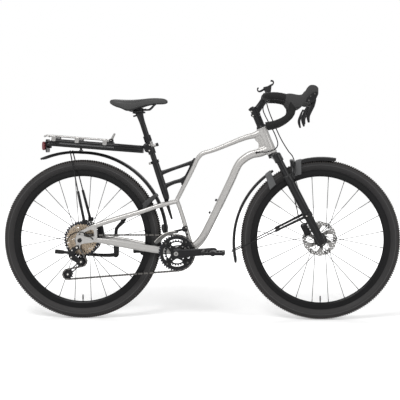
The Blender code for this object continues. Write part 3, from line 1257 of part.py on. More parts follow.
def chainrings():
    """Both chainrings, tied by the four bolts between them."""
    outer = chainring(LARGE_RING_TEETH, wheel_phase(0), LARGE_RING_Y, 0.062, 0.042)
    inner = chainring(SMALL_RING_TEETH, None, SMALL_RING_Y, 0.0475, 0.040)
    bolts = [disc(0.0042, LARGE_RING_Y, SMALL_RING_Y, BRACKET + heading(45 + 90 * i + CRANK_ANGLE) * 0.0455, 6)
             for i in range(4)]
    return joined(outer, inner, *bolts)


def crank_arm(hand, out):
    """One crank arm with the pin its pedal turns on."""
    end = BRACKET + out * CRANK_LENGTH
    arm = swept([(BRACKET - out * 0.019 + Y * hand * 0.0765, 0.016, 0.026), (BRACKET - out * 0.010 + Y * hand * 0.0765, 0.020, 0.042),
                 (BRACKET + out * 0.012 + Y * hand * 0.0770, 0.021, 0.041), (BRACKET + out * 0.050 + Y * hand * 0.0795, 0.016, 0.031),
                 (BRACKET + out * 0.130 + Y * hand * 0.0835, 0.0145, 0.027), (end + Y * hand * 0.0845, 0.014, 0.029),
                 (end + out * 0.014 + Y * hand * 0.0845, 0.012, 0.018)], 8, 3.0)
    pin = bar(end + Y * hand * 0.080, end + Y * hand * PEDAL_PIN_END, PEDAL_PIN, 8)
    return arm, pin


def crank_right():
    """The right crank: arm, four-armed spider and the spindle through the bracket."""
    hub = turned([(0, -0.0700), (0.020, -0.0700), (0.021, -0.058), (0.020, SPIDER_FACE), (SPINDLE_RADIUS, SPIDER_FACE),
                  (SPINDLE_RADIUS, SPINDLE_END), (0, SPINDLE_END)], BRACKET, Y, 12)
    outline = []
    for i in range(4):
        for turn, radius in ((-45, 0.024), (-17, 0.038), (-7, 0.064), (-3, 0.070), (3, 0.070), (7, 0.064), (17, 0.038)):
            outline.append(tuple((heading(45 + 90 * i + CRANK_ANGLE + turn) * radius).xz))
    spider = plate(outline, [], 0.006, side_plane(SPIDER_FACE - 0.003, BRACKET))
    arm, pin = crank_arm(-1, CRANK_OUT)
    return joined(arm, hub, pin, spider)


def crank_left():
    """The left crank, bored for the spindle."""
    arm, pin = crank_arm(1, -CRANK_OUT)
    collar = turned([(0, CUP_END + 0.0010), (0.0185, CUP_END + 0.0010), (0.019, 0.070), (0, 0.070)], BRACKET, Y, 12)
    return carved(joined(arm, collar, pin), disc(flat(SPINDLE_RADIUS + CLEAR, 12), -0.1, SPINDLE_END + CLEAR, BRACKET, 12))


def pedal(hand, out):
    """A flat platform pedal with open windows, bored for its pin."""
    centre = BRACKET + out * CRANK_LENGTH + Y * hand * PEDAL_CENTRE_Y
    long, wide = PEDAL_LENGTH / 2, PEDAL_WIDTH / 2
    outline = [(-long, -wide * 0.74), (-long * 0.82, -wide), (long * 0.82, -wide), (long, -wide * 0.74),
               (long, wide * 0.74), (long * 0.82, wide), (-long * 0.82, wide), (-long, wide * 0.74)]
    holes = [[(s * long * 0.24, -wide * 0.72), (s * long * 0.80, -wide * 0.72), (s * long * 0.84, wide * 0.72),
              (s * long * 0.24, wide * 0.72)] for s in (-1, 1)]
    platform = plate(outline, holes, PEDAL_HEIGHT - 0.006, basis(X, Y, centre))
    pads = [swept([(centre + side(s * (long - 0.008), 0, -wide * 0.70), 0.011, PEDAL_HEIGHT),
                   (centre + side(s * (long - 0.008), 0, wide * 0.70), 0.011, PEDAL_HEIGHT)], 4, 4.0, X)
            for s in (-1, 1)]
    barrel = disc(0.0115, centre.y - wide * 0.98, centre.y + wide * 0.98, centre, 8)
    collar = disc(0.0085, min(hand * PEDAL_INNER, centre.y), max(hand * PEDAL_INNER, centre.y), centre, 8)
    bore = disc(flat(PEDAL_PIN + CLEAR, 8), min(hand * PEDAL_INNER, hand * (PEDAL_PIN_END + CLEAR)) - (0.01 if hand > 0 else 0),
                max(hand * PEDAL_INNER, hand * (PEDAL_PIN_END + CLEAR)) + (0.01 if hand < 0 else 0), centre, 8)
    return carved(joined(platform, *pads, barrel, collar), bore)


def rear_derailleur():
    """The derailleur's hanger knuckle, its linkage body and the cage's knuckle."""
    hanger = REAR_AXLE + side(-0.010, -0.031, 0)
    upper = disc(0.0095, -0.0935, -(DROPOUT_Y + STAY_PLATE / 2 + CLEAR), hanger, 10)
    knuckle = disc(0.0125, -0.0830, CAGE_OUTER - 0.0008, GUIDE_AT, 10)
    link = swept([(hanger + side(-0.002, -0.002, -0.0865), 0.013, 0.016), (hanger + side(-0.022, -0.018, -0.0870), 0.0135, 0.026),
                  (hanger + side(-0.024, -0.040, -0.0825), 0.017, 0.027), (GUIDE_AT + side(-0.018, 0.008, -0.0765), 0.013, 0.024),
                  (GUIDE_AT + side(0.0, 0.000, -0.0755), 0.012, 0.018)], 8, 3.0)
    return carved(joined(link, upper, knuckle), disc(flat(CAGE_STUB + CLEAR, 8), CAGE_STUB_END - 0.0005, 0.0, GUIDE_AT, 8))


def derailleur_cage():
    """The cage: two plates tied by the pulleys' pins, with the stub it swings on."""
    far = CAGE_LENGTH
    holes = [[(0.020, -0.0045), (far - 0.022, -0.0045), (far - 0.022, 0.0045), (0.020, 0.0045)]]
    outline = [(-0.013, 0.0), (-0.009, 0.010), (0.004, 0.0125), (0.030, 0.009), (far - 0.022, 0.009), (far, 0.0125),
               (far + 0.010, 0.009), (far + 0.0125, 0.0), (far + 0.010, -0.009), (far, -0.0125), (far - 0.022, -0.009),
               (0.030, -0.009), (0.004, -0.0125), (-0.009, -0.010)]
    along = heading(CAGE_ANGLE)
    up = -ahead_of(along)
    sheets = [plate(outline, holes, CAGE_PLATE, basis(along, up, GUIDE_AT + Y * (SMALLEST_COG_Y + hand * (CAGE_HALF + CAGE_PLATE / 2))))
              for hand in (-1, 1)]
    pins = [disc(PULLEY_PIN, CAGE_OUTER + CAGE_PLATE / 2, CAGE_INNER - CAGE_PLATE / 2, place, 8)
            for place in (GUIDE_AT, TENSION_AT)]
    stub = disc(CAGE_STUB, CAGE_STUB_END, CAGE_OUTER + CAGE_PLATE / 2, GUIDE_AT, 8)
    return joined(*sheets, *pins, stub)


def pulley(number, centre):
    """A toothed pulley wheel."""
    bore = circle(flat(PULLEY_PIN + CLEAR, 8), 8)
    return plate(teeth_outline(PULLEY_TEETH, wheel_phase(number)), [bore], COG_THICKNESS,
                 side_plane(SMALLEST_COG_Y, centre))


def front_cage():
    """The front derailleur's cage over the big ring, on the sleeve it slides by."""
    outline = [tuple((heading(a) * r).xz) for a, r in ((88, 0.0885), (86, 0.096), (100, 0.1005), (118, 0.103), (136, 0.106),
                                                      (150, 0.111), (155, 0.113), (155, 0.099), (148, 0.0915),
                                                      (136, 0.0885), (112, 0.0885), (98, 0.0885))]
    sheets = [plate(outline, [], FRONT_CAGE_PLATE, side_plane(LARGE_RING_Y + hand * FRONT_CAGE_HALF, BRACKET)) for hand in (-1, 1)]
    ties = [swept([(BRACKET + heading(a) * r + Y * (LARGE_RING_Y - FRONT_CAGE_HALF), 0.010, 0.004),
                   (BRACKET + heading(a) * r + Y * (LARGE_RING_Y + FRONT_CAGE_HALF), 0.010, 0.004)], 4, 4.0, X)
            for a, r in ((95, 0.0965), (150, 0.107))]
    sleeve = disc(0.0065, LARGE_RING_Y - 0.002, -0.0380, FRONT_MECH_AT, 8)
    arm = swept([(FRONT_MECH_AT + Y * (LARGE_RING_Y + 0.006), 0.008, 0.010),
                 (BRACKET + heading(99) * 0.0965 + Y * (LARGE_RING_Y + FRONT_CAGE_HALF), 0.006, 0.010)], 4, 3.0)
    return carved(joined(*sheets, *ties, sleeve, arm), disc(flat(MECH_PIN + RUN, 8), -0.1, 0.0, FRONT_MECH_AT, 8))


def front_mech_mount():
    """The front derailleur's body on the seat tube, with its guide pin."""
    body = swept([(FRONT_MECH_AT + side(0.004, 0, -0.0105), 0.026, 0.030), (FRONT_MECH_AT + side(0.004, 0, -0.0175), 0.026, 0.030),
                  (FRONT_MECH_AT + side(0, 0, -0.0290), 0.020, 0.022)], 8, 3.0, X)
    pin = disc(MECH_PIN, -0.0500, -0.0200, FRONT_MECH_AT, 8)
    return carved(joined(body, pin), seat_tube(2 * CLEAR))


# Stand
def stand_bracket():
    """The kickstand's bracket between the left stays."""
    low = REAR_AXLE + side(0.1405, -0.0475, 0.0830)
    arm = swept([(REAR_AXLE + side(0.182, 0.100, 0.0700), 0.011, 0.026), (REAR_AXLE + side(0.170, 0.070, 0.0750), 0.010, 0.020),
                 (REAR_AXLE + side(0.1415, 0.036, 0.0790), 0.010, 0.016), (REAR_AXLE + side(0.1405, -0.020, 0.0810), 0.012, 0.018),
                 (low + side(0, 0.012), 0.018, 0.026), (low + side(0, -0.040), 0.016, 0.024)], 8, 3.0)
    seat_of_hub = bar(STAND_PIVOT - STAND_AXIS * (STAND_HUB_HALF + CLEAR), STAND_PIVOT + STAND_AXIS * 0.030,
                      flat(STAND_HUB_RADIUS + CLEAR, 12), 12)
    return carved(arm, seat_of_hub, seat_stay(1, 2 * CLEAR))


def stand_leg():
    """The kickstand's leg, folded back along the wheel."""
    hub = bar(STAND_PIVOT - STAND_AXIS * STAND_HUB_HALF, STAND_PIVOT + STAND_AXIS * STAND_HUB_HALF, STAND_HUB_RADIUS, 12)
    route = [(STAND_PIVOT, 0.011, 0.018), (STAND_PIVOT + side(-0.035, -0.004, 0.0025), 0.011, 0.017),
             (STAND_PIVOT + side(-0.100, -0.002, 0.0035), 0.010, 0.015), (STAND_PIVOT + side(-0.250, 0.010, 0.0015), 0.010, 0.014),
             (STAND_PIVOT + side(-0.262, 0.011, 0.0015), 0.013, 0.020), (STAND_PIVOT + side(-0.288, 0.013, 0.0010), 0.013, 0.020)]
    return joined(swept(route, 8, 2.4), hub)


# Hoses and housings
def cord(points, radius):
    """A hose through points, smoothed and closed at both ends."""
    curve = bpy.data.curves.new("cord", "CURVE")
    curve.dimensions = "3D"
    curve.bevel_depth = radius
    curve.bevel_resolution = CORD_SEGMENTS
    curve.use_fill_caps = True
    spaced = even_points([place for place, _, _ in refine([(p, 0, 0) for p in points], 12)],
                         CORD_STEP_RATIO * radius)
    spline = curve.splines.new("POLY")
    spline.points.add(len(spaced) - 1)
    for knot, place in zip(spline.points, spaced):
        knot.co = (*place, 1)
    shape = bpy.data.objects.new("cord", curve)
    bpy.context.collection.objects.link(shape)
    bpy.context.view_layer.update()
    data = bpy.data.meshes.new_from_object(shape)
    bpy.data.objects.remove(shape)
    mesh = bmesh.new()
    mesh.from_mesh(data)
    bmesh.ops.remove_doubles(mesh, verts=mesh.verts, dist=0.00001)
    return solid(mesh)


def even_points(places, step):
    """Points spread evenly along a run of points."""
    lengths = [0.0]
    for before, after in zip(places, places[1:]):
        lengths.append(lengths[-1] + (after - before).length)
    count = max(2, round(lengths[-1] / step))
    spaced = []
    for i in range(count + 1):
        wanted = lengths[-1] * i / count
        k = max(j for j, length in enumerate(lengths[:-1]) if length <= wanted + 1e-9)
        share = (wanted - lengths[k]) / (lengths[k + 1] - lengths[k])
        spaced.append(places[k].lerp(places[k + 1], min(1.0, share)))
    return spaced


CAGE_ANGLE = cage_angle_for(CHAIN_LINKS)
TENSION_AT = GUIDE_AT + heading(CAGE_ANGLE) * CAGE_LENGTH


def front_brake_hose():
    """From the left tape end, down before the head tube and the left leg to the front caliper."""
    return cord([BAR_AT + side(0.0010, -0.0150, TAPE_START - 2 * CLEAR), BAR_AT + side(0.004, -0.0200, 0.055),
                 BAR_AT + side(0.012, -0.050, 0.030), BAR_AT + side(0.028, -0.093, 0.020),
                 head(0.050, 0.062, 0.022), head(-0.018, 0.072, 0.034), leg(0.388, 0.064, 0.052),
                 leg(0.340, 0.052, 0.080), leg(0.290, 0.012, 0.0905), leg(0.230, -0.012, 0.0900),
                 leg(0.165, -0.030, 0.0830), leg(0.125, -0.041, 0.0640), leg(0.0985, -0.038, 0.050)], HOSE_RADIUS)


def rear_brake_hose():
    """From the right tape end, round the head tube's right side and into the down tube."""
    return cord([BAR_AT + side(-0.002, -0.0150, -(TAPE_START - 2 * CLEAR)),
                 BAR_AT + side(-0.003, -0.0210, -0.056), BAR_AT + side(-0.012, -0.055, -0.042),
                 head(0.140, 0.038, -0.030), head(0.080, 0.044, -0.032), head(0.030, 0.040, -0.036),
                 head(0.012, 0.018, -0.0435), head(0.014, -0.020, -0.0420),
                 HOSE_PORT + side(0.022, 0.003, -0.0125), HOSE_PORT], HOSE_RADIUS)


def mech_housing():
    """The loop of housing from the right chain stay's end to the rear derailleur."""
    return cord([REAR_AXLE + side(0.062, 0.004, -0.0818), REAR_AXLE + side(0.050, 0.016, -0.0850),
                 REAR_AXLE + side(0.012, 0.037, -0.0900), REAR_AXLE + side(-0.022, 0.034, -0.0920),
                 REAR_AXLE + side(-0.048, 0.012, -0.0920), REAR_AXLE + side(-0.057, -0.018, -0.0900),
                 REAR_AXLE + side(-0.052, -0.040, -0.0870), REAR_AXLE + side(-0.0460, -0.0490, -0.0855)], HOUSING_RADIUS)


def front_mech_cable():
    """The short cable from the mast's foot to the front derailleur."""
    return cord([JUNCTION + side(-0.0208, -0.0828, 0), JUNCTION + side(-0.0180, -0.0930, -0.001), JUNCTION + side(-0.011, -0.110, -0.007),
                 FRONT_MECH_AT + side(-0.006, 0.0255, -0.0190), FRONT_MECH_AT + side(0.000, 0.0125, -0.0255)], 0.0012)


def steering_and_wheels():
    """Everything that turns with the handlebar."""
    piece("fork_crown", fork_crown(), BLACK_PAINT, "steering")
    piece("headset_spacers", headset_spacers(), BLACK_ALLOY, "steering")
    piece("stem", stem(), BLACK_ALLOY, "steering")
    piece("handlebar", handlebar(), BLACK_ALLOY, "steering")
    piece("phone_holder", phone_holder(), DARK_PLASTIC, "steering")
    for hand, word in ((-1, "right"), (1, "left")):
        piece("bar_tape_" + word, bar_tape(hand), GRIP_TAPE, "steering")
        piece("brake_hood_" + word, brake_hood(hand), DARK_PLASTIC, "steering")
        piece("brake_lever_" + word, brake_lever(hand), BLACK_ALLOY, "brake_" + word)
        piece("shift_lever_" + word, shift_lever(hand), BLACK_ALLOY, "shift_" + word)
    piece("fork_lowers", fork_lowers(), BLACK_PAINT, "suspension")
    piece("front_caliper", front_caliper(), BLACK_ALLOY, "suspension")
    ends = FRONT_OUTER + CLEAR
    piece("front_axle", through_axle(FRONT_AXLE, -ends, FRONT_OUTER, -1), BLACK_ALLOY, "suspension")
    nose = joined(fender(FRONT_AXLE, arc_of(79, 108.7, 4, nose_radius), FENDER_WIDTH, FENDER_DROOP),
                  end_cheeks(103.5, nose_radius(105), 4.0))
    piece("front_fender_nose", nose, DARK_PLASTIC, "suspension")
    tail = joined(fender(FRONT_AXLE, arc_of(124.4, 195.4, 9, tail_radius), FENDER_WIDTH, FENDER_DROOP),
                  end_cheeks(126.0, tail_radius(128), 4.5))
    piece("front_fender_tail", tail, DARK_PLASTIC, "suspension")
    piece("front_fender_stays", joined(front_stays(), leg_band(-1), leg_band(1)), BLACK_ALLOY, "suspension")
    piece("front_brake_hose", front_brake_hose(), DARK_PLASTIC, "suspension")
    piece("front_tyre", tyre(FRONT_AXLE), TYRE_RUBBER, "front_wheel")
    piece("front_rim", rim(FRONT_AXLE), BLACK_ALLOY, "front_wheel")
    piece("front_hub", front_hub(), BLACK_ALLOY, "front_wheel")
    piece("front_rotor", rotor(FRONT_AXLE, FRONT_ROTOR_Y), BRIGHT_STEEL, "front_wheel")


def frame_and_seat():
    """Everything fixed to the frame."""
    piece("main_frame", main_frame(), SILVER)
    piece("seat_mast", seat_mast(), BLACK_PAINT)
    piece("bearing_cups", bearing_cups(), BLACK_ALLOY)
    piece("seat_post", joined(seat_post(), saddle_clamp()), BLACK_ALLOY)
    piece("saddle_rails", saddle_rails(), BRIGHT_STEEL)
    piece("saddle", saddle(), SADDLE_COVER)
    piece("rack_beam", rack_beam(), BLACK_PAINT)
    piece("rack_clamp", rack_clamp(), SILVER)
    piece("rack_rails", rack_rails(), SILVER)
    piece("rack_lever", rack_lever(), DARK_PLASTIC, "rack_lever_hinge")
    piece("tail_lamp", tail_lamp(), LAMP_RED)
    piece("rear_fender", rear_fender(), DARK_PLASTIC)
    piece("rear_caliper", rear_caliper(), BLACK_ALLOY)
    ends = DROPOUT_Y + STAY_PLATE / 2 + CLEAR
    piece("rear_axle", through_axle(REAR_AXLE, -ends, ends, -1), BLACK_ALLOY)
    piece("front_mech_mount", front_mech_mount(), BLACK_ALLOY)
    piece("stand_bracket", stand_bracket(), BLACK_ALLOY)
    piece("stand_leg", stand_leg(), BLACK_ALLOY, "stand")
    piece("rear_brake_hose", rear_brake_hose(), DARK_PLASTIC)
    piece("mech_housing", mech_housing(), DARK_PLASTIC)
    piece("front_mech_cable", front_mech_cable(), BRIGHT_STEEL)


def rear_wheel_and_drive():
    """The rear wheel, the cassette, the cranks, the chain and both derailleurs."""
    piece("rear_tyre", tyre(REAR_AXLE), TYRE_RUBBER, "rear_wheel")
    piece("rear_rim", rim(REAR_AXLE), BLACK_ALLOY, "rear_wheel")
    piece("rear_hub", rear_hub(), BLACK_ALLOY, "rear_wheel")
    piece("rear_rotor", rotor(REAR_AXLE, REAR_ROTOR_Y), BRIGHT_STEEL, "rear_wheel")
    piece("cassette", cassette(), COG_STEEL, "cassette_turn")
    piece("chainrings", chainrings(), BLACK_ALLOY, "crank")
    piece("crank_right", crank_right(), BLACK_ALLOY, "crank")
    piece("crank_left", crank_left(), BLACK_ALLOY, "crank")
    piece("pedal_right", pedal(-1, CRANK_OUT), BLACK_PAINT, "pedal_right_turn")
    piece("pedal_left", pedal(1, -CRANK_OUT), BLACK_PAINT, "pedal_left_turn")
    piece("chain", chain(), COG_STEEL)
    piece("rear_derailleur", rear_derailleur(), BLACK_ALLOY)
    piece("derailleur_cage", derailleur_cage(), BLACK_ALLOY, "cage")
    piece("guide_pulley", pulley(2, GUIDE_AT), DARK_PLASTIC, "guide_turn")
    piece("tension_pulley", pulley(3, TENSION_AT), DARK_PLASTIC, "tension_turn")
    piece("front_cage", front_cage(), BLACK_ALLOY, "front_mech")


def main():
    """Sets an empty on every joint and hangs the pieces on them."""
    pivot("frame", CENTRE)
    pivot("steering", HEAD_LOW, "frame")
    pivot("suspension", leg(LEG_TOP), "steering")
    pivot("front_wheel", FRONT_AXLE, "suspension")
    pivot("rear_wheel", REAR_AXLE, "frame")
    pivot("cassette_turn", REAR_AXLE, "frame")
    pivot("crank", BRACKET, "frame")
    pivot("pedal_right_turn", BRACKET + CRANK_OUT * CRANK_LENGTH, "crank")
    pivot("pedal_left_turn", BRACKET - CRANK_OUT * CRANK_LENGTH, "crank")
    pivot("cage", GUIDE_AT, "frame")
    pivot("guide_turn", GUIDE_AT, "frame")
    pivot("tension_turn", TENSION_AT, "cage")
    pivot("front_mech", FRONT_MECH_AT, "frame")
    pivot("stand", STAND_PIVOT, "frame")
    pivot("rack_lever_hinge", RACK_LEVER_AT, "frame")
    for hand, word in ((-1, "right"), (1, "left")):
        pivot("brake_" + word, LEVER_PIVOT + Y * hand * HOOD_Y, "steering")
        pivot("shift_" + word, SHIFT_PIVOT + Y * hand * HOOD_Y, "brake_" + word)
    frame_and_seat()
    steering_and_wheels()
    rear_wheel_and_drive()


if __name__ == "__main__":
    main()
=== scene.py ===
"""Dresses the packed gravel bike: fine meshes, procedural finishes, soft studio light and a camera.

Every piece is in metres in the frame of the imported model: +X ahead, +Y to the rider's left, +Z up,
with the origin on the ground midway between the wheels. Each piece rides on a body of the model.
"""
import logging
import math
from dataclasses import dataclass
from enum import Enum
from typing import Callable, Final, Iterable, Optional, Sequence

import bmesh
import bpy
from mathutils import Matrix, Vector

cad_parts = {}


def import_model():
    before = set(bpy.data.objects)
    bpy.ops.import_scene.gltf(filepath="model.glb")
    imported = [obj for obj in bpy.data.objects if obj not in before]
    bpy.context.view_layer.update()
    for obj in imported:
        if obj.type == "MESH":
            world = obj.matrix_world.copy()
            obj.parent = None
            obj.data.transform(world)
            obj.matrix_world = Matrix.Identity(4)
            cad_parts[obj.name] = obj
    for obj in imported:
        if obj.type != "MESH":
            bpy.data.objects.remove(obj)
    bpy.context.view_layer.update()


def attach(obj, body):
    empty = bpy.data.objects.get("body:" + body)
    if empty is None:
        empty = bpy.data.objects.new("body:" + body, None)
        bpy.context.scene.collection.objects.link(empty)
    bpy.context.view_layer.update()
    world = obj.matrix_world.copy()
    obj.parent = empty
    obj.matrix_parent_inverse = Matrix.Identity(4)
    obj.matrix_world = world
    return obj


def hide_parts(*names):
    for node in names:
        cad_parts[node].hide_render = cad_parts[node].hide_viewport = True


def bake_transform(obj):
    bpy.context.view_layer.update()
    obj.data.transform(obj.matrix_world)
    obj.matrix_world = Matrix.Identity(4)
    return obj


LOG = logging.getLogger("gravel_bike")

Station = tuple[Vector, float, float]
Pair = tuple[float, float]
Colour = tuple[float, float, float]

X: Final = Vector((1, 0, 0))
Y: Final = Vector((0, 1, 0))
Z: Final = Vector((0, 0, 1))


# Directions and places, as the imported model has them
def side(x: float, z: float, y: float = 0.0) -> Vector:
    """A point given in the side view, y to the left."""
    return Vector((x, y, z))


def heading(degrees: float) -> Vector:
    """A unit vector in the side view, raised from straight ahead."""
    return side(math.cos(math.radians(degrees)), math.sin(math.radians(degrees)))


def ahead_of(up: Vector) -> Vector:
    """The vector square to a sloping line that points ahead."""
    return side(up.z, -up.x)


def mirrored(place: Vector) -> Vector:
    """The same place on the other side of the bike."""
    return Vector((place.x, -place.y, place.z))


TYRE_RADIUS: Final = 0.362
REAR_AXLE: Final = side(-0.5425, TYRE_RADIUS)
FRONT_AXLE: Final = side(0.5425, TYRE_RADIUS)
BRACKET: Final = REAR_AXLE + side(math.sqrt(0.440 ** 2 - 0.058 ** 2), -0.058)
HEAD_UP: Final = heading(112.5)
HEAD_FRONT: Final = ahead_of(HEAD_UP)
LEG_UP: Final = heading(117.5)
LEG_FRONT: Final = ahead_of(LEG_UP)
SEAT_UP: Final = heading(108.0)
SEAT_FRONT: Final = ahead_of(SEAT_UP)
HEAD_LENGTH: Final = 0.125
HEAD_LOW: Final = FRONT_AXLE - HEAD_FRONT * 0.0516 + HEAD_UP * 0.4465
HEAD_HIGH: Final = HEAD_LOW + HEAD_UP * HEAD_LENGTH
SEAT_BASE: Final = BRACKET + side(0.0287, 0)
STEM_AT: Final = HEAD_HIGH + HEAD_UP * 0.075
STEM_LINE: Final = heading(54.0)
BAR_AT: Final = STEM_AT + STEM_LINE * 0.081
GUIDE_AT: Final = REAR_AXLE + side(0.0065, -0.0965)
RACK_AHEAD: Final = heading(-4.5)
RACK_UP: Final = -ahead_of(RACK_AHEAD)
RACK_FRONT: Final = SEAT_BASE + SEAT_UP * 0.5172 - SEAT_FRONT * 0.0255
RACK_LEVER_AT: Final = RACK_FRONT + side(-0.1505, 0.0245)
RACK_LENGTH: Final = 0.413
TAIL_AT: Final = RACK_FRONT - RACK_AHEAD * RACK_LENGTH + side(-0.0388, -0.0329)
MAST_TOP: Final = 0.427
POST_TOP: Final = 0.647
RAIL_CLAMP_AT: Final = SEAT_BASE + SEAT_UP * 0.6798 + SEAT_FRONT * 0.0031
LEVER_PIVOT: Final = BAR_AT + side(0.211, -0.005)
SHIFT_PIVOT: Final = LEVER_PIVOT + side(-0.033, -0.045)
FRONT_MECH_AT: Final = BRACKET + side(0.030, 0.106)
STAND_PIVOT: Final = REAR_AXLE + side(0.1375, -0.083, 0.0865)
JUNCTION: Final = BRACKET + side(-0.006, 0.230)
TOP_BEND: Final = BRACKET + side(0.104, 0.441)
CRANK_ANGLE: Final = 4.1
CRANK_OUT: Final = heading(CRANK_ANGLE)
DROPOUT_Y: Final = 0.0753
LEG_Y: Final = 0.066
LEG_TOP: Final = 0.327
CROWN_AT: Final = 0.418
HANDS: Final = ((-1, "right"), (1, "left"))


def leg(rise: float, front: float = 0.0, y: float = 0.0) -> Vector:
    """A point on the fork, measured up the leg from the front axle."""
    return FRONT_AXLE + LEG_UP * rise + LEG_FRONT * front + Y * y


def seat(rise: float, front: float = 0.0, y: float = 0.0) -> Vector:
    """A point measured up the seat line from the bottom bracket's height."""
    return SEAT_BASE + SEAT_UP * rise + SEAT_FRONT * front + Y * y


def head(rise: float, front: float = 0.0, y: float = 0.0) -> Vector:
    """A point measured up the steering axis from the head tube's foot."""
    return HEAD_LOW + HEAD_UP * rise + HEAD_FRONT * front + Y * y


def rack(along: float, up: float = 0.0, y: float = 0.0) -> Vector:
    """A point on the rack, measured back from the top of its front end."""
    return RACK_FRONT - RACK_AHEAD * along + RACK_UP * up + Y * y


def front_span(along: float, rise: float) -> Vector:
    """A point of the front triangle, as shares of the span from the bracket to the head tube."""
    span = HEAD_LOW - BRACKET
    return BRACKET + side(along * span.x, rise * span.z)


def at_angle(degrees: float, radius: float) -> Pair:
    """A point of a drawing in the side view, by its direction and its distance."""
    return tuple((heading(degrees) * radius).xz)


# Finishes
DUST_COLOUR: Final = (0.30, 0.28, 0.25, 1.0)
WHITE: Final = (1.0, 1.0, 1.0, 1.0)
BUMP_HEIGHT: Final = 0.0004
MIX_A: Final = 6
MIX_B: Final = 7
MIX_RESULT: Final = 2
RANDOM_LOW: Final = 2
RANDOM_HIGH: Final = 3
RANDOM_RESULT: Final = 1


def added(nodes: bpy.types.Nodes, kind: str, inputs: Optional[dict] = None,
          **settings: object) -> bpy.types.Node:
    """Adds a node to a tree.

    Args:
        nodes: The tree's nodes.
        kind: The kind of node.
        inputs: Values of its inputs, by name or number.
        settings: Its own settings, such as its operation.

    Returns:
        The new node.
    """
    node = nodes.new(kind)
    for key, value in settings.items():
        setattr(node, key, value)
    for key, value in (inputs or {}).items():
        node.inputs[key].default_value = value
    return node


def wired(links: bpy.types.NodeLinks, *runs: tuple) -> None:
    """Links sockets, each run given as a node, its output, a node and its input."""
    for near, out, far, into in runs:
        links.new(near.outputs[out], far.inputs[into])


class Pattern(Enum):
    """The kinds of fine surface that a finish can have."""

    GRAIN = "grain"
    BRUSHED = "brushed"
    PEBBLE = "pebble"
    WEAVE = "weave"


class PatternBook:
    """The shader groups that the finishes share, each built once."""

    def __init__(self) -> None:
        """Starts with no groups built."""
        self.built: dict[str, bpy.types.ShaderNodeTree] = {}

    def open_group(self, name: str, inputs: Sequence[tuple[str, str, float]],
                   outputs: Sequence[str]) -> bpy.types.ShaderNodeTree:
        """Makes an empty group with its sockets.

        Args:
            name: The group's name.
            inputs: Name, socket type and default of each input.
            outputs: Names of the value outputs.

        Returns:
            The new group, with an input node and an output node in it.
        """
        group = bpy.data.node_groups.new(name, "ShaderNodeTree")
        for label, kind, default in inputs:
            socket = group.interface.new_socket(label, in_out="INPUT", socket_type=kind)
            if kind == "NodeSocketFloat":
                socket.default_value = default
        for label in outputs:
            group.interface.new_socket(label, in_out="OUTPUT", socket_type="NodeSocketFloat")
        group.nodes.new("NodeGroupInput")
        group.nodes.new("NodeGroupOutput")
        return group

    def surface(self, pattern: Pattern) -> bpy.types.ShaderNodeTree:
        """The group of one pattern, which puts out a height and a slow tone.

        Args:
            pattern: The kind of fine surface.

        Returns:
            The shader group.
        """
        if pattern.value in self.built:
            return self.built[pattern.value]
        group = self.open_group(
            "surface_" + pattern.value, [("Place", "NodeSocketVector", 0.0),
                                         ("Scale", "NodeSocketFloat", 400.0)], ["Height", "Tone"])
        nodes, links = group.nodes, group.links
        start, end = nodes["Group Input"], nodes["Group Output"]
        slow = added(nodes, "ShaderNodeTexNoise", {"Scale": 14.0, "Detail": 5.0})
        wired(links, (start, "Place", slow, "Vector"), (slow, "Fac", end, "Tone"))
        if pattern is Pattern.GRAIN:
            fine = added(nodes, "ShaderNodeTexNoise", {"Detail": 3.0})
            wired(links, (start, "Scale", fine, "Scale"), (start, "Place", fine, "Vector"),
                  (fine, "Fac", end, "Height"))
        elif pattern is Pattern.BRUSHED:
            stretch = added(nodes, "ShaderNodeMapping", {"Scale": (0.06, 1.0, 1.0)})
            fine = added(nodes, "ShaderNodeTexNoise", {"Detail": 2.0})
            wired(links, (start, "Place", stretch, "Vector"), (stretch, "Vector", fine, "Vector"),
                  (start, "Scale", fine, "Scale"), (fine, "Fac", end, "Height"))
        elif pattern is Pattern.PEBBLE:
            cells = added(nodes, "ShaderNodeTexVoronoi", feature="SMOOTH_F1")
            wired(links, (start, "Place", cells, "Vector"), (start, "Scale", cells, "Scale"),
                  (cells, "Distance", end, "Height"))
        else:
            both = added(nodes, "ShaderNodeMath", operation="MAXIMUM")
            for number, direction in enumerate(("X", "Z")):
                wave = added(nodes, "ShaderNodeTexWave", {"Distortion": 0.6}, bands_direction=direction)
                wired(links, (start, "Place", wave, "Vector"), (start, "Scale", wave, "Scale"),
                      (wave, "Fac", both, number))
            wired(links, (both, 0, end, "Height"))
        self.built[pattern.value] = group
        return group

    def dust(self) -> bpy.types.ShaderNodeTree:
        """The group that masks where dust settles: patches on faces that look up.

        Returns:
            The shader group.
        """
        if "dust" in self.built:
            return self.built["dust"]
        group = self.open_group(
            "settled_dust", [("Place", "NodeSocketVector", 0.0), ("Normal", "NodeSocketVector", 0.0),
                             ("Amount", "NodeSocketFloat", 0.1)], ["Mask"])
        nodes, links = group.nodes, group.links
        start, end = nodes["Group Input"], nodes["Group Output"]
        split = nodes.new("ShaderNodeSeparateXYZ")
        lift = added(nodes, "ShaderNodeMapRange", {"From Min": -0.6})
        patches = added(nodes, "ShaderNodeTexNoise", {"Scale": 40.0, "Detail": 6.0})
        first, second = [added(nodes, "ShaderNodeMath", operation="MULTIPLY") for _ in range(2)]
        wired(links, (start, "Normal", split, 0), (split, "Z", lift, "Value"),
              (start, "Place", patches, "Vector"), (lift, "Result", first, 0), (patches, "Fac", first, 1),
              (first, 0, second, 0), (start, "Amount", second, 1), (second, 0, end, "Mask"))
        self.built["dust"] = group
        return group


PATTERNS: Final = PatternBook()


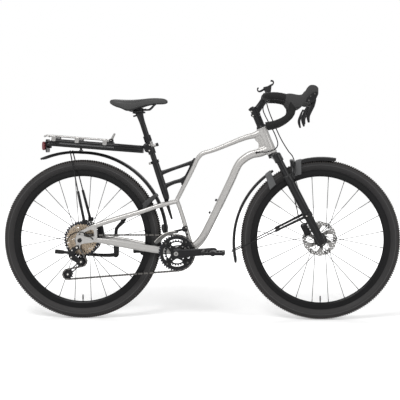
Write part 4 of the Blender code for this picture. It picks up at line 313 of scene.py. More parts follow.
@dataclass(frozen=True)
class Finish:
    """One finish of the bike: its colours, gloss, fine surface and how much dust lies on it."""

    name: str
    slot: str
    colour: Colour
    shade: Colour
    roughness: float
    metallic: float = 0.0
    pattern: Pattern = Pattern.GRAIN
    scale: float = 500.0
    depth: float = 0.1
    swing: float = 0.1
    coat: float = 0.0
    coat_roughness: float = 0.15
    sheen: float = 0.0
    dust: float = 0.05
    specular: float = 0.5

    def material(self) -> bpy.types.Material:
        """The finish's node material, built the first time it is asked for.

        Returns:
            The material.
        """
        ready = bpy.data.materials.get(self.name)
        if ready:
            return ready
        material = bpy.data.materials.new(self.name)
        material.use_nodes = True
        material.diffuse_color = (*self.colour, 1.0)
        nodes, links = material.node_tree.nodes, material.node_tree.links
        shader = nodes["Principled BSDF"]
        place = nodes.new("ShaderNodeTexCoord")
        shape = nodes.new("ShaderNodeNewGeometry")
        surface = added(
            nodes, "ShaderNodeGroup", {"Scale": self.scale}, node_tree=PATTERNS.surface(self.pattern))
        dust = added(nodes, "ShaderNodeGroup", {"Amount": self.dust}, node_tree=PATTERNS.dust())
        tone = added(nodes, "ShaderNodeMix", {MIX_A: (*self.shade, 1.0), MIX_B: (*self.colour, 1.0)},
                     data_type="RGBA")
        settled = added(nodes, "ShaderNodeMix", {MIX_B: DUST_COLOUR}, data_type="RGBA")
        gloss = added(nodes, "ShaderNodeMapRange", {"To Min": max(0.05, self.roughness - self.swing),
                                                    "To Max": min(1.0, self.roughness + self.swing)})
        bump = added(nodes, "ShaderNodeBump", {"Strength": self.depth, "Distance": BUMP_HEIGHT})
        wired(links, (place, "Object", surface, "Place"), (place, "Object", dust, "Place"),
              (shape, "Normal", dust, "Normal"), (surface, "Tone", tone, 0),
              (tone, MIX_RESULT, settled, MIX_A), (dust, "Mask", settled, 0),
              (settled, MIX_RESULT, shader, "Base Color"), (surface, "Tone", gloss, "Value"),
              (gloss, "Result", shader, "Roughness"), (surface, "Height", bump, "Height"),
              (bump, "Normal", shader, "Normal"))
        for key, value in (("Metallic", self.metallic), ("Coat Weight", self.coat),
                           ("Coat Roughness", self.coat_roughness), ("Sheen Weight", self.sheen),
                           ("Specular IOR Level", self.specular)):
            shader.inputs[key].default_value = value
        return material


SATIN_SILVER: Final = Finish(
    "satin_silver_paint", "silver_frame", (0.44, 0.430, 0.417), (0.38, 0.371, 0.360), 0.36, 0.45,
    scale=1400.0, depth=0.05, swing=0.05, coat=0.25, coat_roughness=0.25, dust=0.02)
SILVER_ALLOY: Final = Finish(
    "bare_silver_alloy", "silver_alloy", (0.34, 0.333, 0.325), (0.25, 0.245, 0.238), 0.38, 0.95,
    Pattern.BRUSHED, 1500.0, 0.08, 0.08, dust=0.02)
GLOSS_BLACK: Final = Finish(
    "gloss_black_paint", "black_paint", (0.0080, 0.0080, 0.0090), (0.0045, 0.0045, 0.0050), 0.30,
    scale=900.0, depth=0.02, swing=0.05, coat=0.30, coat_roughness=0.07, dust=0.01, specular=0.10)
BLACK_ALLOY: Final = Finish(
    "black_anodised_alloy", "black_alloy", (0.016, 0.016, 0.017), (0.009, 0.009, 0.010), 0.36, 0.35,
    Pattern.BRUSHED, 1300.0, 0.06, 0.08, coat=0.04, coat_roughness=0.25, dust=0.01, specular=0.20)
RIM_BLACK: Final = Finish(
    "satin_black_rim", "black_alloy", (0.0070, 0.0070, 0.0075), (0.0040, 0.0040, 0.0044), 0.30, 0.10,
    scale=700.0, depth=0.04, swing=0.07, coat=0.05, coat_roughness=0.20, dust=0.01, specular=0.12)
MOULDED: Final = Finish(
    "moulded_dark_plastic", "black_plastic", (0.011, 0.011, 0.012), (0.007, 0.007, 0.008), 0.42,
    scale=1600.0, depth=0.12, swing=0.08, dust=0.02, specular=0.20)
BRACKET_GREY: Final = Finish(
    "moulded_dark_bracket", "black_plastic", (0.038, 0.038, 0.039), (0.026, 0.026, 0.027), 0.50,
    scale=1500.0, depth=0.16, swing=0.08, dust=0.03, specular=0.3)
CHEEK_GREY: Final = Finish(
    "moulded_grey_cheek", "black_plastic", (0.095, 0.097, 0.099), (0.070, 0.071, 0.073), 0.50, scale=1500.0,
    depth=0.16, swing=0.08, dust=0.04)
HOSE: Final = Finish(
    "extruded_hose", "hose_black", (0.010, 0.010, 0.011), (0.006, 0.006, 0.007), 0.36, scale=900.0,
    depth=0.05, swing=0.06, dust=0.01, specular=0.15)
TREAD: Final = Finish(
    "tyre_tread", "tyre_rubber", (0.0075, 0.0070, 0.0070), (0.0040, 0.0038, 0.0038), 0.86, scale=900.0,
    depth=0.35, swing=0.08, dust=0.03, specular=0.15)
KNOB: Final = Finish(
    "tyre_knob_rubber", "tyre_rubber", (0.058, 0.052, 0.050), (0.040, 0.036, 0.035), 0.78, scale=900.0,
    depth=0.30, swing=0.08, dust=0.05, specular=0.25)
SIDEWALL: Final = Finish(
    "tyre_sidewall", "tyre_rubber", (0.024, 0.0228, 0.0232), (0.016, 0.0152, 0.0156), 0.62, 0.0,
    Pattern.WEAVE, 520.0, 0.10, 0.10, dust=0.03, specular=0.3)
SIDE_LINE: Final = Finish(
    "tyre_side_line", "tyre_rubber", (0.070, 0.068, 0.068), (0.048, 0.047, 0.047), 0.55, scale=900.0,
    depth=0.1)
TAPE: Final = Finish(
    "wound_bar_tape", "grip_tape", (0.015, 0.015, 0.015), (0.009, 0.009, 0.009), 0.72, 0.0, Pattern.PEBBLE,
    900.0, 0.35, 0.08, sheen=0.04, dust=0.01, specular=0.15)
HOOD: Final = Finish(
    "hood_rubber", "hood_rubber", (0.044, 0.044, 0.046), (0.028, 0.028, 0.030), 0.50, 0.0, Pattern.PEBBLE,
    620.0, 0.20, 0.08, sheen=0.06, dust=0.02, specular=0.4)
STEEL: Final = Finish(
    "bright_steel", "bright_steel", (0.45, 0.44, 0.43), (0.32, 0.312, 0.304), 0.26, 1.0, Pattern.BRUSHED,
    1600.0, 0.06, 0.08, dust=0.02)
GUIDE_STEEL: Final = Finish(
    "darkened_guide_steel", "bright_steel", (0.13, 0.127, 0.123), (0.075, 0.073, 0.071), 0.30, 0.9,
    Pattern.BRUSHED, 1600.0, 0.06, 0.08, dust=0.02)
ROTOR_STEEL: Final = Finish(
    "ground_rotor_steel", "bright_steel", (0.30, 0.294, 0.286), (0.17, 0.166, 0.162), 0.30, 1.0,
    Pattern.BRUSHED, 2400.0, 0.20, 0.10, dust=0.02)
COG_TAN: Final = Finish(
    "coated_cog_steel", "cog_steel", (0.36, 0.29, 0.215), (0.22, 0.178, 0.136), 0.28, 0.95, Pattern.BRUSHED,
    1500.0, 0.08, 0.08, dust=0.02)
COG_DARK: Final = Finish(
    "dark_cog_alloy", "cog_steel", (0.016, 0.017, 0.024), (0.009, 0.010, 0.014), 0.34, 0.60,
    Pattern.BRUSHED, 1500.0, 0.08, 0.08, dust=0.01)
CHAIN_SILVER: Final = Finish(
    "chain_outer_plates", "cog_steel", (0.13, 0.124, 0.118), (0.08, 0.076, 0.073), 0.34, 1.0,
    Pattern.BRUSHED, 1500.0, 0.08, 0.08, dust=0.02)
CHAIN_DARK: Final = Finish(
    "chain_inner_plates", "cog_steel", (0.018, 0.017, 0.0165), (0.010, 0.0095, 0.0095), 0.40, 0.8,
    Pattern.BRUSHED, 1500.0, 0.08, 0.08, dust=0.02)
SPOKE_DARK: Final = Finish(
    "dark_spokes", "black_alloy", (0.012, 0.012, 0.0125), (0.008, 0.008, 0.0085), 0.34, 0.20, scale=900.0,
    depth=0.03, swing=0.05, dust=0.02, specular=0.35)
RED_LENS: Final = Finish(
    "red_lens", "lamp_red", (0.17, 0.004, 0.010), (0.11, 0.003, 0.006), 0.18, scale=300.0, depth=0.10,
    swing=0.04, coat=0.6, coat_roughness=0.06, dust=0.01)
SADDLE_TOP: Final = Finish(
    "saddle_cover", "saddle_cover", (0.034, 0.034, 0.036), (0.022, 0.022, 0.024), 0.48, 0.0, Pattern.PEBBLE,
    800.0, 0.18, 0.07, sheen=0.08, dust=0.02, specular=0.4)
SADDLE_BASE: Final = Finish(
    "saddle_shell", "saddle_cover", (0.0090, 0.0090, 0.0100), (0.0060, 0.0060, 0.0065), 0.48, scale=1200.0,
    depth=0.12, dust=0.01, specular=0.35)
STITCH: Final = Finish(
    "saddle_thread", "saddle_cover", (0.060, 0.060, 0.062), (0.040, 0.040, 0.042), 0.70, scale=1500.0,
    depth=0.20)
FOOT_RUBBER: Final = Finish(
    "stand_foot_rubber", "black_plastic", (0.014, 0.014, 0.014), (0.009, 0.009, 0.009), 0.70, scale=900.0,
    depth=0.2, dust=0.05, specular=0.3)


# Mesh tools
def finished(shape: bmesh.types.BMesh, name: str = "shape") -> bpy.types.Mesh:
    """Turns a closed working mesh into mesh data with its faces pointing out.

    Args:
        shape: The working mesh, which is freed.
        name: The name of the data.

    Returns:
        The mesh data.
    """
    bmesh.ops.recalc_face_normals(shape, faces=shape.faces)
    if shape.calc_volume(signed=True) < 0:
        bmesh.ops.reverse_faces(shape, faces=shape.faces)
    data = bpy.data.meshes.new(name)
    shape.to_mesh(data)
    shape.free()
    return data


def oval(width: float, height: float, sides: int, power: float = 2.0) -> list[Pair]:
    """Points of a rounded section; a power over 2 squares it.

    Args:
        width: Size across.
        height: Size upward.
        sides: Number of points.
        power: Squareness.

    Returns:
        The points as (across, up).
    """
    points = []
    for i in range(sides):
        angle = 2 * math.pi * (i + 0.5) / sides
        across, up = math.cos(angle), math.sin(angle)
        points.append((math.copysign(abs(across) ** (2 / power), across) * width / 2,
                       math.copysign(abs(up) ** (2 / power), up) * height / 2))
    return points


def smooth_rows(rows: Sequence[Sequence[float]], steps: int) -> list[list[float]]:
    """Fills in a smooth run between rows of numbers.

    Args:
        rows: The rows to pass through.
        steps: Rows made for each gap.

    Returns:
        The filled run.
    """
    filled = []
    for i in range(len(rows) - 1):
        near = (rows[max(i - 1, 0)], rows[i], rows[i + 1], rows[min(i + 2, len(rows) - 1)])
        for k in range(steps):
            t = k / steps
            filled.append([b + (c - a) * t / 2 + (2 * a - 5 * b + 4 * c - d) * t * t / 2
                           + (3 * b - a - 3 * c + d) * t ** 3 / 2 for a, b, c, d in zip(*near)])
    filled.append(list(rows[-1]))
    return filled


def refine(stations: Sequence[Station], steps: int) -> list[Station]:
    """Fills in a smooth run of (centre, width, height) stations."""
    rows = [[*centre, width, height] for centre, width, height in stations]
    return [(Vector(row[:3]), row[3], row[4]) for row in smooth_rows(rows, steps)]


def skin(rings: Sequence[Sequence[Vector]], loop: bool = False) -> bpy.types.Mesh:
    """Bridges rings of points into a closed mesh, domed at its ends unless it loops.

    Args:
        rings: Rings with the same number of points.
        loop: Whether the last ring joins the first.

    Returns:
        The mesh data.
    """
    shape = bmesh.new()
    loops = [[shape.verts.new(point) for point in ring] for ring in rings]
    pairs = list(zip(loops, loops[1:]))
    if loop:
        pairs.append((loops[-1], loops[0]))
    for first, second in pairs:
        for i in range(len(first)):
            j = (i + 1) % len(first)
            shape.faces.new((first[i], first[j], second[j], second[i]))
    if not loop:
        shape.faces.new(list(reversed(loops[0])))
        shape.faces.new(loops[-1])
    return finished(shape)


DOME_ANGLES: Final = (0.35, 0.75, 1.15, 1.45)
DOME_TIP: Final = 0.0001
RIM_ANGLE: Final = 1.2


def swept(stations: Sequence[Station], sides: int = 28, power: float = 2.0, across: Optional[Vector] = Y,
          steps: int = 6, dome: float = 0.0) -> bpy.types.Mesh:
    """Lofts a rounded section through stations.

    Args:
        stations: Centre, width and height of the section at each place.
        sides: Points round the section.
        power: Squareness of the section.
        across: The section's width direction, or None to let it turn with the path.
        steps: Sections made for each gap.
        dome: How far the ends are rounded off, in metres.

    Returns:
        The mesh data.
    """
    filled = refine(stations, steps) if steps > 1 else list(stations)
    if dome:
        for end, inward in ((0, 1), (-1, -2)):
            centre, width, height = filled[end]
            outward = (centre - filled[inward][0]).normalized()
            caps = [(centre + outward * dome * math.sin(a), width * math.cos(a) + DOME_TIP,
                     height * math.cos(a) + DOME_TIP) for a in DOME_ANGLES]
            filled = list(reversed(caps)) + filled if end == 0 else filled + caps
    rings = []
    turning = across is None
    for i, (centre, width, height) in enumerate(filled):
        along = (filled[min(i + 1, len(filled) - 1)][0] - filled[max(i - 1, 0)][0]).normalized()
        if across is None:
            across = Z if abs(along.z) < abs(along.x) + abs(along.y) else X
        sideways = (across - along * across.dot(along)).normalized()
        upward = along.cross(sideways)
        if turning:
            across = sideways
        rings.append([centre + sideways * p + upward * q for p, q in oval(width, height, sides, power)])
    return skin(rings)


def about(base: Vector) -> Callable[[float, float, float], Vector]:
    """Places points by how far ahead of a base they are, how far above it and how far to the left."""
    return lambda x, z, y: base + side(x, z, y)


def placed(place: Callable[[float, float, float], Vector], *rows: Sequence[float]) -> list[Station]:
    """Stations of a loft, each row as the three numbers that place it, its width and its height."""
    return [(place(*row[:3]), row[3], row[4]) for row in rows]


def rod(points: Sequence[Vector], radius: float, sides: int = 16, across: Optional[Vector] = None,
        steps: int = 8, dome: float = 0.0) -> bpy.types.Mesh:
    """A round rod through points, smoothed."""
    return swept([(point, radius * 2, radius * 2) for point in points], sides, 2.0, across, steps, dome)


def turned(profile: Sequence[Pair], base: Vector, axis: Vector, sides: int = 64,
           ring: bool = False) -> bpy.types.Mesh:
    """Turns (radius, height) pairs about an axis.

    Args:
        profile: Radius and height of each corner.
        base: The point of height zero.
        axis: The axis.
        sides: Points round the turn.
        ring: Whether the last pair joins the first.

    Returns:
        The mesh data.
    """
    along = axis.normalized()
    reference = X if abs(along.y) > 0.9 else Y
    across = (reference - along * reference.dot(along)).normalized()
    upward = along.cross(across)
    shape = bmesh.new()
    loops = []
    for radius, height in profile:
        centre = base + along * height
        angles = [2 * math.pi * (i + 0.5) / sides for i in range(sides if radius else 1)]
        loops.append([shape.verts.new(centre + across * math.cos(a) * radius + upward * math.sin(a) * radius)
                      for a in angles])
    pairs = list(zip(loops, loops[1:]))
    if ring:
        pairs.append((loops[-1], loops[0]))
    for first, second in pairs:
        for i in range(sides):
            j = (i + 1) % sides
            corners = list(dict.fromkeys((first[i % len(first)], first[j % len(first)],
                                          second[j % len(second)], second[i % len(second)])))
            if len(corners) > 2:
                shape.faces.new(corners)
    if not ring:
        for loop in (loops[0], loops[-1]):
            if len(loop) > 1:
                shape.faces.new(loop)
    return finished(shape)


def eased(profile: Sequence[Pair], round_off: float, closed: bool = False) -> list[Pair]:
    """Cuts the corners of a profile twice, so that its edges catch the light.

    Args:
        profile: The corners.
        round_off: How far from a corner the cut starts.
        closed: Whether the profile is a ring.

    Returns:
        The profile with three points for each inner corner.
    """
    result: list[Pair] = []
    count = len(profile)
    for i, corner in enumerate(profile):
        if not closed and i in (0, count - 1):
            result.append(corner)
            continue
        here = Vector(corner)
        before, after = Vector(profile[i - 1]), Vector(profile[(i + 1) % count])
        back = min(round_off, (before - here).length * 0.45)
        on = min(round_off, (after - here).length * 0.45)
        first = here + (before - here).normalized() * back
        last = here + (after - here).normalized() * on
        middle = (first + last) / 4 + here / 2
        result += [tuple(first), tuple(middle), tuple(last)]
    return result


def bar(start: Vector, end: Vector, radius: float, sides: int = 32, edge: float = 0.0006) -> bpy.types.Mesh:
    """A round bar between two points with eased ends."""
    length = (end - start).length
    return turned(
        eased([(0, 0), (radius, 0), (radius, length), (0, length)], edge), start, end - start, sides)


def disc(radius: float, y_low: float, y_high: float, centre: Vector, sides: int = 40,
         edge: float = 0.0006) -> bpy.types.Mesh:
    """A round pin across the bike with eased ends."""
    return turned(eased([(0, y_low), (radius, y_low), (radius, y_high), (0, y_high)], edge),
                  side(centre.x, centre.z), Y, sides)


def hoop(inner: float, outer: float, low: float, high: float, base: Vector, axis: Vector, sides: int,
         edge: float = 0.0006) -> bpy.types.Mesh:
    """A ring of rectangular section about an axis, with eased edges."""
    corners = [(inner, low), (outer, low), (outer, high), (inner, high)]
    return turned(eased(corners, edge, True), base, axis, sides, ring=True)


def side_plane(y: float, centre: Vector = Vector((0, 0, 0))) -> Matrix:
    """Lays a drawing in the side view at a distance from the centre plane."""
    return Matrix.Translation(side(centre.x, centre.z, y)) @ Matrix(
        ((1, 0, 0, 0), (0, 0, 1, 0), (0, 1, 0, 0), (0, 0, 0, 1)))


def basis(right: Vector, up: Vector, centre: Vector) -> Matrix:
    """Lays a drawing with its right and up along two vectors."""
    return Matrix.Translation(centre) @ Matrix((right, up, right.cross(up))).transposed().to_4x4()


def plate(outline: Sequence[Pair], holes: Sequence[Sequence[Pair]], thickness: float, place: Matrix,
          edge: float = 0.0) -> bpy.types.Mesh:
    """A sheet with holes, cut to an outline.

    Args:
        outline: The outer corners.
        holes: The corners of each hole.
        thickness: The sheet's thickness.
        place: Where the drawing is laid.
        edge: Width of the bevel along the rims, or 0 for none.

    Returns:
        The mesh data.
    """
    shape = bmesh.new()
    edges = []
    for loop in (outline, *holes):
        corners = [shape.verts.new((x, y, -thickness / 2)) for x, y in loop]
        edges += [shape.edges.new((corners[i - 1], corners[i])) for i in range(len(corners))]
    filled = bmesh.ops.triangle_fill(shape, use_beauty=True, edges=edges)
    faces = [item for item in filled["geom"] if isinstance(item, bmesh.types.BMFace)]
    raised = bmesh.ops.extrude_face_region(shape, geom=faces)
    lifted = [item for item in raised["geom"] if isinstance(item, bmesh.types.BMVert)]
    bmesh.ops.translate(shape, verts=lifted, vec=(0, 0, thickness))
    if edge:
        bmesh.ops.recalc_face_normals(shape, faces=shape.faces)
        rims = [e for e in shape.edges if len(e.link_faces) == 2 and e.calc_face_angle(0.0) > RIM_ANGLE]
        bmesh.ops.bevel(
            shape, geom=rims, offset=edge, segments=2, profile=0.6, affect="EDGES", clamp_overlap=True)
    shape.transform(place)
    return finished(shape)


def circle(radius: float, sides: int, centre: Pair = (0.0, 0.0), start: float = 0.0) -> list[Pair]:
    """Points of a circle in a drawing."""
    return [(centre[0] + radius * math.cos(start + 2 * math.pi * i / sides),
             centre[1] + radius * math.sin(start + 2 * math.pi * i / sides)) for i in range(sides)]


def slot_outline(length: float, width: float, middle: Pair, turn: float = 0.0, ends: int = 7) -> list[Pair]:
    """The outline of a slot with round ends.

    Args:
        length: From end to end.
        width: Across the slot.
        middle: Its middle in the drawing.
        turn: Its direction in degrees.
        ends: Points round each end.

    Returns:
        The outline.
    """
    reach, radius, points = (length - width) / 2, width / 2, []
    for sign in (1, -1):
        for i in range(ends):
            angle = math.pi * i / (ends - 1) - math.pi / 2
            points.append((sign * (reach + radius * math.cos(angle)), sign * radius * math.sin(angle)))
    c, s = math.cos(math.radians(turn)), math.sin(math.radians(turn))
    return [(middle[0] + x * c - y * s, middle[1] + x * s + y * c) for x, y in points]


def temporary(data: bpy.types.Mesh) -> bpy.types.Object:
    """An object for working on a mesh, linked to the scene for a while.

    Args:
        data: The mesh.

    Returns:
        The working object.
    """
    body = bpy.data.objects.new("work", data)
    bpy.context.collection.objects.link(body)
    return body


def baked(body: bpy.types.Object) -> bpy.types.Mesh:
    """Applies an object's modifiers and removes the object.

    Args:
        body: The working object.

    Returns:
        The plain mesh that results.
    """
    bpy.context.view_layer.update()
    result = bpy.data.meshes.new_from_object(body.evaluated_get(bpy.context.evaluated_depsgraph_get()))
    bpy.data.objects.remove(body)
    return result


def gathered(meshes: Iterable[bpy.types.Mesh], finishes: Sequence[int] = ()) -> bpy.types.Mesh:
    """Puts several meshes into one, without joining their surfaces.

    Args:
        meshes: The meshes.
        finishes: The material slot of each mesh, or none for the first slot.

    Returns:
        One mesh.
    """
    shape = bmesh.new()
    for number, data in enumerate(meshes):
        before = len(shape.faces)
        shape.from_mesh(data)
        shape.faces.ensure_lookup_table()
        for face in shape.faces[before:]:
            face.material_index = finishes[number] if finishes else 0
    data = bpy.data.meshes.new("gathered")
    shape.to_mesh(data)
    shape.free()
    return data


def fused(meshes: Sequence[bpy.types.Mesh], voxel: float, rounds: int = 6,
          cutters: Sequence[bpy.types.Mesh] = ()) -> bpy.types.Mesh:
    """Makes one skin of overlapping meshes, with soft welds where they meet.

    Args:
        meshes: Closed meshes that overlap.
        voxel: The grid that the skin is made on, in metres.
        rounds: How many times the skin is smoothed.
        cutters: Closed meshes taken away from the result.

    Returns:
        The fused mesh.
    """
    body = temporary(gathered(meshes))
    tools = [temporary(cutter) for cutter in cutters]
    if tools:
        first = body.modifiers.new("first", "REMESH")
        first.mode = "VOXEL"
        first.voxel_size = voxel
    for tool in tools:
        cut = body.modifiers.new("cut", "BOOLEAN")
        cut.operation = "DIFFERENCE"
        cut.object = tool
    grid = body.modifiers.new("grid", "REMESH")
    grid.mode = "VOXEL"
    grid.voxel_size = voxel
    soft = body.modifiers.new("soft", "SMOOTH")
    soft.factor = 0.5
    soft.iterations = rounds
    result = baked(body)
    for tool in tools:
        bpy.data.objects.remove(tool)
    return result


def softened(node: str, voxel: float, rounds: int = 6) -> bpy.types.Mesh:
    """A node's own solid with its edges rounded over.

    Args:
        node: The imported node.
        voxel: The grid that the skin is made on, in metres.
        rounds: How many times the skin is smoothed.

    Returns:
        The softened mesh.
    """
    shape = bmesh.new()
    shape.from_mesh(bpy.data.objects[node].data)
    bmesh.ops.remove_doubles(shape, verts=shape.verts, dist=0.00001)
    data = bpy.data.meshes.new("softened")
    shape.to_mesh(data)
    shape.free()
    return fused([data], voxel, rounds)


# Repeats
@dataclass(frozen=True)
class Spot:
    """One place of a repeated shape: where it is, how it is turned and how it is stretched."""

    place: Vector
    turn: Matrix
    stretch: tuple[float, float, float] = (1.0, 1.0, 1.0)


class Repeater:
    """A Geometry Nodes tree that sets a small shape on every point of a layout."""

    def __init__(self) -> None:
        """Builds the tree with named inputs for its shape, size, variation, seed and finish."""
        tree = bpy.data.node_groups.new("repeat_on_points", "GeometryNodeTree")
        self.tree = tree
        self.sockets: dict[str, str] = {}
        for label, kind in (("Layout", "Geometry"), ("Shape", "Object"), ("Size", "Float"),
                            ("Variation", "Float"), ("Seed", "Int"), ("Finish", "Material")):
            socket = tree.interface.new_socket(label, in_out="INPUT", socket_type="NodeSocket" + kind)
            self.sockets[label] = socket.identifier
        tree.interface.new_socket("Result", in_out="OUTPUT", socket_type="NodeSocketGeometry")
        nodes = tree.nodes
        start, end = nodes.new("NodeGroupInput"), nodes.new("NodeGroupOutput")
        shape = nodes.new("GeometryNodeObjectInfo")
        place = nodes.new("GeometryNodeInstanceOnPoints")
        turn, stretch = [
            added(nodes, "GeometryNodeInputNamedAttribute", {"Name": name}, data_type="FLOAT_VECTOR")
            for name in ("turn", "stretch")]
        euler = nodes.new("FunctionNodeEulerToRotation")
        chance = added(nodes, "FunctionNodeRandomValue", {RANDOM_HIGH: 1.0})
        low = added(nodes, "ShaderNodeMath", {0: 1.0}, operation="SUBTRACT")
        size = added(nodes, "ShaderNodeMath", operation="MULTIPLY")
        grow = added(nodes, "ShaderNodeVectorMath", operation="SCALE")
        realize = nodes.new("GeometryNodeRealizeInstances")
        finish = nodes.new("GeometryNodeSetMaterial")
        wired(tree.links, (start, "Variation", low, 1), (low, 0, chance, RANDOM_LOW),
              (start, "Seed", chance, "Seed"), (chance, RANDOM_RESULT, size, 0), (start, "Size", size, 1),
              (stretch, "Attribute", grow, 0), (size, 0, grow, "Scale"), (start, "Layout", place, "Points"),
              (start, "Shape", shape, "Object"), (shape, "Geometry", place, "Instance"),
              (turn, "Attribute", euler, 0), (euler, 0, place, "Rotation"), (grow, 0, place, "Scale"),
              (place, "Instances", realize, "Geometry"), (realize, "Geometry", finish, "Geometry"),
              (start, "Finish", finish, "Material"), (finish, "Geometry", end, "Result"))

    def repeat(self, shape: bpy.types.Mesh, spots: Sequence[Spot], finish: Finish,
               size: float = 1.0, variation: float = 0.0, seed: int = 3) -> bpy.types.Mesh:
        """Sets a shape on every spot and bakes the result.

        Args:
            shape: The small shape, round its own origin.
            spots: Where the copies go.
            finish: The finish of the copies.
            size: The size of every copy.
            variation: How much smaller a copy may come out, as a share.
            seed: The seed of the variation.

        Returns:
            One plain mesh that holds every copy.
        """
        layout = bpy.data.meshes.new("layout")
        layout.from_pydata([spot.place for spot in spots], [], [])
        turns = layout.attributes.new("turn", "FLOAT_VECTOR", "POINT")
        stretches = layout.attributes.new("stretch", "FLOAT_VECTOR", "POINT")
        for i, spot in enumerate(spots):
            turns.data[i].vector = spot.turn.to_euler("XYZ")
            stretches.data[i].vector = spot.stretch
        body, sample = temporary(layout), temporary(shape)
        step = body.modifiers.new("repeat", "NODES")
        step.node_group = self.tree
        step[self.sockets["Shape"]] = sample
        step[self.sockets["Size"]] = size
        step[self.sockets["Variation"]] = variation
        step[self.sockets["Seed"]] = seed
        step[self.sockets["Finish"]] = finish.material()
        result = baked(body)
        bpy.data.objects.remove(sample)
        return result

    def dress(self, name: str, shape: bpy.types.Mesh, spots: Sequence[Spot], finish: Finish, body: str,
              nodes: Sequence[str] = ()) -> None:
        """Sets a shape on every spot and dresses the copies as one piece."""
        dressed(name, self.repeat(shape, spots, finish), (finish,), body, nodes)


def facing(axis: Vector, hint: Vector = Y) -> Matrix:
    """A turn that lays a shape's own Z along an axis and its X near a hint.

    Args:
        axis: Where the shape's Z goes.
        hint: The rough direction of the shape's X.

    Returns:
        The turn as a 3 by 3 matrix.
    """
    along = axis.normalized()
    if abs(along.dot(hint.normalized())) > 0.98:
        hint = X if abs(along.x) < 0.9 else Z
    across = (hint - along * hint.dot(along)).normalized()
    return Matrix((across, along.cross(across), along)).transposed()


def peg(radius: float = 1.0, length: float = 1.0, sides: int = 8, chamfer: float = 0.0) -> bpy.types.Mesh:
    """A small closed peg along Z, for repeats."""
    profile = [(0, 0), (radius, 0), (radius, length - chamfer), (radius - chamfer, length), (0, length)]
    return turned(
        profile if chamfer else profile[:2] + [(radius, length), (0, length)], Vector((0, 0, 0)), Z, sides)


def bolt_head(radius: float, height: float) -> bpy.types.Mesh:
    """A round bolt head with a hexagon socket, along Z.

    Args:
        radius: The head's radius.
        height: The head's height.

    Returns:
        The mesh data.
    """
    shape = bmesh.new()
    rows = ((radius, 0.0), (radius, height * 0.7), (radius * 0.86, height), (radius * 0.56, height),
            (radius * 0.50, height * 0.35))
    loops = []
    for r, z in rows:
        loops.append([shape.verts.new((r * math.cos(math.pi * i / 6), r * math.sin(math.pi * i / 6), z))
                      for i in range(12)])
    for first, second in zip(loops, loops[1:]):
        for i in range(12):
            j = (i + 1) % 12
            shape.faces.new((first[i], first[j], second[j], second[i]))
    shape.faces.new(list(reversed(loops[0])))
    shape.faces.new(loops[-1])
    return finished(shape)


def dressed(name: str, data: bpy.types.Mesh, finishes: Sequence[Finish], body: Optional[str],
            nodes: Sequence[str] = (), sharp: float = 40.0) -> bpy.types.Object:
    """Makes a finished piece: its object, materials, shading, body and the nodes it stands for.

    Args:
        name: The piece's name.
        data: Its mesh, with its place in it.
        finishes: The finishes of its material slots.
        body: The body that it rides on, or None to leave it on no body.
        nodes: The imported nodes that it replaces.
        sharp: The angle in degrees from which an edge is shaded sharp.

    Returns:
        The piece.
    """
    data.name = name
    kinds = [face.material_index for face in data.polygons]
    data.materials.clear()
    for finish in finishes:
        data.materials.append(finish.material())
    data.polygons.foreach_set("material_index", [min(kind, len(finishes) - 1) for kind in kinds])
    data.shade_smooth()
    data.set_sharp_from_angle(angle=math.radians(sharp))
    piece = bpy.data.objects.new(name, data)
    bpy.context.collection.objects.link(piece)
    if body:
        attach(piece, body)
    if nodes:
        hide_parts(*nodes)
    LOG.info("%s: %d faces on %s", name, len(data.polygons), body or "two bodies")
    return piece


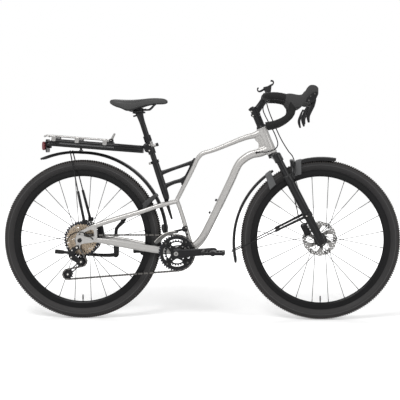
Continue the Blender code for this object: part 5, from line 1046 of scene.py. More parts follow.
# Wheels
@dataclass
class Wheel:
    """One wheel: tyre with tread blocks, deep rim, laced hub and wavy brake rotor."""

    word: str
    axle: Vector
    hub_profile: Sequence[Pair]
    flanges: Pair
    rotor_y: float
    repeater: Repeater
    segments: int = 192
    spokes_per_side: int = 12
    lugs: int = 216
    spoke_radius: float = 0.0014
    flange_radius: float = 0.026
    rim_inner: float = 0.2856
    rotor_radius: float = 0.0798
    rotor_thickness: float = 0.0018
    rotor_points: int = 288
    rotor_waves: int = 12
    wave: float = 0.0012
    side_line: Pair = (0.3384, 0.3399)
    tread_edge: float = 0.3535

    def round_at(self, angle: float, radius: float, y: float) -> Vector:
        """A point of the wheel by its angle, radius and distance from the middle."""
        return self.axle + heading(angle) * radius + Y * y

    def tyre(self) -> None:
        """Builds the carcass with its side line, then sets the tread blocks on it."""
        half = [(0.3150, 0.0108), (0.3190, 0.0136), (0.3245, 0.0182), (0.3310, 0.0218), (0.3385, 0.0236),
                (0.3398, 0.0237), (0.3450, 0.0233), (0.3500, 0.0218), (0.3536, 0.0190), (0.3560, 0.0152),
                (0.3575, 0.0108), (0.3584, 0.0060), (0.3588, 0.0)]
        profile = [(r, -y) for r, y in half] + [(r, y) for r, y in reversed(half[:-1])]
        carcass = turned(profile, self.axle, Y, self.segments, ring=True)
        for face in carcass.polygons:
            offset = face.center - self.axle
            radius, across = math.hypot(offset.x, offset.z), abs(offset.y)
            line = self.side_line[0] < radius < self.side_line[1] and across > 0.02
            face.material_index = 2 if line else (1 if radius < self.tread_edge else 0)
        block = turned([(0, 0), (0.707, 0), (0.60, 1.0), (0, 1.0)], Vector((0, 0, -0.4)), Z, 4)
        spots = []
        for radius, y, lean, along, across, tall, twist in (
                (0.3595, 0.0000, 0, 0.0060, 0.0050, 0.0040, 45),
                (0.3592, 0.0062, 8, 0.0052, 0.0046, 0.0042, 0),
                (0.3577, 0.0118, 22, 0.0056, 0.0050, 0.0050, 0),
                (0.3554, 0.0170, 48, 0.0054, 0.0068, 0.0052, 0),
                (0.3513, 0.0210, 74, 0.0050, 0.0060, 0.0026, 0)):
            for hand in (-1, 1) if y else (1,):
                for i in range(self.lugs):
                    angle = 360 * i / self.lugs
                    slope = math.radians(lean)
                    out = heading(angle) * math.cos(slope) + Y * hand * math.sin(slope)
                    tangent = ahead_of(heading(angle))
                    swing = Matrix.Rotation(math.radians(twist * hand), 3, "Z")
                    spots.append(Spot(self.round_at(angle, radius, hand * y), facing(out, tangent) @ swing,
                                      (along, across, tall)))
        dressed(self.word + "_tyre_skin", carcass, (TREAD, SIDEWALL, SIDE_LINE), self.word + "_wheel",
                (self.word + "_tyre",), sharp=60)
        self.repeater.dress(self.word + "_tread_blocks", block, spots, KNOB, self.word + "_wheel")

    def rim(self) -> None:
        """Builds the deep rim, with its valve at the bottom."""
        half = [(0.3172, 0.0118), (0.3140, 0.0122), (0.3060, 0.0116), (0.2970, 0.0102), (0.2900, 0.0080),
                (0.2864, 0.0046), (0.2858, 0.0)]
        profile = [(r, -y) for r, y in half] + [(r, y) for r, y in reversed(half[:-1])]
        profile += [(0.3172, 0.0104), (0.3120, 0.0094), (0.3120, -0.0094), (0.3172, -0.0104)]
        shell = turned(profile, self.axle, Y, self.segments, ring=True)
        down = Vector((0, 0, -1))
        stem = turned(
            eased([(0, 0.2560), (0.0026, 0.2560), (0.0031, 0.2650), (0.0031, 0.2790), (0.0021, 0.2800),
                   (0.0021, 0.2850), (0.0042, 0.2855), (0.0042, 0.2885), (0, 0.2885)], 0.0004), self.axle,
            down, 20)
        body = self.word + "_wheel"
        dressed(self.word + "_rim_hoop", shell, (RIM_BLACK,), body, (self.word + "_rim",), sharp=50)
        dressed(self.word + "_valve", stem, (BLACK_ALLOY,), body)

    def hub(self) -> None:
        """Builds the hub shell, then sets its spokes and nipples."""
        shell = turned(eased(self.hub_profile, 0.0008, closed=True), self.axle, Y, 72, ring=True)
        spokes, nipples = [], []
        for number, flange_y in enumerate(self.flanges):
            for i in range(self.spokes_per_side):
                at_rim = 360 * (i + 0.25 + 0.5 * number) / self.spokes_per_side
                lean, tilt = (58, 0.0013) if i % 2 else (-58, -0.0013)
                start = self.round_at(at_rim + lean, self.flange_radius - 0.001, flange_y + tilt)
                end = self.round_at(at_rim, self.rim_inner + 0.002, math.copysign(0.0025, flange_y))
                line = end - start
                spokes.append(Spot(start, facing(line), (self.spoke_radius, self.spoke_radius, line.length)))
                nipples.append(Spot(end - line.normalized() * 0.0135, facing(line), (0.0019, 0.0019, 0.0140)))
        body = self.word + "_wheel"
        dressed(self.word + "_hub_shell", shell, (BLACK_ALLOY,), body, (self.word + "_hub",))
        self.repeater.dress(self.word + "_spokes", peg(), spokes, SPOKE_DARK, body)
        self.repeater.dress(self.word + "_nipples", peg(), nipples, BLACK_ALLOY, body)

    def rotor(self) -> None:
        """Builds the rotor with its wavy edge, its two rows of holes and its swept arms, and its lockring."""
        outline = []
        for i in range(self.rotor_points):
            angle = 360 * i / self.rotor_points
            radius = self.rotor_radius - self.wave + self.wave * math.cos(
                math.radians(angle * self.rotor_waves))
            outline.append(at_angle(angle, radius))
        holes = [circle(0.0173, 36)]
        for i in range(6):
            window = []
            for t in range(9):
                window.append((0.0612, 60 * i - 19 + 38 * t / 8))
            for t in range(5):
                window.append((0.0560 - 0.0270 * t / 4, 60 * i + 19 + 17 * t / 4))
            for t in range(5):
                window.append((0.0282, 60 * i + 34 - 26 * t / 4))
            for t in range(5):
                window.append((0.0310 + 0.0270 * t / 4, 60 * i + 2 - 19 * t / 4))
            holes.append([at_angle(a, r) for r, a in window])
        for i in range(30):
            holes.append(circle(0.0019, 10, at_angle(12 * i + 3, 0.0738)))
            holes.append(circle(0.0019, 10, at_angle(12 * i + 9, 0.0668)))
        ring = plate(outline, holes, self.rotor_thickness, side_plane(self.rotor_y, self.axle))
        cap = turned(eased([(0.0095, 0.0012), (0.0165, 0.0012), (0.0150, 0.0032), (0.0100, 0.0036)], 0.0004,
                           closed=True), self.axle + Y * self.rotor_y, Y, 48, ring=True)
        body = self.word + "_wheel"
        dressed(self.word + "_rotor_disc", ring, (ROTOR_STEEL,), body, (self.word + "_rotor",), sharp=30)
        dressed(self.word + "_rotor_lockring", cap, (BLACK_ALLOY,), body)

    def build(self) -> None:
        """Builds the whole wheel."""
        self.tyre()
        self.rim()
        self.hub()
        self.rotor()


def front_hub_profile() -> list[Pair]:
    """The front hub shell as (radius, y) corners."""
    return [(0.0064, -0.050), (0.0095, -0.050), (0.0105, -0.041), (0.029, -0.0356), (0.029, -0.0304),
            (0.014, -0.023), (0.014, 0.012), (0.029, 0.0194), (0.029, 0.0246), (0.019, 0.030),
            (0.019, 0.0388), (0.017, 0.0388), (0.017, 0.043), (0.0095, 0.050), (0.0064, 0.050)]


def rear_hub_profile() -> list[Pair]:
    """The rear hub shell as (radius, y) corners."""
    return [(0.0064, -0.0202), (0.016, -0.0202), (0.019, -0.0196), (0.029, -0.0191), (0.029, -0.0139),
            (0.016, -0.0065), (0.014, 0.023), (0.029, 0.0304), (0.029, 0.0356), (0.019, 0.041),
            (0.019, 0.0518), (0.017, 0.0518), (0.017, 0.056), (0.0105, 0.0705), (0.0064, 0.0705)]


# Frame
@dataclass
class Frameset:
    """The welded silver frame with its dropouts, bracket cups, bosses and the black mast."""

    repeater: Repeater
    voxel: float = 0.0023
    mast_voxel: float = 0.0016
    plate_thickness: float = 0.008
    mast_radius: float = 0.0155

    def tubes(self) -> list[bpy.types.Mesh]:
        """Lofts every tube of the frame.

        Returns:
            The tubes as closed meshes that overlap at the joints.
        """
        down = [(head(0.022, -0.004), 0.040, 0.036), (head(0.022, -0.045), 0.042, 0.040),
                (front_span(0.781, 0.984), 0.043, 0.038), (front_span(0.697, 0.935), 0.043, 0.037),
                (front_span(0.637, 0.870), 0.044, 0.036), (front_span(0.548, 0.685), 0.045, 0.036),
                (front_span(0.352, 0.302), 0.045, 0.036), (front_span(0.265, 0.146), 0.046, 0.037),
                (front_span(0.186, 0.062), 0.051, 0.037), (front_span(0.1046, 0.0222), 0.056, 0.036),
                (BRACKET, 0.060, 0.034)]
        top = [(head(0.110, -0.002), 0.034, 0.036), (head(0.1055, -0.036), 0.034, 0.031),
               (front_span(0.695, 1.150), 0.034, 0.026), (front_span(0.411, 1.040), 0.033, 0.021),
               (BRACKET + side(0.124, 0.4525), 0.032, 0.021), (TOP_BEND, 0.031, 0.021),
               (BRACKET + side(0.0865, 0.418), 0.030, 0.021), (BRACKET + side(0.0655, 0.373), 0.029, 0.021),
               (JUNCTION + side(0.007, 0.016), 0.028, 0.020), (JUNCTION + side(-0.004, -0.008), 0.028, 0.018)]
        low = [(JUNCTION + side(0.002, 0.006), 0.028, 0.018), (JUNCTION + side(0.028, -0.070), 0.030, 0.020),
               (BRACKET + side(0.058, 0.036), 0.032, 0.022)]
        head_tube = turned(
            eased([(0, 0), (0.0240, 0), (0.0236, 0.014), (0.0220, 0.060), (0.0230, HEAD_LENGTH - 0.010),
                   (0.0235, HEAD_LENGTH), (0, HEAD_LENGTH)], 0.001), HEAD_LOW, HEAD_UP, 64)
        gusset = plate([(0, 0.010), (0, 0.112), (-0.050, 0.086), (-0.040, 0.066), (-0.046, 0.048),
                        (-0.070, 0.026)], [], 0.024, basis(HEAD_FRONT, HEAD_UP, HEAD_LOW))
        shell = disc(0.0225, -0.034, 0.034, BRACKET, 64, 0.001)
        meshes = [swept(down, 36, 2.8), swept(top, 36, 2.4), swept(low, 32, 2.4), head_tube, gusset, shell]
        for hand in (-1, 1):
            upper = [
                (JUNCTION + side(0.004, 0.001, hand * 0.009), 0.016, 0.019),
                (JUNCTION + side(-0.030, -0.007, hand * 0.0265), 0.015, 0.0195),
                (JUNCTION + side(-0.060, -0.0145, hand * 0.0405), 0.014, 0.0205),
                (JUNCTION + side(-0.095, -0.024, hand * 0.0435), 0.014, 0.0205),
                (JUNCTION + side(-0.160, -0.046, hand * 0.050), 0.014, 0.0205),
                (JUNCTION + side(-0.262, -0.076, hand * 0.061), 0.013, 0.0205),
                (REAR_AXLE + side(0.072, 0.066, hand * 0.0725), 0.010, 0.0200),
                (REAR_AXLE + side(0.046, 0.056, hand * DROPOUT_Y), 0.007, 0.018)]
            lower = [
                (BRACKET + side(0.004, 0.001, hand * 0.0242), 0.0145, 0.030),
                (BRACKET + side(-0.027, 0.005, hand * 0.0265), 0.013, 0.031),
                (BRACKET + side(-0.058, 0.0085, hand * 0.034), 0.012, 0.034),
                (BRACKET + side(-0.088, 0.0125, hand * 0.0375), 0.014, 0.034),
                (BRACKET + side(-0.153, 0.0225, hand * 0.045), 0.018, 0.033),
                (REAR_AXLE + side(0.165, -0.013, hand * 0.0605), 0.018, 0.031),
                (REAR_AXLE + side(0.066, 0.0015, hand * 0.0725), 0.011, 0.022),
                (REAR_AXLE + side(0.018, 0.002, hand * DROPOUT_Y), 0.007, 0.022)]
            meshes += [swept(upper, 24, 2.4), swept(lower, 28, 3.0)]
        return meshes

    def dropout(self, hand: int) -> bpy.types.Mesh:
        """One axle plate with its window and, on the drive side, the derailleur hanger.

        Args:
            hand: -1 for the right, 1 for the left.

        Returns:
            The bevelled plate.
        """
        outline = [(-0.018, -0.006), (-0.019, 0.010), (-0.013, 0.030), (-0.004, 0.040), (0.014, 0.047),
                   (0.044, 0.063), (0.066, 0.071), (0.076, 0.060), (0.080, 0.014), (0.060, -0.010),
                   (0.022, -0.014), (0.004, -0.019)]
        outline += ([(0.001, -0.036), (-0.012, -0.041), (-0.020, -0.030), (-0.016, -0.018)] if hand < 0
                    else [(-0.012, -0.016)])
        window = [
            (0.018, 0.020), (0.022, 0.036), (0.054, 0.050), (0.064, 0.044), (0.067, 0.018), (0.034, 0.014)]
        holes = [circle(0.0066, 32), eased(window, 0.005, True), circle(0.0026, 14, (-0.001, 0.028))]
        return plate(eased(outline, 0.004, True), holes, self.plate_thickness,
                     side_plane(hand * DROPOUT_Y, REAR_AXLE), 0.0009)

    def silver_frame(self) -> None:
        """Welds the tubes into one skin, and adds the dropouts, bosses, bolts, cups and head rings."""
        skin_mesh = fused(self.tubes(), self.voxel, 9)
        dressed("frame_tubes", skin_mesh, (SATIN_SILVER,), "frame", ("main_frame",), sharp=70)
        for hand, word in HANDS:
            dressed("dropout_" + word, self.dropout(hand), (SATIN_SILVER,), "frame")
        out = heading(152.8)
        boss = front_span(0.4067, 0.5236)
        places = [boss, boss - ahead_of(out) * 0.064]
        rings = gathered(
            [bar(place - out * 0.004, place + out * 0.0030, 0.0060, 28, 0.0008) for place in places])
        dressed("bottle_bosses", rings, (BLACK_ALLOY,), "frame")
        bolts = [Spot(place + out * 0.0028, facing(out)) for place in places]
        bolts += [
            Spot(BRACKET + side(-0.018, -0.0185, 0.012), facing(side(-0.5, -0.86))),
            Spot(side(-0.0690, 0.4058, -0.0148), facing(-Y)),
            Spot(side(-0.0625, 0.3853, -0.0152), facing(-Y)),
            Spot(REAR_AXLE + side(0.0, 0.0285, -0.0790), facing(-Y)),
            Spot(REAR_AXLE + side(-0.001, 0.0285, 0.0790), facing(Y))]
        self.repeater.dress("frame_bolts", bolt_head(0.0040, 0.0022), bolts, BLACK_ALLOY, "frame")
        cups = [hoop(0.0128, 0.0205, hand * 0.0395, hand * 0.0340, BRACKET, Y, 64) for hand in (-1, 1)]
        sleeve = turned([(0.0150, -0.0345), (0.0172, -0.0345), (0.0172, 0.0345), (0.0150, 0.0345)], BRACKET,
                        Y, 48, ring=True)
        dressed("bracket_cups", gathered([*cups, sleeve]), (BLACK_ALLOY,), "frame", ("bearing_cups",))
        head_rings = [hoop(0.0165, 0.0245, low, low + 0.0045, HEAD_LOW, HEAD_UP, 64, 0.0008)
                      for low in (-0.0004, HEAD_LENGTH - 0.0049)]
        dressed("head_tube_rings", gathered(head_rings), (SATIN_SILVER,), "frame")

    def mast(self) -> None:
        """Builds the black mast with its two braces, its collar and its bolt."""
        wide = self.mast_radius * 2
        tube = swept(
            [(seat(MAST_TOP), wide, wide), (seat(MAST_TOP - 0.100), wide, wide + 0.001),
             (seat(MAST_TOP - 0.165, -0.001), 0.029, 0.028), (JUNCTION + side(-0.047, 0.004), 0.024, 0.018),
             (JUNCTION + side(-0.034, -0.040), 0.018, 0.014),
             (JUNCTION + side(-0.021, -0.082), 0.012, 0.010)], 32, 2.3)
        high = swept(
            [(seat(MAST_TOP - 0.052, 0.002), 0.022, 0.034), (seat(MAST_TOP - 0.053, 0.020), 0.020, 0.021),
             (TOP_BEND + side(-0.128, -0.0635), 0.020, 0.0165),
             (TOP_BEND + side(-0.075, -0.0455), 0.018, 0.0165),
             (TOP_BEND + side(-0.025, -0.0285), 0.018, 0.021)], 24, 3.0)
        low = swept(
            [(seat(MAST_TOP - 0.118, 0.002), 0.022, 0.034), (seat(MAST_TOP - 0.114, 0.022), 0.020, 0.021),
             (TOP_BEND + side(-0.119, -0.1235), 0.019, 0.0180),
             (TOP_BEND + side(-0.092, -0.1165), 0.018, 0.020),
             (TOP_BEND + side(-0.066, -0.108), 0.018, 0.032)], 24, 3.0)
        strip = swept(
            placed(about(TOP_BEND), (-0.024, -0.014, 0, 0.018, 0.013), (-0.032, -0.032, 0, 0.018, 0.020),
                   (-0.0495, -0.070, 0, 0.018, 0.0185), (-0.076, -0.122, 0, 0.018, 0.020),
                   (-0.083, -0.138, 0, 0.018, 0.012)), 24, 3.0)
        dressed("mast_and_braces", fused([tube, high, low, strip], self.mast_voxel, 7), (GLOSS_BLACK,),
                "frame", ("seat_mast",), sharp=70)
        reach = self.mast_radius + 0.003
        collar = turned(
            eased([(0.0134, 0), (reach, 0), (reach, 0.0045), (reach - 0.0008, 0.0055), (reach, 0.0065),
                   (reach, 0.013), (0.0134, 0.013)], 0.0006, True), seat(MAST_TOP - 0.002), SEAT_UP, 64,
            ring=True)
        ear = swept(placed(seat, (MAST_TOP + 0.0045, -0.015, 0, 0.014, 0.011),
                           (MAST_TOP + 0.0045, -0.0285, 0, 0.012, 0.0095)), 24, 3.5, steps=1, dome=0.001)
        dressed("mast_collar", gathered([collar, ear]), (BLACK_ALLOY,), "frame")
        bolt = [Spot(seat(MAST_TOP + 0.0045, -0.0225, -0.0060), facing(-Y))]
        self.repeater.dress("collar_bolt", bolt_head(0.0034, 0.0030), bolt, STEEL, "frame")

    def build(self) -> None:
        """Builds the frame and the mast."""
        self.silver_frame()
        self.mast()


# Seat
@dataclass
class Seat:
    """The saddle with its cover, shell, stitching and rails, on its post and clamp."""

    repeater: Repeater
    rail_radius: float = 0.0035
    post_radius: float = 0.0129
    stitch_step: float = 0.0042
    stitch_lift: float = 0.0002
    stitch_size: tuple[float, float, float] = (0.00055, 0.00055, 0.0030)
    seam_point: int = 11
    shell_point: int = 21

    def section(self, top: float, edge: float, half: float, hollow: float) -> list[Pair]:
        """One half of the saddle's section, from its ridge round to the middle of its underside.

        Args:
            top: Height of the ridge.
            edge: Height of the lower edge.
            half: Half the width.
            hollow: How far the underside is drawn in.

        Returns:
            The points as (across, up).
        """
        drop = top - edge
        rough = [
            (0.0, top), (0.45, top - 0.015 * drop), (0.78, top - 0.09 * drop), (0.96, top - 0.28 * drop),
            (1.0, top - 0.50 * drop), (0.975, top - 0.80 * drop), (0.91, edge),
            (0.83, edge + 0.15 * hollow), (0.72, edge + 0.75 * hollow), (0.40, edge + hollow),
            (0.0, edge + hollow)]
        return [(across * half, z) for across, z in smooth_rows(rough, 4)]

    def saddle(self) -> None:
        """Lofts the crowned saddle, parts its cover from its shell and runs a seam along each side."""
        rows = [
            (-0.1298, 0.0385, 0.0325, 0.030, 0.002), (-0.1243, 0.045, 0.0275, 0.052, 0.004),
            (-0.1113, 0.048, 0.0195, 0.066, 0.009), (-0.0933, 0.048, 0.0115, 0.074, 0.015),
            (-0.0713, 0.047, 0.0045, 0.0755, 0.021), (-0.0473, 0.0465, -0.006, 0.0715, 0.029),
            (-0.0233, 0.047, -0.003, 0.061, 0.027), (0.0007, 0.0485, 0.0065, 0.047, 0.020),
            (0.0247, 0.051, 0.0155, 0.034, 0.013), (0.0487, 0.0535, 0.0215, 0.0265, 0.009),
            (0.0767, 0.0545, 0.0255, 0.0220, 0.007), (0.1087, 0.0527, 0.0265, 0.0192, 0.005),
            (0.1247, 0.048, 0.0295, 0.0145, 0.003), (0.1312, 0.0415, 0.0335, 0.008, 0.001)]
        filled = smooth_rows(rows, 6)
        rings, seams = [], []
        for x, top, edge, half, hollow in filled:
            points = self.section(top, edge, half, hollow)
            right = [RAIL_CLAMP_AT + side(x, z, -y) for y, z in points]
            left = [RAIL_CLAMP_AT + side(x, z, y) for y, z in reversed(points[1:-1])]
            rings.append(right + left)
            seams.append(points[self.seam_point])
        data = skin(rings)
        count = len(rings[0])
        for number, face in enumerate(data.polygons):
            place = number % count
            place = min(place, count - 1 - place)
            face.material_index = 1 if place >= self.shell_point or number >= count * (len(rings) - 1) else 0
        piece = dressed("saddle_body", data, (SADDLE_TOP, SADDLE_BASE), "frame", ("saddle",), sharp=60)
        spots = []
        for hand in (-1, 1):
            line = [RAIL_CLAMP_AT + side(row[0], z, hand * y) for row, (y, z) in zip(filled, seams)]
            travelled = 0.0
            for before, after in zip(line[6:-4], line[7:-3]):
                travelled += (after - before).length
                if travelled >= self.stitch_step:
                    travelled = 0.0
                    spots.append(Spot(before + (Z + Y * hand) * self.stitch_lift, facing(after - before),
                                      self.stitch_size))
        self.repeater.dress("saddle_stitches", peg(sides=6), spots, STITCH, "frame")

    def rails(self) -> None:
        """Bends the steel rails."""
        half = [(-0.0873, 0.0325, 0.035), (-0.0763, 0.0145, 0.032), (-0.0603, 0.003, 0.027),
                (-0.0373, 0, 0.0222), (0.0367, 0, 0.0205), (0.0527, 0.0045, 0.018), (0.0687, 0.0205, 0.012),
                (0.0817, 0.032, 0.008)]
        right = [RAIL_CLAMP_AT + side(x, z, -y) for x, z, y in half]
        wire = rod([*right, RAIL_CLAMP_AT + side(0.0867, 0.034), *[mirrored(p) for p in reversed(right)]],
                   self.rail_radius, 16, Z)
        dressed("saddle_rail_wire", wire, (BLACK_ALLOY,), "frame", ("saddle_rails",), sharp=60)

    def post(self) -> None:
        """Builds the post, its head and the two-part clamp with its bolts."""
        tube = bar(seat(MAST_TOP - 0.115), seat(POST_TOP - 0.004), self.post_radius, 56)
        neck = swept(
            [(seat(POST_TOP - 0.030), 0.0258, 0.0258), (seat(POST_TOP - 0.014), 0.029, 0.0275),
             (seat(POST_TOP + 0.006), 0.034, 0.032), (RAIL_CLAMP_AT - Z * 0.0100, 0.036, 0.038)], 36, 2.6)
        cradle = swept(
            placed(about(RAIL_CLAMP_AT), (-0.0235, -0.0065, 0, 0.050, 0.005),
                   (-0.018, -0.0075, 0, 0.054, 0.010), (0.014, -0.0075, 0, 0.054, 0.010),
                   (0.0195, -0.0065, 0, 0.050, 0.005)), 28, 4.0)
        lid = swept(
            placed(about(RAIL_CLAMP_AT), (-0.0215, 0.0040, 0, 0.056, 0.005),
                   (-0.017, 0.0048, 0, 0.060, 0.0085), (0.013, 0.0048, 0, 0.060, 0.0085),
                   (0.0180, 0.0040, 0, 0.056, 0.005)), 28, 4.0)
        lever = bar(RAIL_CLAMP_AT + side(0.012, -0.001), RAIL_CLAMP_AT + side(0.034, 0.003), 0.0040, 24)
        dressed("post_tube", gathered([tube, fused([neck, cradle], 0.0011, 4)]), (GLOSS_BLACK,), "frame",
                ("seat_post",), sharp=55)
        yoke = [swept(placed(about(RAIL_CLAMP_AT), (-0.0265, -0.0125, y, 0.010, 0.008),
                             (0.0, -0.0135, y, 0.013, 0.011), (0.0265, -0.0105, y, 0.010, 0.008)), 24, 3.0,
                      dome=0.001) for y in (-0.014, 0.014)]
        yoke.append(
            bar(RAIL_CLAMP_AT + side(-0.0265, -0.0290), RAIL_CLAMP_AT + side(-0.004, -0.0235), 0.0038, 24))
        dressed("rail_clamp_lid", gathered([lid, lever, *yoke]), (BLACK_ALLOY,), "frame", sharp=50)
        spots = [Spot(RAIL_CLAMP_AT + side(x, 0.0085), facing(Z)) for x in (-0.0165, 0.0130)]
        self.repeater.dress("rail_clamp_bolts", bolt_head(0.0042, 0.0032), spots, STEEL, "frame")

    def build(self) -> None:
        """Builds the seat."""
        self.saddle()
        self.rails()
        self.post()


# Rack
def fender_radius(azimuth: float) -> float:
    """The rear fender's inner radius, which opens toward the tail."""
    return TYRE_RADIUS + 0.028 + 0.009 * max(0.0, azimuth) / 90 + 0.014 * max(0.0, azimuth - 90) / 28


@dataclass
class Rack:
    """The box-beam rack: grooved beam, silver rails on blocks, clamp, quick lever and tail lamp."""

    repeater: Repeater
    width: float = 0.110
    height: float = 0.034
    rail_radius: float = 0.004
    rail_rise: float = 0.0125
    bridges: Sequence[float] = (0.172, 0.299, 0.405)

    def beam(self) -> None:
        """Builds the beam with its grooves and painted highlight strips in them, and the post down to the
        fender.
        """
        half, low, lip = self.width / 2, self.height, 0.006
        section = [(half - lip, 0.0), (half, -lip), (half, -0.011), (half - 0.008, -0.013),
                   (half - 0.008, -0.022), (half, -0.024), (half - 0.006, -low)]
        section = eased(section + [(-y, up) for y, up in reversed(section)], 0.0016, closed=True)
        rings = []
        nose = smooth_rows([(0.0, 0.42, 0.0), (0.020, 0.72, 0.0), (0.070, 1.0, 0.0)], 5)
        tail = [[0.14, 1.0, 0.0], [0.22, 1.0, 0.0], [0.30, 1.0, 0.004], [0.36, 1.0, 0.010],
                [RACK_LENGTH - 0.012, 1.0, 0.018], [RACK_LENGTH - 0.005, 0.985, 0.022],
                [RACK_LENGTH, 0.92, 0.024]]
        for along, narrow, slant in nose + tail:
            rings.append([rack(along + slant * (-up / low), up, y * min(narrow, 1.0)) for y, up in section])
        dressed("rack_box_beam", skin(rings), (GLOSS_BLACK,), "frame", ("rack_beam",), sharp=35)
        foot = REAR_AXLE + heading(91.2) * (fender_radius(91.2) + 0.0028)
        over = (RACK_FRONT.x - foot.x) / RACK_AHEAD.x
        post = gathered([bar(foot + Z * 0.002, rack(over, 0.004 - low), 0.0052, 28, 0.0008),
                         bar(foot, foot + Z * 0.004, 0.0095, 28, 0.001)])
        dressed("rack_fender_post", post, (BLACK_ALLOY,), "frame")
        # The grey strips in the side grooves are a painted highlight along the beam.
        groove_highlights = [plate(slot_outline(0.250, 0.0075, (0.0, 0.0)), [], 0.0012,
                        basis(RACK_AHEAD, RACK_UP, rack(0.255, -0.0175, hand * (half - 0.0080))))
                  for hand in (-1, 1)]
        dressed("rack_groove_strips", gathered(groove_highlights), (CHEEK_GREY,), "frame")

    def rails(self) -> None:
        """Builds the two rails on their three blocks."""
        tubes = []
        for hand in (-1, 1):
            y = hand * 0.045
            tubes.append(
                swept(placed(rack, (0.163, 0.004, y, 0.007, 0.007), (0.167, 0.0095, y, 0.0078, 0.0078),
                             (0.173, self.rail_rise, y, 0.008, 0.008),
                             (0.190, self.rail_rise, y, 0.008, 0.008),
                             (0.300, self.rail_rise, y, 0.008, 0.008),
                             (0.425, self.rail_rise, y, 0.008, 0.008),
                             (0.440, self.rail_rise - 0.0004, y, 0.008, 0.008),
                             (0.448, 0.0085, y, 0.0078, 0.0078), (0.4505, 0.005, y, 0.007, 0.007)), 20, 2.0,
                      Y, 5))
        blocks = [swept(placed(rack, (along, 0.0060, -0.0515, 0.012, 0.0115),
                               (along, 0.0060, 0.0515, 0.012, 0.0115)), 24, 5.0, X, 1, 0.0008)
                  for along in self.bridges]
        blocks += [
            swept(placed(rack, (along, 0.0125, hand * 0.0572, 0.0042, 0.014),
                         (along, 0.0090, hand * 0.0572, 0.0050, 0.019),
                         (along, -0.0070, hand * 0.0572, 0.0050, 0.020),
                         (along, -0.0105, hand * 0.0572, 0.0042, 0.015)), 24, 3.4, steps=3, dome=0.0008)
            for along in self.bridges for hand in (-1, 1)]
        dressed("rack_rail_tubes", gathered([*tubes, *blocks]), (SILVER_ALLOY,), "frame", ("rack_rails",),
                sharp=45)
        spots = [Spot(rack(along, 0.0116, hand * 0.030), facing(RACK_UP)) for along in self.bridges
                 for hand in (-1, 1)]
        self.repeater.dress("rack_block_screws", bolt_head(0.0030, 0.0016), spots, STEEL, "frame")

    def clamp(self) -> None:
        """Builds the clamp on the seat post, with its knob and bolts."""
        rings = [hoop(0.0134, 0.0175, low, high, SEAT_BASE, SEAT_UP, 56, 0.0010)
                 for low, high in ((0.512, 0.5255), (0.5275, 0.557), (0.470, 0.500))]
        block = swept(
            [(RACK_FRONT + RACK_AHEAD * 0.0035 - RACK_UP * 0.014, 0.040, 0.034),
             (RACK_FRONT + RACK_AHEAD * 0.014 - RACK_UP * 0.009, 0.034, 0.046),
             (RACK_FRONT + RACK_AHEAD * 0.026 - RACK_UP * 0.006, 0.032, 0.052),
             (RACK_FRONT + RACK_AHEAD * 0.038 - RACK_UP * 0.008, 0.026, 0.040)], 32, 4.0)
        hole = bar(seat(0.44), seat(0.59), 0.0135, 48)
        body = fused([block, bar(seat(0.503, 0.010), seat(0.5032, 0.030), 0.0070, 32)], 0.0011, 4, [hole])
        knob = bar(seat(0.5032, 0.028), seat(0.5040, 0.0395), 0.0078, 32, 0.0016)
        data = gathered([*rings, body])
        for face in data.polygons:
            offset = face.center - SEAT_BASE
            ahead, rise = offset.dot(SEAT_FRONT), offset.dot(SEAT_UP)
            face.material_index = 0 if ahead > 0.0085 and 0.488 < rise < 0.530 else 1
        dressed("rack_post_clamp", data, (SILVER_ALLOY, BLACK_ALLOY), "frame", ("rack_clamp",), sharp=50)
        dressed("rack_clamp_knob", knob, (BLACK_ALLOY,), "frame")
        spots = [Spot(RACK_FRONT + RACK_AHEAD * 0.028 - RACK_UP * rise + Y * hand * 0.0150, facing(Y * hand))
                 for rise in (-0.006, 0.020) for hand in (-1, 1)]
        self.repeater.dress("rack_clamp_bolts", bolt_head(0.0040, 0.0030), spots, STEEL, "frame")

    def lever(self) -> None:
        """Builds the quick lever and the fork it turns in."""
        blade = swept(
            placed(about(RACK_LEVER_AT), (0, 0, 0, 0.010, 0.012), (0.009, 0.018, 0, 0.012, 0.0105),
                   (0.016, 0.031, 0, 0.013, 0.0090)), 24, 3.0, dome=0.0015)
        hub = disc(0.0068, -0.0058, 0.0058, RACK_LEVER_AT, 36, 0.0008)
        dressed("rack_quick_lever", fused([blade, hub], 0.0007, 4), (SILVER_ALLOY,), "rack_lever_arm",
                ("rack_lever",), sharp=60)
        cheeks = [swept(placed(about(RACK_LEVER_AT), (0, -0.0085, hand * 0.0085, 0.004, 0.020),
                               (0, 0.0040, hand * 0.0085, 0.004, 0.0165),
                               (0, 0.0075, hand * 0.0085, 0.0036, 0.010)), 24, 4.0) for hand in (-1, 1)]
        foot = plate(
            eased([(-0.014, -0.012), (0.014, -0.012), (0.014, 0.012), (-0.014, 0.012)], 0.003, True), [],
            0.0060, basis(RACK_AHEAD, Y, RACK_LEVER_AT - Z * 0.0112), 0.0010)
        pin = disc(0.0024, -0.0115, 0.0115, RACK_LEVER_AT, 20, 0.0004)
        dressed("rack_lever_fork", gathered([foot, *cheeks]), (BLACK_ALLOY,), "frame", sharp=50)
        dressed("rack_lever_pin", pin, (STEEL,), "frame")

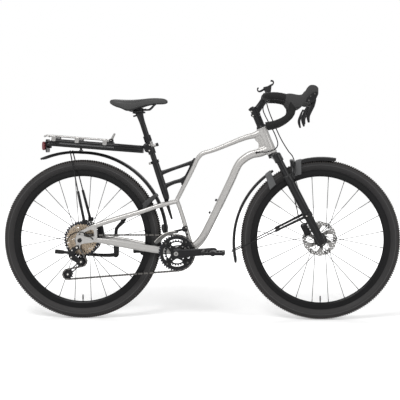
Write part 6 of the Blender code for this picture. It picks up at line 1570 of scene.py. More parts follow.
    def lamp(self) -> None:
        """Builds the red lamp, its ribs and its bracket."""
        lens = swept(
            placed(about(TAIL_AT), (-0.002, 0, -0.0418, 0.008, 0.030), (-0.0035, 0, -0.038, 0.0145, 0.0375),
                   (-0.0035, 0, -0.030, 0.016, 0.040), (-0.0035, 0, 0.030, 0.016, 0.040),
                   (-0.0035, 0, 0.038, 0.0145, 0.0375), (-0.002, 0, 0.0418, 0.008, 0.030)), 32, 3.4, X, 4)
        dressed("tail_lamp_lens", lens, (RED_LENS,), "frame", ("tail_lamp",), sharp=55)
        spots = [Spot(TAIL_AT + side(-0.0112, 0.012 - 0.006 * i, -0.026), facing(Y),
                      (0.0008, 0.0008, 0.052)) for i in range(5)]
        self.repeater.dress("tail_lamp_ribs", peg(sides=8), spots, RED_LENS, "frame")
        outline = eased([(-0.030, -0.030), (0.030, -0.030), (0.036, -0.022), (0.036, 0.022), (0.030, 0.030),
                         (-0.030, 0.030), (-0.036, 0.022), (-0.036, -0.022)], 0.003, True)
        sheet = plate(outline, [circle(0.003, 16, (x, 0.024)) for x in (-0.024, 0.024)], 0.004,
                      basis(Y, Z, TAIL_AT + side(0.0069, 0)), 0.0008)
        boss = bar(TAIL_AT + side(0.006, -0.002), TAIL_AT + side(0.024, -0.002), 0.0088, 36, 0.001)
        arm = swept(
            [(TAIL_AT + side(0.0085, 0.016), 0.036, 0.006),
             (rack(RACK_LENGTH + 0.012, -0.012), 0.036, 0.006),
             (rack(RACK_LENGTH - 0.006, -0.006), 0.044, 0.006)], 24, 4.0)
        dressed("tail_lamp_bracket", gathered([sheet, boss, arm]), (BLACK_ALLOY,), "frame", sharp=45)

    def build(self) -> None:
        """Builds the rack."""
        self.beam()
        self.rails()
        self.clamp()
        self.lever()
        self.lamp()


# Fenders
@dataclass
class Fenders:
    """The long rear fender, the front fender in two lengths, and their stays and cheeks."""

    repeater: Repeater
    width: float = 0.058
    thickness: float = 0.0022
    droop: float = 0.012
    wire: float = 0.0024

    def sheet(self, centre: Vector, start: float, end: float, first: float, last: float,
              droop: float) -> bpy.types.Mesh:
        """A rolled sheet round an axle with rounded ends.

        Args:
            centre: The axle.
            start: Its first azimuth in degrees.
            end: Its last azimuth in degrees.
            first: Inner radius at the start.
            last: Inner radius at the end.
            droop: How far its edges hang beside the tyre.

        Returns:
            The sheet as a closed mesh.
        """
        rings, steps = [], max(24, int(abs(end - start) * 1.2))
        for i in range(steps + 1):
            share = i / steps
            azimuth = start + (end - start) * share
            radius = fender_radius(azimuth) if centre is REAR_AXLE else first + (last - first) * share
            near = min(share, 1 - share) * abs(end - start)
            narrow = math.sqrt(1 - (1 - min(near / 3.0, 1.0)) ** 2 * 0.45)
            half, depth, outer, inner = self.width / 2 * narrow, self.thickness, [], []
            for k in range(15):
                t = 2 * k / 14 - 1
                sag = -droop * narrow * abs(t) ** 3.2
                outer.append((t * half, depth + sag))
                inner.append((t * (half - depth * 0.9),
                              sag * (1 - depth / droop * 0.4) + (0 if abs(t) < 0.99 else 0.0006)))
            points = outer + list(reversed(inner))
            rings.append([centre + heading(azimuth) * (radius + up) + Y * y for y, up in points])
        return skin(rings)

    def cheeks(self, azimuth: float, radius: float, lean: float) -> bpy.types.Mesh:
        """The wedge cheeks that hang beside the tyre at a fender's end.

        Args:
            azimuth: Where they start.
            radius: The radius of the fender there.
            lean: Their length along the fender in degrees.

        Returns:
            The cheeks as a closed mesh.
        """
        reach = self.width / 2
        profile = [
            (-reach - 0.0025, radius - 0.062), (-reach - 0.0025, radius - 0.002),
            (-reach + 0.006, radius + 0.0045), (reach - 0.006, radius + 0.0045),
            (reach + 0.0025, radius - 0.002), (reach + 0.0025, radius - 0.062),
            (reach - 0.0008, radius - 0.062), (reach - 0.0008, radius - 0.0045),
            (reach - 0.009, radius + 0.0010), (-reach + 0.009, radius + 0.0010),
            (-reach + 0.0008, radius - 0.0045), (-reach + 0.0008, radius - 0.062)]
        profile = eased(profile, 0.0022, True)
        rings = []
        for share in (0.0, 0.12, 0.5, 0.88, 1.0):
            shrink = 0.4 if share in (0.0, 1.0) else 0.0
            angle = azimuth + lean * share
            rings.append([FRONT_AXLE + heading(angle + (radius - r) * (60 + 30 * (share - 0.5)))
                          * (r - shrink * 0.001) + Y * y * (1 - shrink * 0.012) for y, r in profile])
        return skin(rings)

    def rear(self) -> None:
        """Builds the rear fender, its struts and its grey bracket."""
        blade = self.sheet(REAR_AXLE, 4.4, 117.8, 0.0, 0.0, self.droop)
        dressed("rear_fender_blade", blade, (MOULDED,), "frame", ("rear_fender",), sharp=50)
        spots = []
        for hand, word in HANDS:
            top = REAR_AXLE + heading(97.5) * (fender_radius(97.5) - 0.0085) + Y * hand * (
                self.width / 2 + 0.0010)
            foot = REAR_AXLE + side(0.020, 0.0775, hand * 0.072)
            wire = rod([top + Z * 0.003, top, top.lerp(foot, 0.5) + Y * hand * 0.002, foot], 0.0027, 16, Y,
                       5, 0.001)
            sleeve = swept([(top.lerp(foot, 0.55) + Y * hand * 0.002, 0.0118, 0.0118),
                            (foot + side(-0.001, 0.010), 0.0128, 0.0128)], 28, 2.4, steps=2, dome=0.002)
            lug = swept(placed(about(foot), (0.002, 0.014, 0, 0.012, 0.026),
                               (0.003, -0.004, 0, 0.010, 0.022)), 24, 3.0, steps=2, dome=0.001)
            dressed("rear_fender_strut_" + word, gathered([wire, sleeve, lug], (0, 1, 1)),
                    (BLACK_ALLOY, MOULDED), "frame", sharp=50)
            spots.append(Spot(foot + side(0.0025, 0.005, hand * 0.0055), facing(Y * hand)))
            spots.append(Spot(top + side(0, 0.003, hand * 0.0020), facing(Y * hand)))
        self.stay_bracket()
        self.repeater.dress("rear_fender_bolts", bolt_head(0.0036, 0.0024), spots, BLACK_ALLOY, "frame")

    def stay_bracket(self) -> None:
        """Builds the grey bracket that carries the rear fender on the seat stays, beside the tyre."""
        arms = []
        for hand in (-1, 1):
            arms.append(
                swept([(REAR_AXLE + heading(30.6) * 0.3935 + Y * hand * 0.0285, 0.006, 0.017),
                       (REAR_AXLE + heading(30.4) * 0.3800 + Y * hand * 0.0325, 0.006, 0.018),
                       (REAR_AXLE + heading(29.8) * 0.3600 + Y * hand * 0.0360, 0.007, 0.020),
                       (REAR_AXLE + heading(29.2) * 0.3440 + Y * hand * 0.0375, 0.011, 0.024),
                       (REAR_AXLE + heading(28.0) * 0.3260 + Y * hand * 0.0380, 0.014, 0.027)], 28, 3.6,
                      dome=0.003))
            arms.append(disc(0.0095, hand * 0.0375 - 0.0086, hand * 0.0375 + 0.0086,
                             REAR_AXLE + heading(27.6) * 0.3290, 40, 0.0012))
            arms.append(bar(REAR_AXLE + heading(27.9) * 0.3240 + Y * hand * 0.038,
                            REAR_AXLE + heading(25.2) * 0.3160 + Y * hand * 0.040, 0.0060, 24))
        arms.append(
            swept(placed(about(REAR_AXLE), (0.3755, 0.0650, 0, 0.036, 0.026),
                         (0.3765, 0.0500, 0, 0.034, 0.030), (0.3785, 0.0300, 0, 0.030, 0.022)), 32, 4.0,
                  dome=0.003))
        dressed("rear_stay_bracket", gathered(arms), (BRACKET_GREY,), "frame", sharp=50)

    def front(self) -> None:
        """Builds the nose, the tail, their cheeks and the stay wire with its leg bands."""
        nose = self.sheet(
            FRONT_AXLE, 79.0, 108.7, TYRE_RADIUS + 0.0095 + 0.004 * 29.5 / 30, TYRE_RADIUS + 0.0095,
            self.droop + 0.0055)
        tail = self.sheet(FRONT_AXLE, 124.4, 195.4, TYRE_RADIUS + 0.0205, TYRE_RADIUS + 0.0395, self.droop)
        dressed("front_fender_nose_blade", nose, (MOULDED,), "suspension", ("front_fender_nose",), sharp=50)
        dressed("front_fender_tail_blade", tail, (MOULDED,), "suspension", ("front_fender_tail",), sharp=50)
        dressed("nose_cheeks", self.cheeks(103.5, TYRE_RADIUS + 0.01, 4.0), (CHEEK_GREY,), "suspension",
                sharp=45)
        dressed("tail_cheeks", self.cheeks(126.0, TYRE_RADIUS + 0.0215, 4.5), (CHEEK_GREY,), "suspension",
                sharp=45)
        hook = 187.5
        at_hook = TYRE_RADIUS + 0.0205 + 0.019 * (hook - 124.4) / 71
        at_side = TYRE_RADIUS + 0.0205 + 0.019 * (hook - 125.0) / 71
        back = FRONT_AXLE + heading(hook) * (at_hook + 0.0047)
        beside = FRONT_AXLE + heading(hook - 0.6) * (at_side - 0.010)
        clamp = leg(0.130, -0.006)
        far = beside + Y * 0.036
        half = [(clamp + Y * 0.0855).lerp(far, share) for share in (0.0, 0.03, 0.3, 0.6, 0.85, 0.97, 1.0)]
        half += [far.lerp(back + Y * 0.034, 0.6), back + Y * 0.028, back + Y * 0.018]
        sleeves = [
            swept([(place((clamp + Y * 0.0855).lerp(far, share)), w, w)
                   for share, w in ((0.03, 0.012), (0.12, 0.0115), (0.36, 0.0095), (0.38, 0.0125),
                                    (0.42, 0.0125), (0.44, 0.006))], 24, 2.4, steps=1, dome=0.001)
            for place in (Vector, mirrored)]
        wire = rod([*half, *[mirrored(p) for p in reversed(half)]], self.wire, 14, Y, 8)
        bands, spots = [], []
        for hand in (-1, 1):
            centre = leg(0, 0, hand * LEG_Y)
            profile = eased([(0.0193, 0.121), (0.0222, 0.121), (0.0226, 0.139), (0.0197, 0.139)], 0.001, True)
            bands.append(turned(profile, centre, LEG_UP, 48, ring=True))
            bands.append(bar(leg(0.130, -0.006, hand * 0.080), leg(0.130, -0.006, hand * 0.0875), 0.0048, 24))
            spots.append(Spot(leg(0.130, -0.006, hand * 0.0872), facing(Y * hand)))
        dressed("front_stay_wire", gathered([wire, *sleeves], (0, 1, 1)), (BLACK_ALLOY, MOULDED),
                "suspension", ("front_fender_stays",), sharp=60)
        dressed("front_stay_bands", gathered(bands), (MOULDED,), "suspension", sharp=50)
        self.repeater.dress("front_stay_bolts", bolt_head(0.0034, 0.0022), spots, STEEL, "suspension")

    def build(self) -> None:
        """Builds all fenders."""
        self.rear()
        self.front()


# Fork
@dataclass
class Fork:
    """The suspension fork: crown, stanchions, lowers with their arch, caliper and through axle."""

    repeater: Repeater
    stanchion: float = 0.016
    voxel: float = 0.0015

    def leg_shape(self, hand: int) -> bpy.types.Mesh:
        """One lower leg as a smooth loft.

        Args:
            hand: -1 for the right, 1 for the left.

        Returns:
            The leg as a closed mesh.
        """
        route = placed(
            leg, (LEG_TOP, 0, hand * LEG_Y, 0.042, 0.042), (LEG_TOP - 0.022, 0, hand * LEG_Y, 0.042, 0.042),
            (LEG_TOP - 0.050, 0, hand * LEG_Y, 0.0395, 0.0405), (0.190, 0, hand * LEG_Y, 0.038, 0.040),
            (0.095, 0, hand * (LEG_Y - 0.001), 0.034, 0.038),
            (0.025, 0, hand * (LEG_Y - 0.002), 0.026, 0.036),
            (-0.010, 0, hand * (LEG_Y - 0.002), 0.026, 0.032),
            (-0.017, 0, hand * (LEG_Y - 0.002), 0.020, 0.020))
        return swept(route, 40, 2.2)

    def lowers(self) -> None:
        """Fuses both legs and the arch, and adds the wipers, the axle and the foot nuts."""
        over = TYRE_RADIUS + 0.014
        arch = placed(
            leg, (over - 0.080, 0.006, -LEG_Y, 0.020, 0.018), (over - 0.043, 0.034, -0.062, 0.017, 0.014),
            (over - 0.014, 0.046, -0.044, 0.018, 0.014), (over, 0.050, -0.020, 0.019, 0.015))
        arch += [(mirrored(c), w, d) for c, w, d in reversed(arch)]
        bores = [bar(leg(LEG_TOP - 0.010, 0, hand * LEG_Y), leg(LEG_TOP + 0.010, 0, hand * LEG_Y), 0.0166, 40)
                 for hand in (-1, 1)]
        body = fused([self.leg_shape(-1), self.leg_shape(1), swept(arch, 28, 3.0, X)], self.voxel, 7, bores)
        dressed("fork_lower_legs", body, (GLOSS_BLACK,), "suspension", ("fork_lowers",), sharp=60)
        wipers = [turned(eased([(0.0162, -0.003), (0.0200, -0.003), (0.0200, 0.0010), (0.0178, 0.0045),
                                (0.0162, 0.0045)], 0.0008, True), leg(LEG_TOP, 0, hand * LEG_Y), LEG_UP, 56,
                         ring=True) for hand in (-1, 1)]
        dressed("fork_wipers", gathered(wipers), (HOOD,), "suspension")
        axle = turned(eased([(0, -0.0835), (0.0070, -0.0835), (0.0095, -0.0815), (0.0095, -0.0775),
                             (0.0058, -0.0775), (0.0058, 0.0770), (0, 0.0770)], 0.0005), FRONT_AXLE, Y, 40)
        dressed("front_through_axle", axle, (BLACK_ALLOY,), "suspension", ("front_axle",))
        spots = [Spot(leg(-0.0175, 0, hand * (LEG_Y - 0.002)), facing(-LEG_UP)) for hand in (-1, 1)]
        self.repeater.dress("fork_foot_nuts", bolt_head(0.0060, 0.0028), spots, SILVER_ALLOY, "suspension")

    def crown(self) -> None:
        """Builds the crown, the stanchions and their top caps."""
        half = placed(
            leg, (CROWN_AT + 0.0165, -0.012, 0, 0.032, 0.030),
            (CROWN_AT + 0.014, -0.008, 0.030, 0.032, 0.029),
            (CROWN_AT + 0.005, -0.001, 0.054, 0.036, 0.031), (CROWN_AT, 0, LEG_Y, 0.040, 0.033),
            (CROWN_AT, 0, 0.083, 0.032, 0.026))
        route = [(mirrored(c), w, d) for c, w, d in reversed(half[1:])] + half
        seat_ring = turned(
            eased([(0, -0.020), (0.0225, -0.020), (0.0225, -0.0010), (0, -0.0010)], 0.001), HEAD_LOW,
            HEAD_UP, 56)
        sockets = [bar(leg(CROWN_AT - 0.018, 0, hand * LEG_Y), leg(CROWN_AT + 0.0185, 0, hand * LEG_Y),
                       0.0205, 48, 0.002) for hand in (-1, 1)]
        dressed(
            "fork_crown_body", fused([swept(route, 32, 2.8, LEG_FRONT), seat_ring, *sockets], self.voxel,
                                     6), (GLOSS_BLACK,), "steering", ("fork_crown",), sharp=60)
        tubes = [bar(leg(LEG_TOP - 0.082, 0, hand * LEG_Y), leg(CROWN_AT + 0.0205, 0, hand * LEG_Y),
                     self.stanchion - 0.0002, 56) for hand in (-1, 1)]
        dressed("fork_stanchions", gathered(tubes), (GLOSS_BLACK,), "steering")
        caps = [turned(eased([(0, 0.0195), (0.0135, 0.0195), (0.0125, 0.0225), (0, 0.0225)], 0.0007),
                       leg(CROWN_AT, 0, hand * LEG_Y), LEG_UP, 40) for hand in (-1, 1)]
        dressed("fork_top_caps", gathered(caps), (BLACK_ALLOY,), "steering")

    def caliper(self) -> None:
        """Dresses the front caliper and its bolts."""
        dressed("front_caliper_body", softened("front_caliper", 0.0009, 3), (BLACK_ALLOY,), "suspension",
                ("front_caliper",), sharp=60)
        middle = leg(0.066, -0.038, 0.043)
        spots = [Spot(middle + LEG_UP * rise + Y * 0.0125, facing(Y)) for rise in (-0.020, 0.020)]
        spots += [Spot(middle + Y * 0.0165, facing(Y), (1.6, 1.6, 0.8))]
        self.repeater.dress("front_caliper_bolts", bolt_head(0.0045, 0.0045), spots, STEEL, "suspension")

    def build(self) -> None:
        """Builds the fork."""
        self.lowers()
        self.crown()
        self.caliper()


# Cockpit
@dataclass
class Cockpit:
    """The headset, stem, bar, wound tape, hoods, levers and phone cradle."""

    repeater: Repeater
    bar_radius: float = 0.0119
    clamp_radius: float = 0.0157
    tape_radius: float = 0.0162
    tape_pitch: float = 0.0165
    tape_start: float = 0.075
    hood_y: float = 0.2105

    def spacers(self) -> None:
        """Turns the bearing cover and the stack of spacers."""
        rows = [(0.0148, 0.0), (0.0235, 0.0), (0.0235, 0.003), (0.0190, 0.0118), (0.0148, 0.0118)]
        parts = [turned(eased(rows, 0.0007, True), head(HEAD_LENGTH + 0.0003), HEAD_UP, 64, ring=True)]
        for i in range(4):
            low = 0.0120 + i * 0.0109
            parts.append(hoop(0.0148, 0.0180, low, low + 0.0106, head(HEAD_LENGTH + 0.0003), HEAD_UP, 64))
        dressed("headset_stack", gathered(parts), (BLACK_ALLOY,), "steering", ("headset_spacers",))

    def stem(self) -> None:
        """Fuses the stem, and adds its cap, clamp ears and bolts."""
        clamp = turned(
            eased([(0, -0.0187), (0.0195, -0.0187), (0.0195, 0.019), (0.0185, 0.0195), (0, 0.0195)], 0.001),
            STEM_AT, HEAD_UP, 56)
        arm = swept([(STEM_AT + STEM_LINE * 0.005, 0.032, 0.035), (STEM_AT.lerp(BAR_AT, 0.5), 0.030, 0.031),
                     (BAR_AT - STEM_LINE * 0.012, 0.038, 0.034)], 32, 2.6)
        grip = disc(0.0215, -0.021, 0.021, BAR_AT, 56, 0.001)
        cut = [disc(0.0160, -0.03, 0.03, BAR_AT, 48)]
        dressed("stem_body", fused([clamp, arm, grip], 0.0012, 5, cut), (BLACK_ALLOY,), "steering",
                ("stem",), sharp=55)
        cap = turned(eased([(0, 0.0196), (0.0185, 0.0196), (0.0165, 0.0248), (0, 0.0250)], 0.0008), STEM_AT,
                     HEAD_UP, 56)
        dressed("stem_cap", cap, (BLACK_ALLOY,), "steering")
        ears = [swept([(side(0.2400, 0.9610), 0.030, 0.016), (side(0.2290, 0.9560), 0.026, 0.015),
                       (side(0.2190, 0.9500), 0.018, 0.009)], 24, 3.0, dome=0.002),
                bar(side(0.2420, 0.9300, -0.006), side(0.2285, 0.9240, -0.006), 0.0060, 24, 0.001)]
        dressed("stem_clamp_ears", gathered(ears), (BLACK_ALLOY,), "steering", sharp=50)
        spots = [Spot(STEM_AT + HEAD_UP * 0.0246, facing(HEAD_UP))]
        across = ahead_of(STEM_LINE)
        spots += [Spot(BAR_AT + STEM_LINE * 0.0100 + across * up * 0.0178 + Y * y, facing(STEM_LINE))
                  for up in (-1, 1) for y in (-0.014, 0.014)]
        spots += [Spot(STEM_AT - HEAD_FRONT * 0.0150 + HEAD_UP * rise - Y * 0.0125, facing(-Y))
                  for rise in (-0.010, 0.010)]
        self.repeater.dress("stem_bolts", bolt_head(0.0036, 0.0034), spots, STEEL, "steering")

    def handlebar(self) -> None:
        """Turns the bare middle of the bar."""
        half = self.tape_start + 0.002
        profile = [
            (0, -half), (self.bar_radius, -half), (self.bar_radius, -0.044),
            (self.bar_radius + 0.0004, -0.040), (self.clamp_radius, -0.028), (self.clamp_radius, 0.028),
            (self.bar_radius + 0.0004, 0.040), (self.bar_radius, 0.044), (self.bar_radius, half), (0, half)]
        dressed("bar_middle", turned(profile, BAR_AT, Y, 56), (BLACK_ALLOY,), "steering", ("handlebar",))

    def tape(self, hand: int, word: str) -> None:
        """Winds one side's tape: a spiral of overlapping turns, an end band and the bar plug.

        Args:
            hand: -1 for the right, 1 for the left.
            word: The side's name.
        """
        drop = [
            (0, 0, self.tape_start), (0, 0, 0.120), (0, 0, 0.158), (0.003, 0, 0.177),
            (0.020, 0.0005, 0.197), (0.052, -0.001, 0.206), (0.085, -0.008, 0.2095), (0.106, -0.026, 0.211),
            (0.114, -0.052, 0.212), (0.109, -0.076, 0.213), (0.093, -0.096, 0.214), (0.066, -0.113, 0.215),
            (0.034, -0.124, 0.216), (0.000, -0.1305, 0.216)]
        points = [tuple(BAR_AT + side(x, z, hand * y)) for x, z, y in drop]
        line = [Vector(row) for row in smooth_rows(points, 24)]
        rings, across, travelled, sides = [], Z, 0.0, 24
        for i, place in enumerate(line):
            along = (line[min(i + 1, len(line) - 1)] - line[max(i - 1, 0)]).normalized()
            across = (across - along * across.dot(along)).normalized()
            upward = along.cross(across)
            if i:
                travelled += (place - line[i - 1]).length
            ring = []
            for k in range(sides):
                angle = 2 * math.pi * k / sides
                turn = (travelled / self.tape_pitch + hand * k / sides) % 1.0
                ripple = 0.0002 * math.sin(angle * 3 + travelled * 90)
                rise = 0.00075 * (turn if turn < 0.88 else (1 - turn) * 7.3) + ripple
                radius = self.tape_radius - 0.0004 + rise
                ring.append(place + across * math.cos(angle) * radius + upward * math.sin(angle) * radius)
            rings.append(ring)
        dressed("wound_tape_" + word, skin(rings), (TAPE,), "steering", ("bar_tape_" + word,), sharp=75)
        band = bar(BAR_AT + Y * hand * (self.tape_start - 0.0002),
                   BAR_AT + Y * hand * (self.tape_start + 0.012), 0.0167, 48, 0.0005)
        plug = bar(line[-1] + X * 0.0005, line[-1] - X * 0.0015, 0.0140, 40, 0.0007)
        dressed("tape_ends_" + word, gathered([band, plug]), (HOSE,), "steering")

    def hood(self, hand: int, word: str) -> None:
        """Moulds one hood with its lever slot, and sets its side trim and screws on it.

        Args:
            hand: -1 for the right, 1 for the left.
            word: The side's name.
        """
        rows = [(0.084, -0.026, 0.006, 0.029), (0.094, -0.040, 0.0095, 0.033),
                (0.112, -0.055, 0.0095, 0.034), (0.146, -0.056, 0.004, 0.035),
                (0.164, -0.046, 0.012, 0.033), (0.180, -0.034, 0.036, 0.031), (0.192, -0.030, 0.046, 0.029),
                (0.206, -0.026, 0.047, 0.028), (0.218, -0.014, 0.043, 0.026), (0.227, 0.004, 0.034, 0.018)]
        y = hand * self.hood_y
        rings = []
        for along, low, high, width in smooth_rows(rows, 5):
            middle = BAR_AT + side(along, (low + high) / 2, y)
            rings.append([middle + side(0, up, across) for across, up in oval(width, high - low, 36, 2.5)])
        slot = plate(
            [(0.040, -0.060), (-0.048, -0.060), (-0.048, -0.022), (-0.024, -0.018), (-0.0135, 0.0095),
             (0.012, 0.012), (0.040, 0.012)], [], 0.0108, side_plane(y, LEVER_PIVOT))
        pocket = plate([(-0.024, -0.072), (-0.084, -0.072), (-0.078, -0.026), (-0.034, -0.024)], [], 0.0240,
                       side_plane(y, LEVER_PIVOT))
        body = fused([skin(rings)], 0.0011, 5, [slot, pocket])
        dressed("hood_shell_" + word, body, (HOOD,), "steering", ("brake_hood_" + word,), sharp=65)
        trim = plate(
            eased([(0.2190, 0.0180), (0.1960, 0.0080), (0.1770, -0.0090), (0.1720, -0.0290),
                   (0.1860, -0.0330), (0.2050, -0.0290), (0.2170, -0.0120), (0.2225, 0.0060)], 0.004, True),
            [], 0.0075, side_plane(y + hand * 0.0129, BAR_AT), 0.0015)
        dots = [
            disc(radius, y + hand * 0.0169 - 0.0009, y + hand * 0.0169 + 0.0009, BAR_AT + side(along, up),
                 24, 0.0004) for along, up, radius in ((0.1860, -0.0215, 0.0034), (0.1930, -0.0030, 0.0028),
                                                       (0.2110, 0.0075, 0.0032))]
        dressed("hood_trim_" + word, gathered([trim, *dots], (0, 1, 1, 1)), (BLACK_ALLOY, GUIDE_STEEL),
                "steering", sharp=45)

    def levers(self, hand: int, word: str) -> None:
        """Forges one brake blade and the shift paddle behind it.

        Args:
            hand: -1 for the right, 1 for the left.
            word: The side's name.
        """
        y = hand * self.hood_y
        rows = [((0.000, 0.000), 0.0085, 0.014), ((-0.002, -0.016), 0.0085, 0.017),
                ((-0.010, -0.038), 0.010, 0.021), ((-0.0195, -0.058), 0.012, 0.0205),
                ((-0.028, -0.084), 0.012, 0.0160), ((-0.0255, -0.110), 0.011, 0.0095)]
        blade = swept([(LEVER_PIVOT + side(x, z, y), w, d) for (x, z), w, d in rows], 28, 2.6, dome=0.0015)
        root = disc(0.008, y - 0.0043, y + 0.0043, LEVER_PIVOT, 36)
        place = SHIFT_PIVOT + Y * y
        boss = bar(place + X * 0.0053, place + X * 0.016, 0.0045, 28)
        dressed("brake_blade_" + word, fused([blade, root, boss], 0.0007, 4), (BLACK_ALLOY,), "brake_" + word,
                ("brake_lever_" + word,), sharp=60)
        route = [
            (side(0.000, 0.001), 0.008, 0.0075), (side(-0.006, -0.010, -hand * 0.001), 0.009, 0.009),
            (side(-0.013, -0.030, -hand * 0.004), 0.009, 0.0125),
            (side(-0.019, -0.054, -hand * 0.006), 0.010, 0.0135),
            (side(-0.013, -0.082, -hand * 0.005), 0.008, 0.0085)]
        paddle = swept([(place + offset, w, d) for offset, w, d in route], 28, 2.6, dome=0.0015)
        hinge = bar(place - X * 0.005, place + X * 0.005, 0.0050, 28)
        dressed("shift_paddle_" + word, fused([paddle, hinge], 0.0006, 4), (BLACK_ALLOY,), "shift_" + word,
                ("shift_lever_" + word,), sharp=60)

    def cradle(self) -> None:
        """Builds the phone cradle: a tray with four hooks, and two clamps with wedges up to it."""
        right, up = heading(29.5), heading(119.5)
        place = BAR_AT + side(0.004, 0.0465)
        tray = plate(
            eased([(-0.034, -0.034), (0.033, -0.034), (0.033, 0.034), (-0.034, 0.034)], 0.006, True), [],
            0.0065, basis(right, Y, place), 0.0010)
        parts = [tray]
        for end, turn in ((-0.034, -1), (0.033, 1)):
            for y in (-0.024, 0.024):
                route = [(end - turn * 0.008, 0.0), (end, 0.0005), (end + turn * 0.0055, 0.004),
                         (end + turn * 0.0070, 0.0100), (end + turn * 0.0045, 0.0155),
                         (end - turn * 0.0010, 0.0185)]
                parts.append(swept([(place + right * along + up * rise + Y * y, 0.013, 0.0052 if k else 0.006)
                                    for k, (along, rise) in enumerate(route)], 20, 3.4, dome=0.001))
        for hand in (-1, 1):
            parts.append(hoop(0.0123, 0.0172, -0.0045, 0.0045, BAR_AT + Y * hand * 0.049, Y, 48, 0.001))
            parts.append(
                swept([(BAR_AT + side(0.004, 0.0145, hand * 0.049), 0.009, 0.020),
                       (BAR_AT + side(0.010, 0.028, hand * 0.046), 0.009, 0.026),
                       (place + right * 0.004 + Y * hand * 0.031, 0.011, 0.038)], 24, 3.4))
        dressed("phone_cradle", gathered(parts), (MOULDED,), "steering", ("phone_holder",), sharp=45)
        spots = [Spot(BAR_AT + side(0.0150, 0.0, hand * 0.049), facing(X)) for hand in (-1, 1)]
        self.repeater.dress("cradle_bolts", bolt_head(0.0030, 0.0026), spots, STEEL, "steering")

    def build(self) -> None:
        """Builds the cockpit."""
        self.spacers()
        self.stem()
        self.handlebar()
        for hand, word in HANDS:
            self.tape(hand, word)
            self.hood(hand, word)
            self.levers(hand, word)
        self.cradle()


# Drive
PITCH: Final = 0.0127


def pitch_radius(teeth: int) -> float:
    """The radius at which a sprocket carries the chain's pins."""
    return PITCH / 2 / math.sin(math.pi / teeth)


@dataclass
class ChainPath:
    """The closed path of the chain round ring, cog and both pulleys."""

    links: int = 118
    cage_length: float = 0.086
    ring_teeth: int = 40
    cog_teeth: int = 11
    pulley_teeth: int = 11
    ring_y: float = -0.049
    cog_y: float = -0.062

    def __post_init__(self) -> None:
        """Finds the cage angle at which the chain closes, and its runs."""
        low, high = 190.0, 270.0
        for _ in range(40):
            middle = (low + high) / 2
            if sum(run[1] for run in self.runs_at(middle)) > self.links:
                low = middle
            else:
                high = middle
        self.cage_angle = (low + high) / 2
        self.tension_at = GUIDE_AT + heading(self.cage_angle) * self.cage_length
        self.runs = self.runs_at(self.cage_angle)

    def runs_at(self, cage_angle: float) -> list[tuple]:
        """The path as arcs and straights, each with its length in links.

        Args:
            cage_angle: The cage's direction in degrees.

        Returns:
            The runs in order.
        """
        tension = GUIDE_AT + heading(cage_angle) * self.cage_length
        wheels = [(BRACKET, self.ring_teeth, 1, self.ring_y), (REAR_AXLE, self.cog_teeth, 1, self.cog_y),
                  (GUIDE_AT, self.pulley_teeth, -1, self.cog_y), (tension, self.pulley_teeth, 1, self.cog_y)]
        tangents = []
        for near, far in zip(wheels, wheels[1:] + wheels[:1]):
            offset = far[2] * pitch_radius(far[1]) - near[2] * pitch_radius(near[1])
            span = far[0] - near[0]
            slope = math.atan2(span.z, span.x) - math.asin(offset / span.length)
            tangents.append((slope, math.sqrt(span.length ** 2 - offset ** 2) / PITCH))
        runs = []
        for i, wheel in enumerate(wheels):
            start, leave = tangents[i - 1][0], tangents[i][0]
            turn = (leave - start) * wheel[2] % (2 * math.pi)
            runs.append(("arc", turn * wheel[1] / (2 * math.pi), start - wheel[2] * math.pi / 2, wheel))
            runs.append(("straight", tangents[i][1], leave, wheel, wheels[(i + 1) % len(wheels)]))
        return runs

    def place(self, along: float) -> Vector:
        """A point of the chain's middle line.

        Args:
            along: How many links along the path it lies.

        Returns:
            The point.
        """
        along %= self.links
        for run in self.runs:
            if along <= run[1] or run is self.runs[-1]:
                break
            along -= run[1]
        centre, teeth, sense, y = run[3]
        radius = pitch_radius(teeth)
        if run[0] == "arc":
            angle = run[2] + sense * along * 2 * math.pi / teeth
            return centre + side(math.cos(angle) * radius, math.sin(angle) * radius, y)
        leave = run[2] - sense * math.pi / 2
        start = centre + side(math.cos(leave), math.sin(leave)) * radius
        drift = y + (run[4][3] - y) * along / run[1]
        return start + side(math.cos(run[2]), math.sin(run[2])) * along * PITCH + Y * drift

    def phase(self, number: int) -> float:
        """The angle of one tooth of a wheel, midway between two of the chain's pins.

        Args:
            number: The wheel's place on the path.

        Returns:
            The angle in radians.
        """
        passed = sum(run[1] for run in self.runs[:number * 2])
        _, _, start, wheel = self.runs[number * 2]
        return start + wheel[2] * (math.ceil(passed) + 0.5 - passed) * 2 * math.pi / wheel[1]


def gear_outline(teeth: int, phase: float = 0.0) -> list[Pair]:
    """The outline of a sprocket with rounded valleys for the rollers.

    Args:
        teeth: Number of teeth.
        phase: Angle of one tooth in radians.

    Returns:
        The outline.
    """
    radius, step, outline = pitch_radius(teeth), 2 * math.pi / teeth, []
    for i in range(teeth):
        for share, level in (
                (-0.36, -0.0030), (-0.27, -0.0010), (-0.19, 0.0008), (-0.10, 0.0026), (0.10, 0.0026),
                (0.19, 0.0008), (0.27, -0.0010), (0.36, -0.0030), (0.50, -0.0038)):
            angle = phase + step * (i + share)
            outline.append(((radius + level) * math.cos(angle), (radius + level) * math.sin(angle)))
    return outline


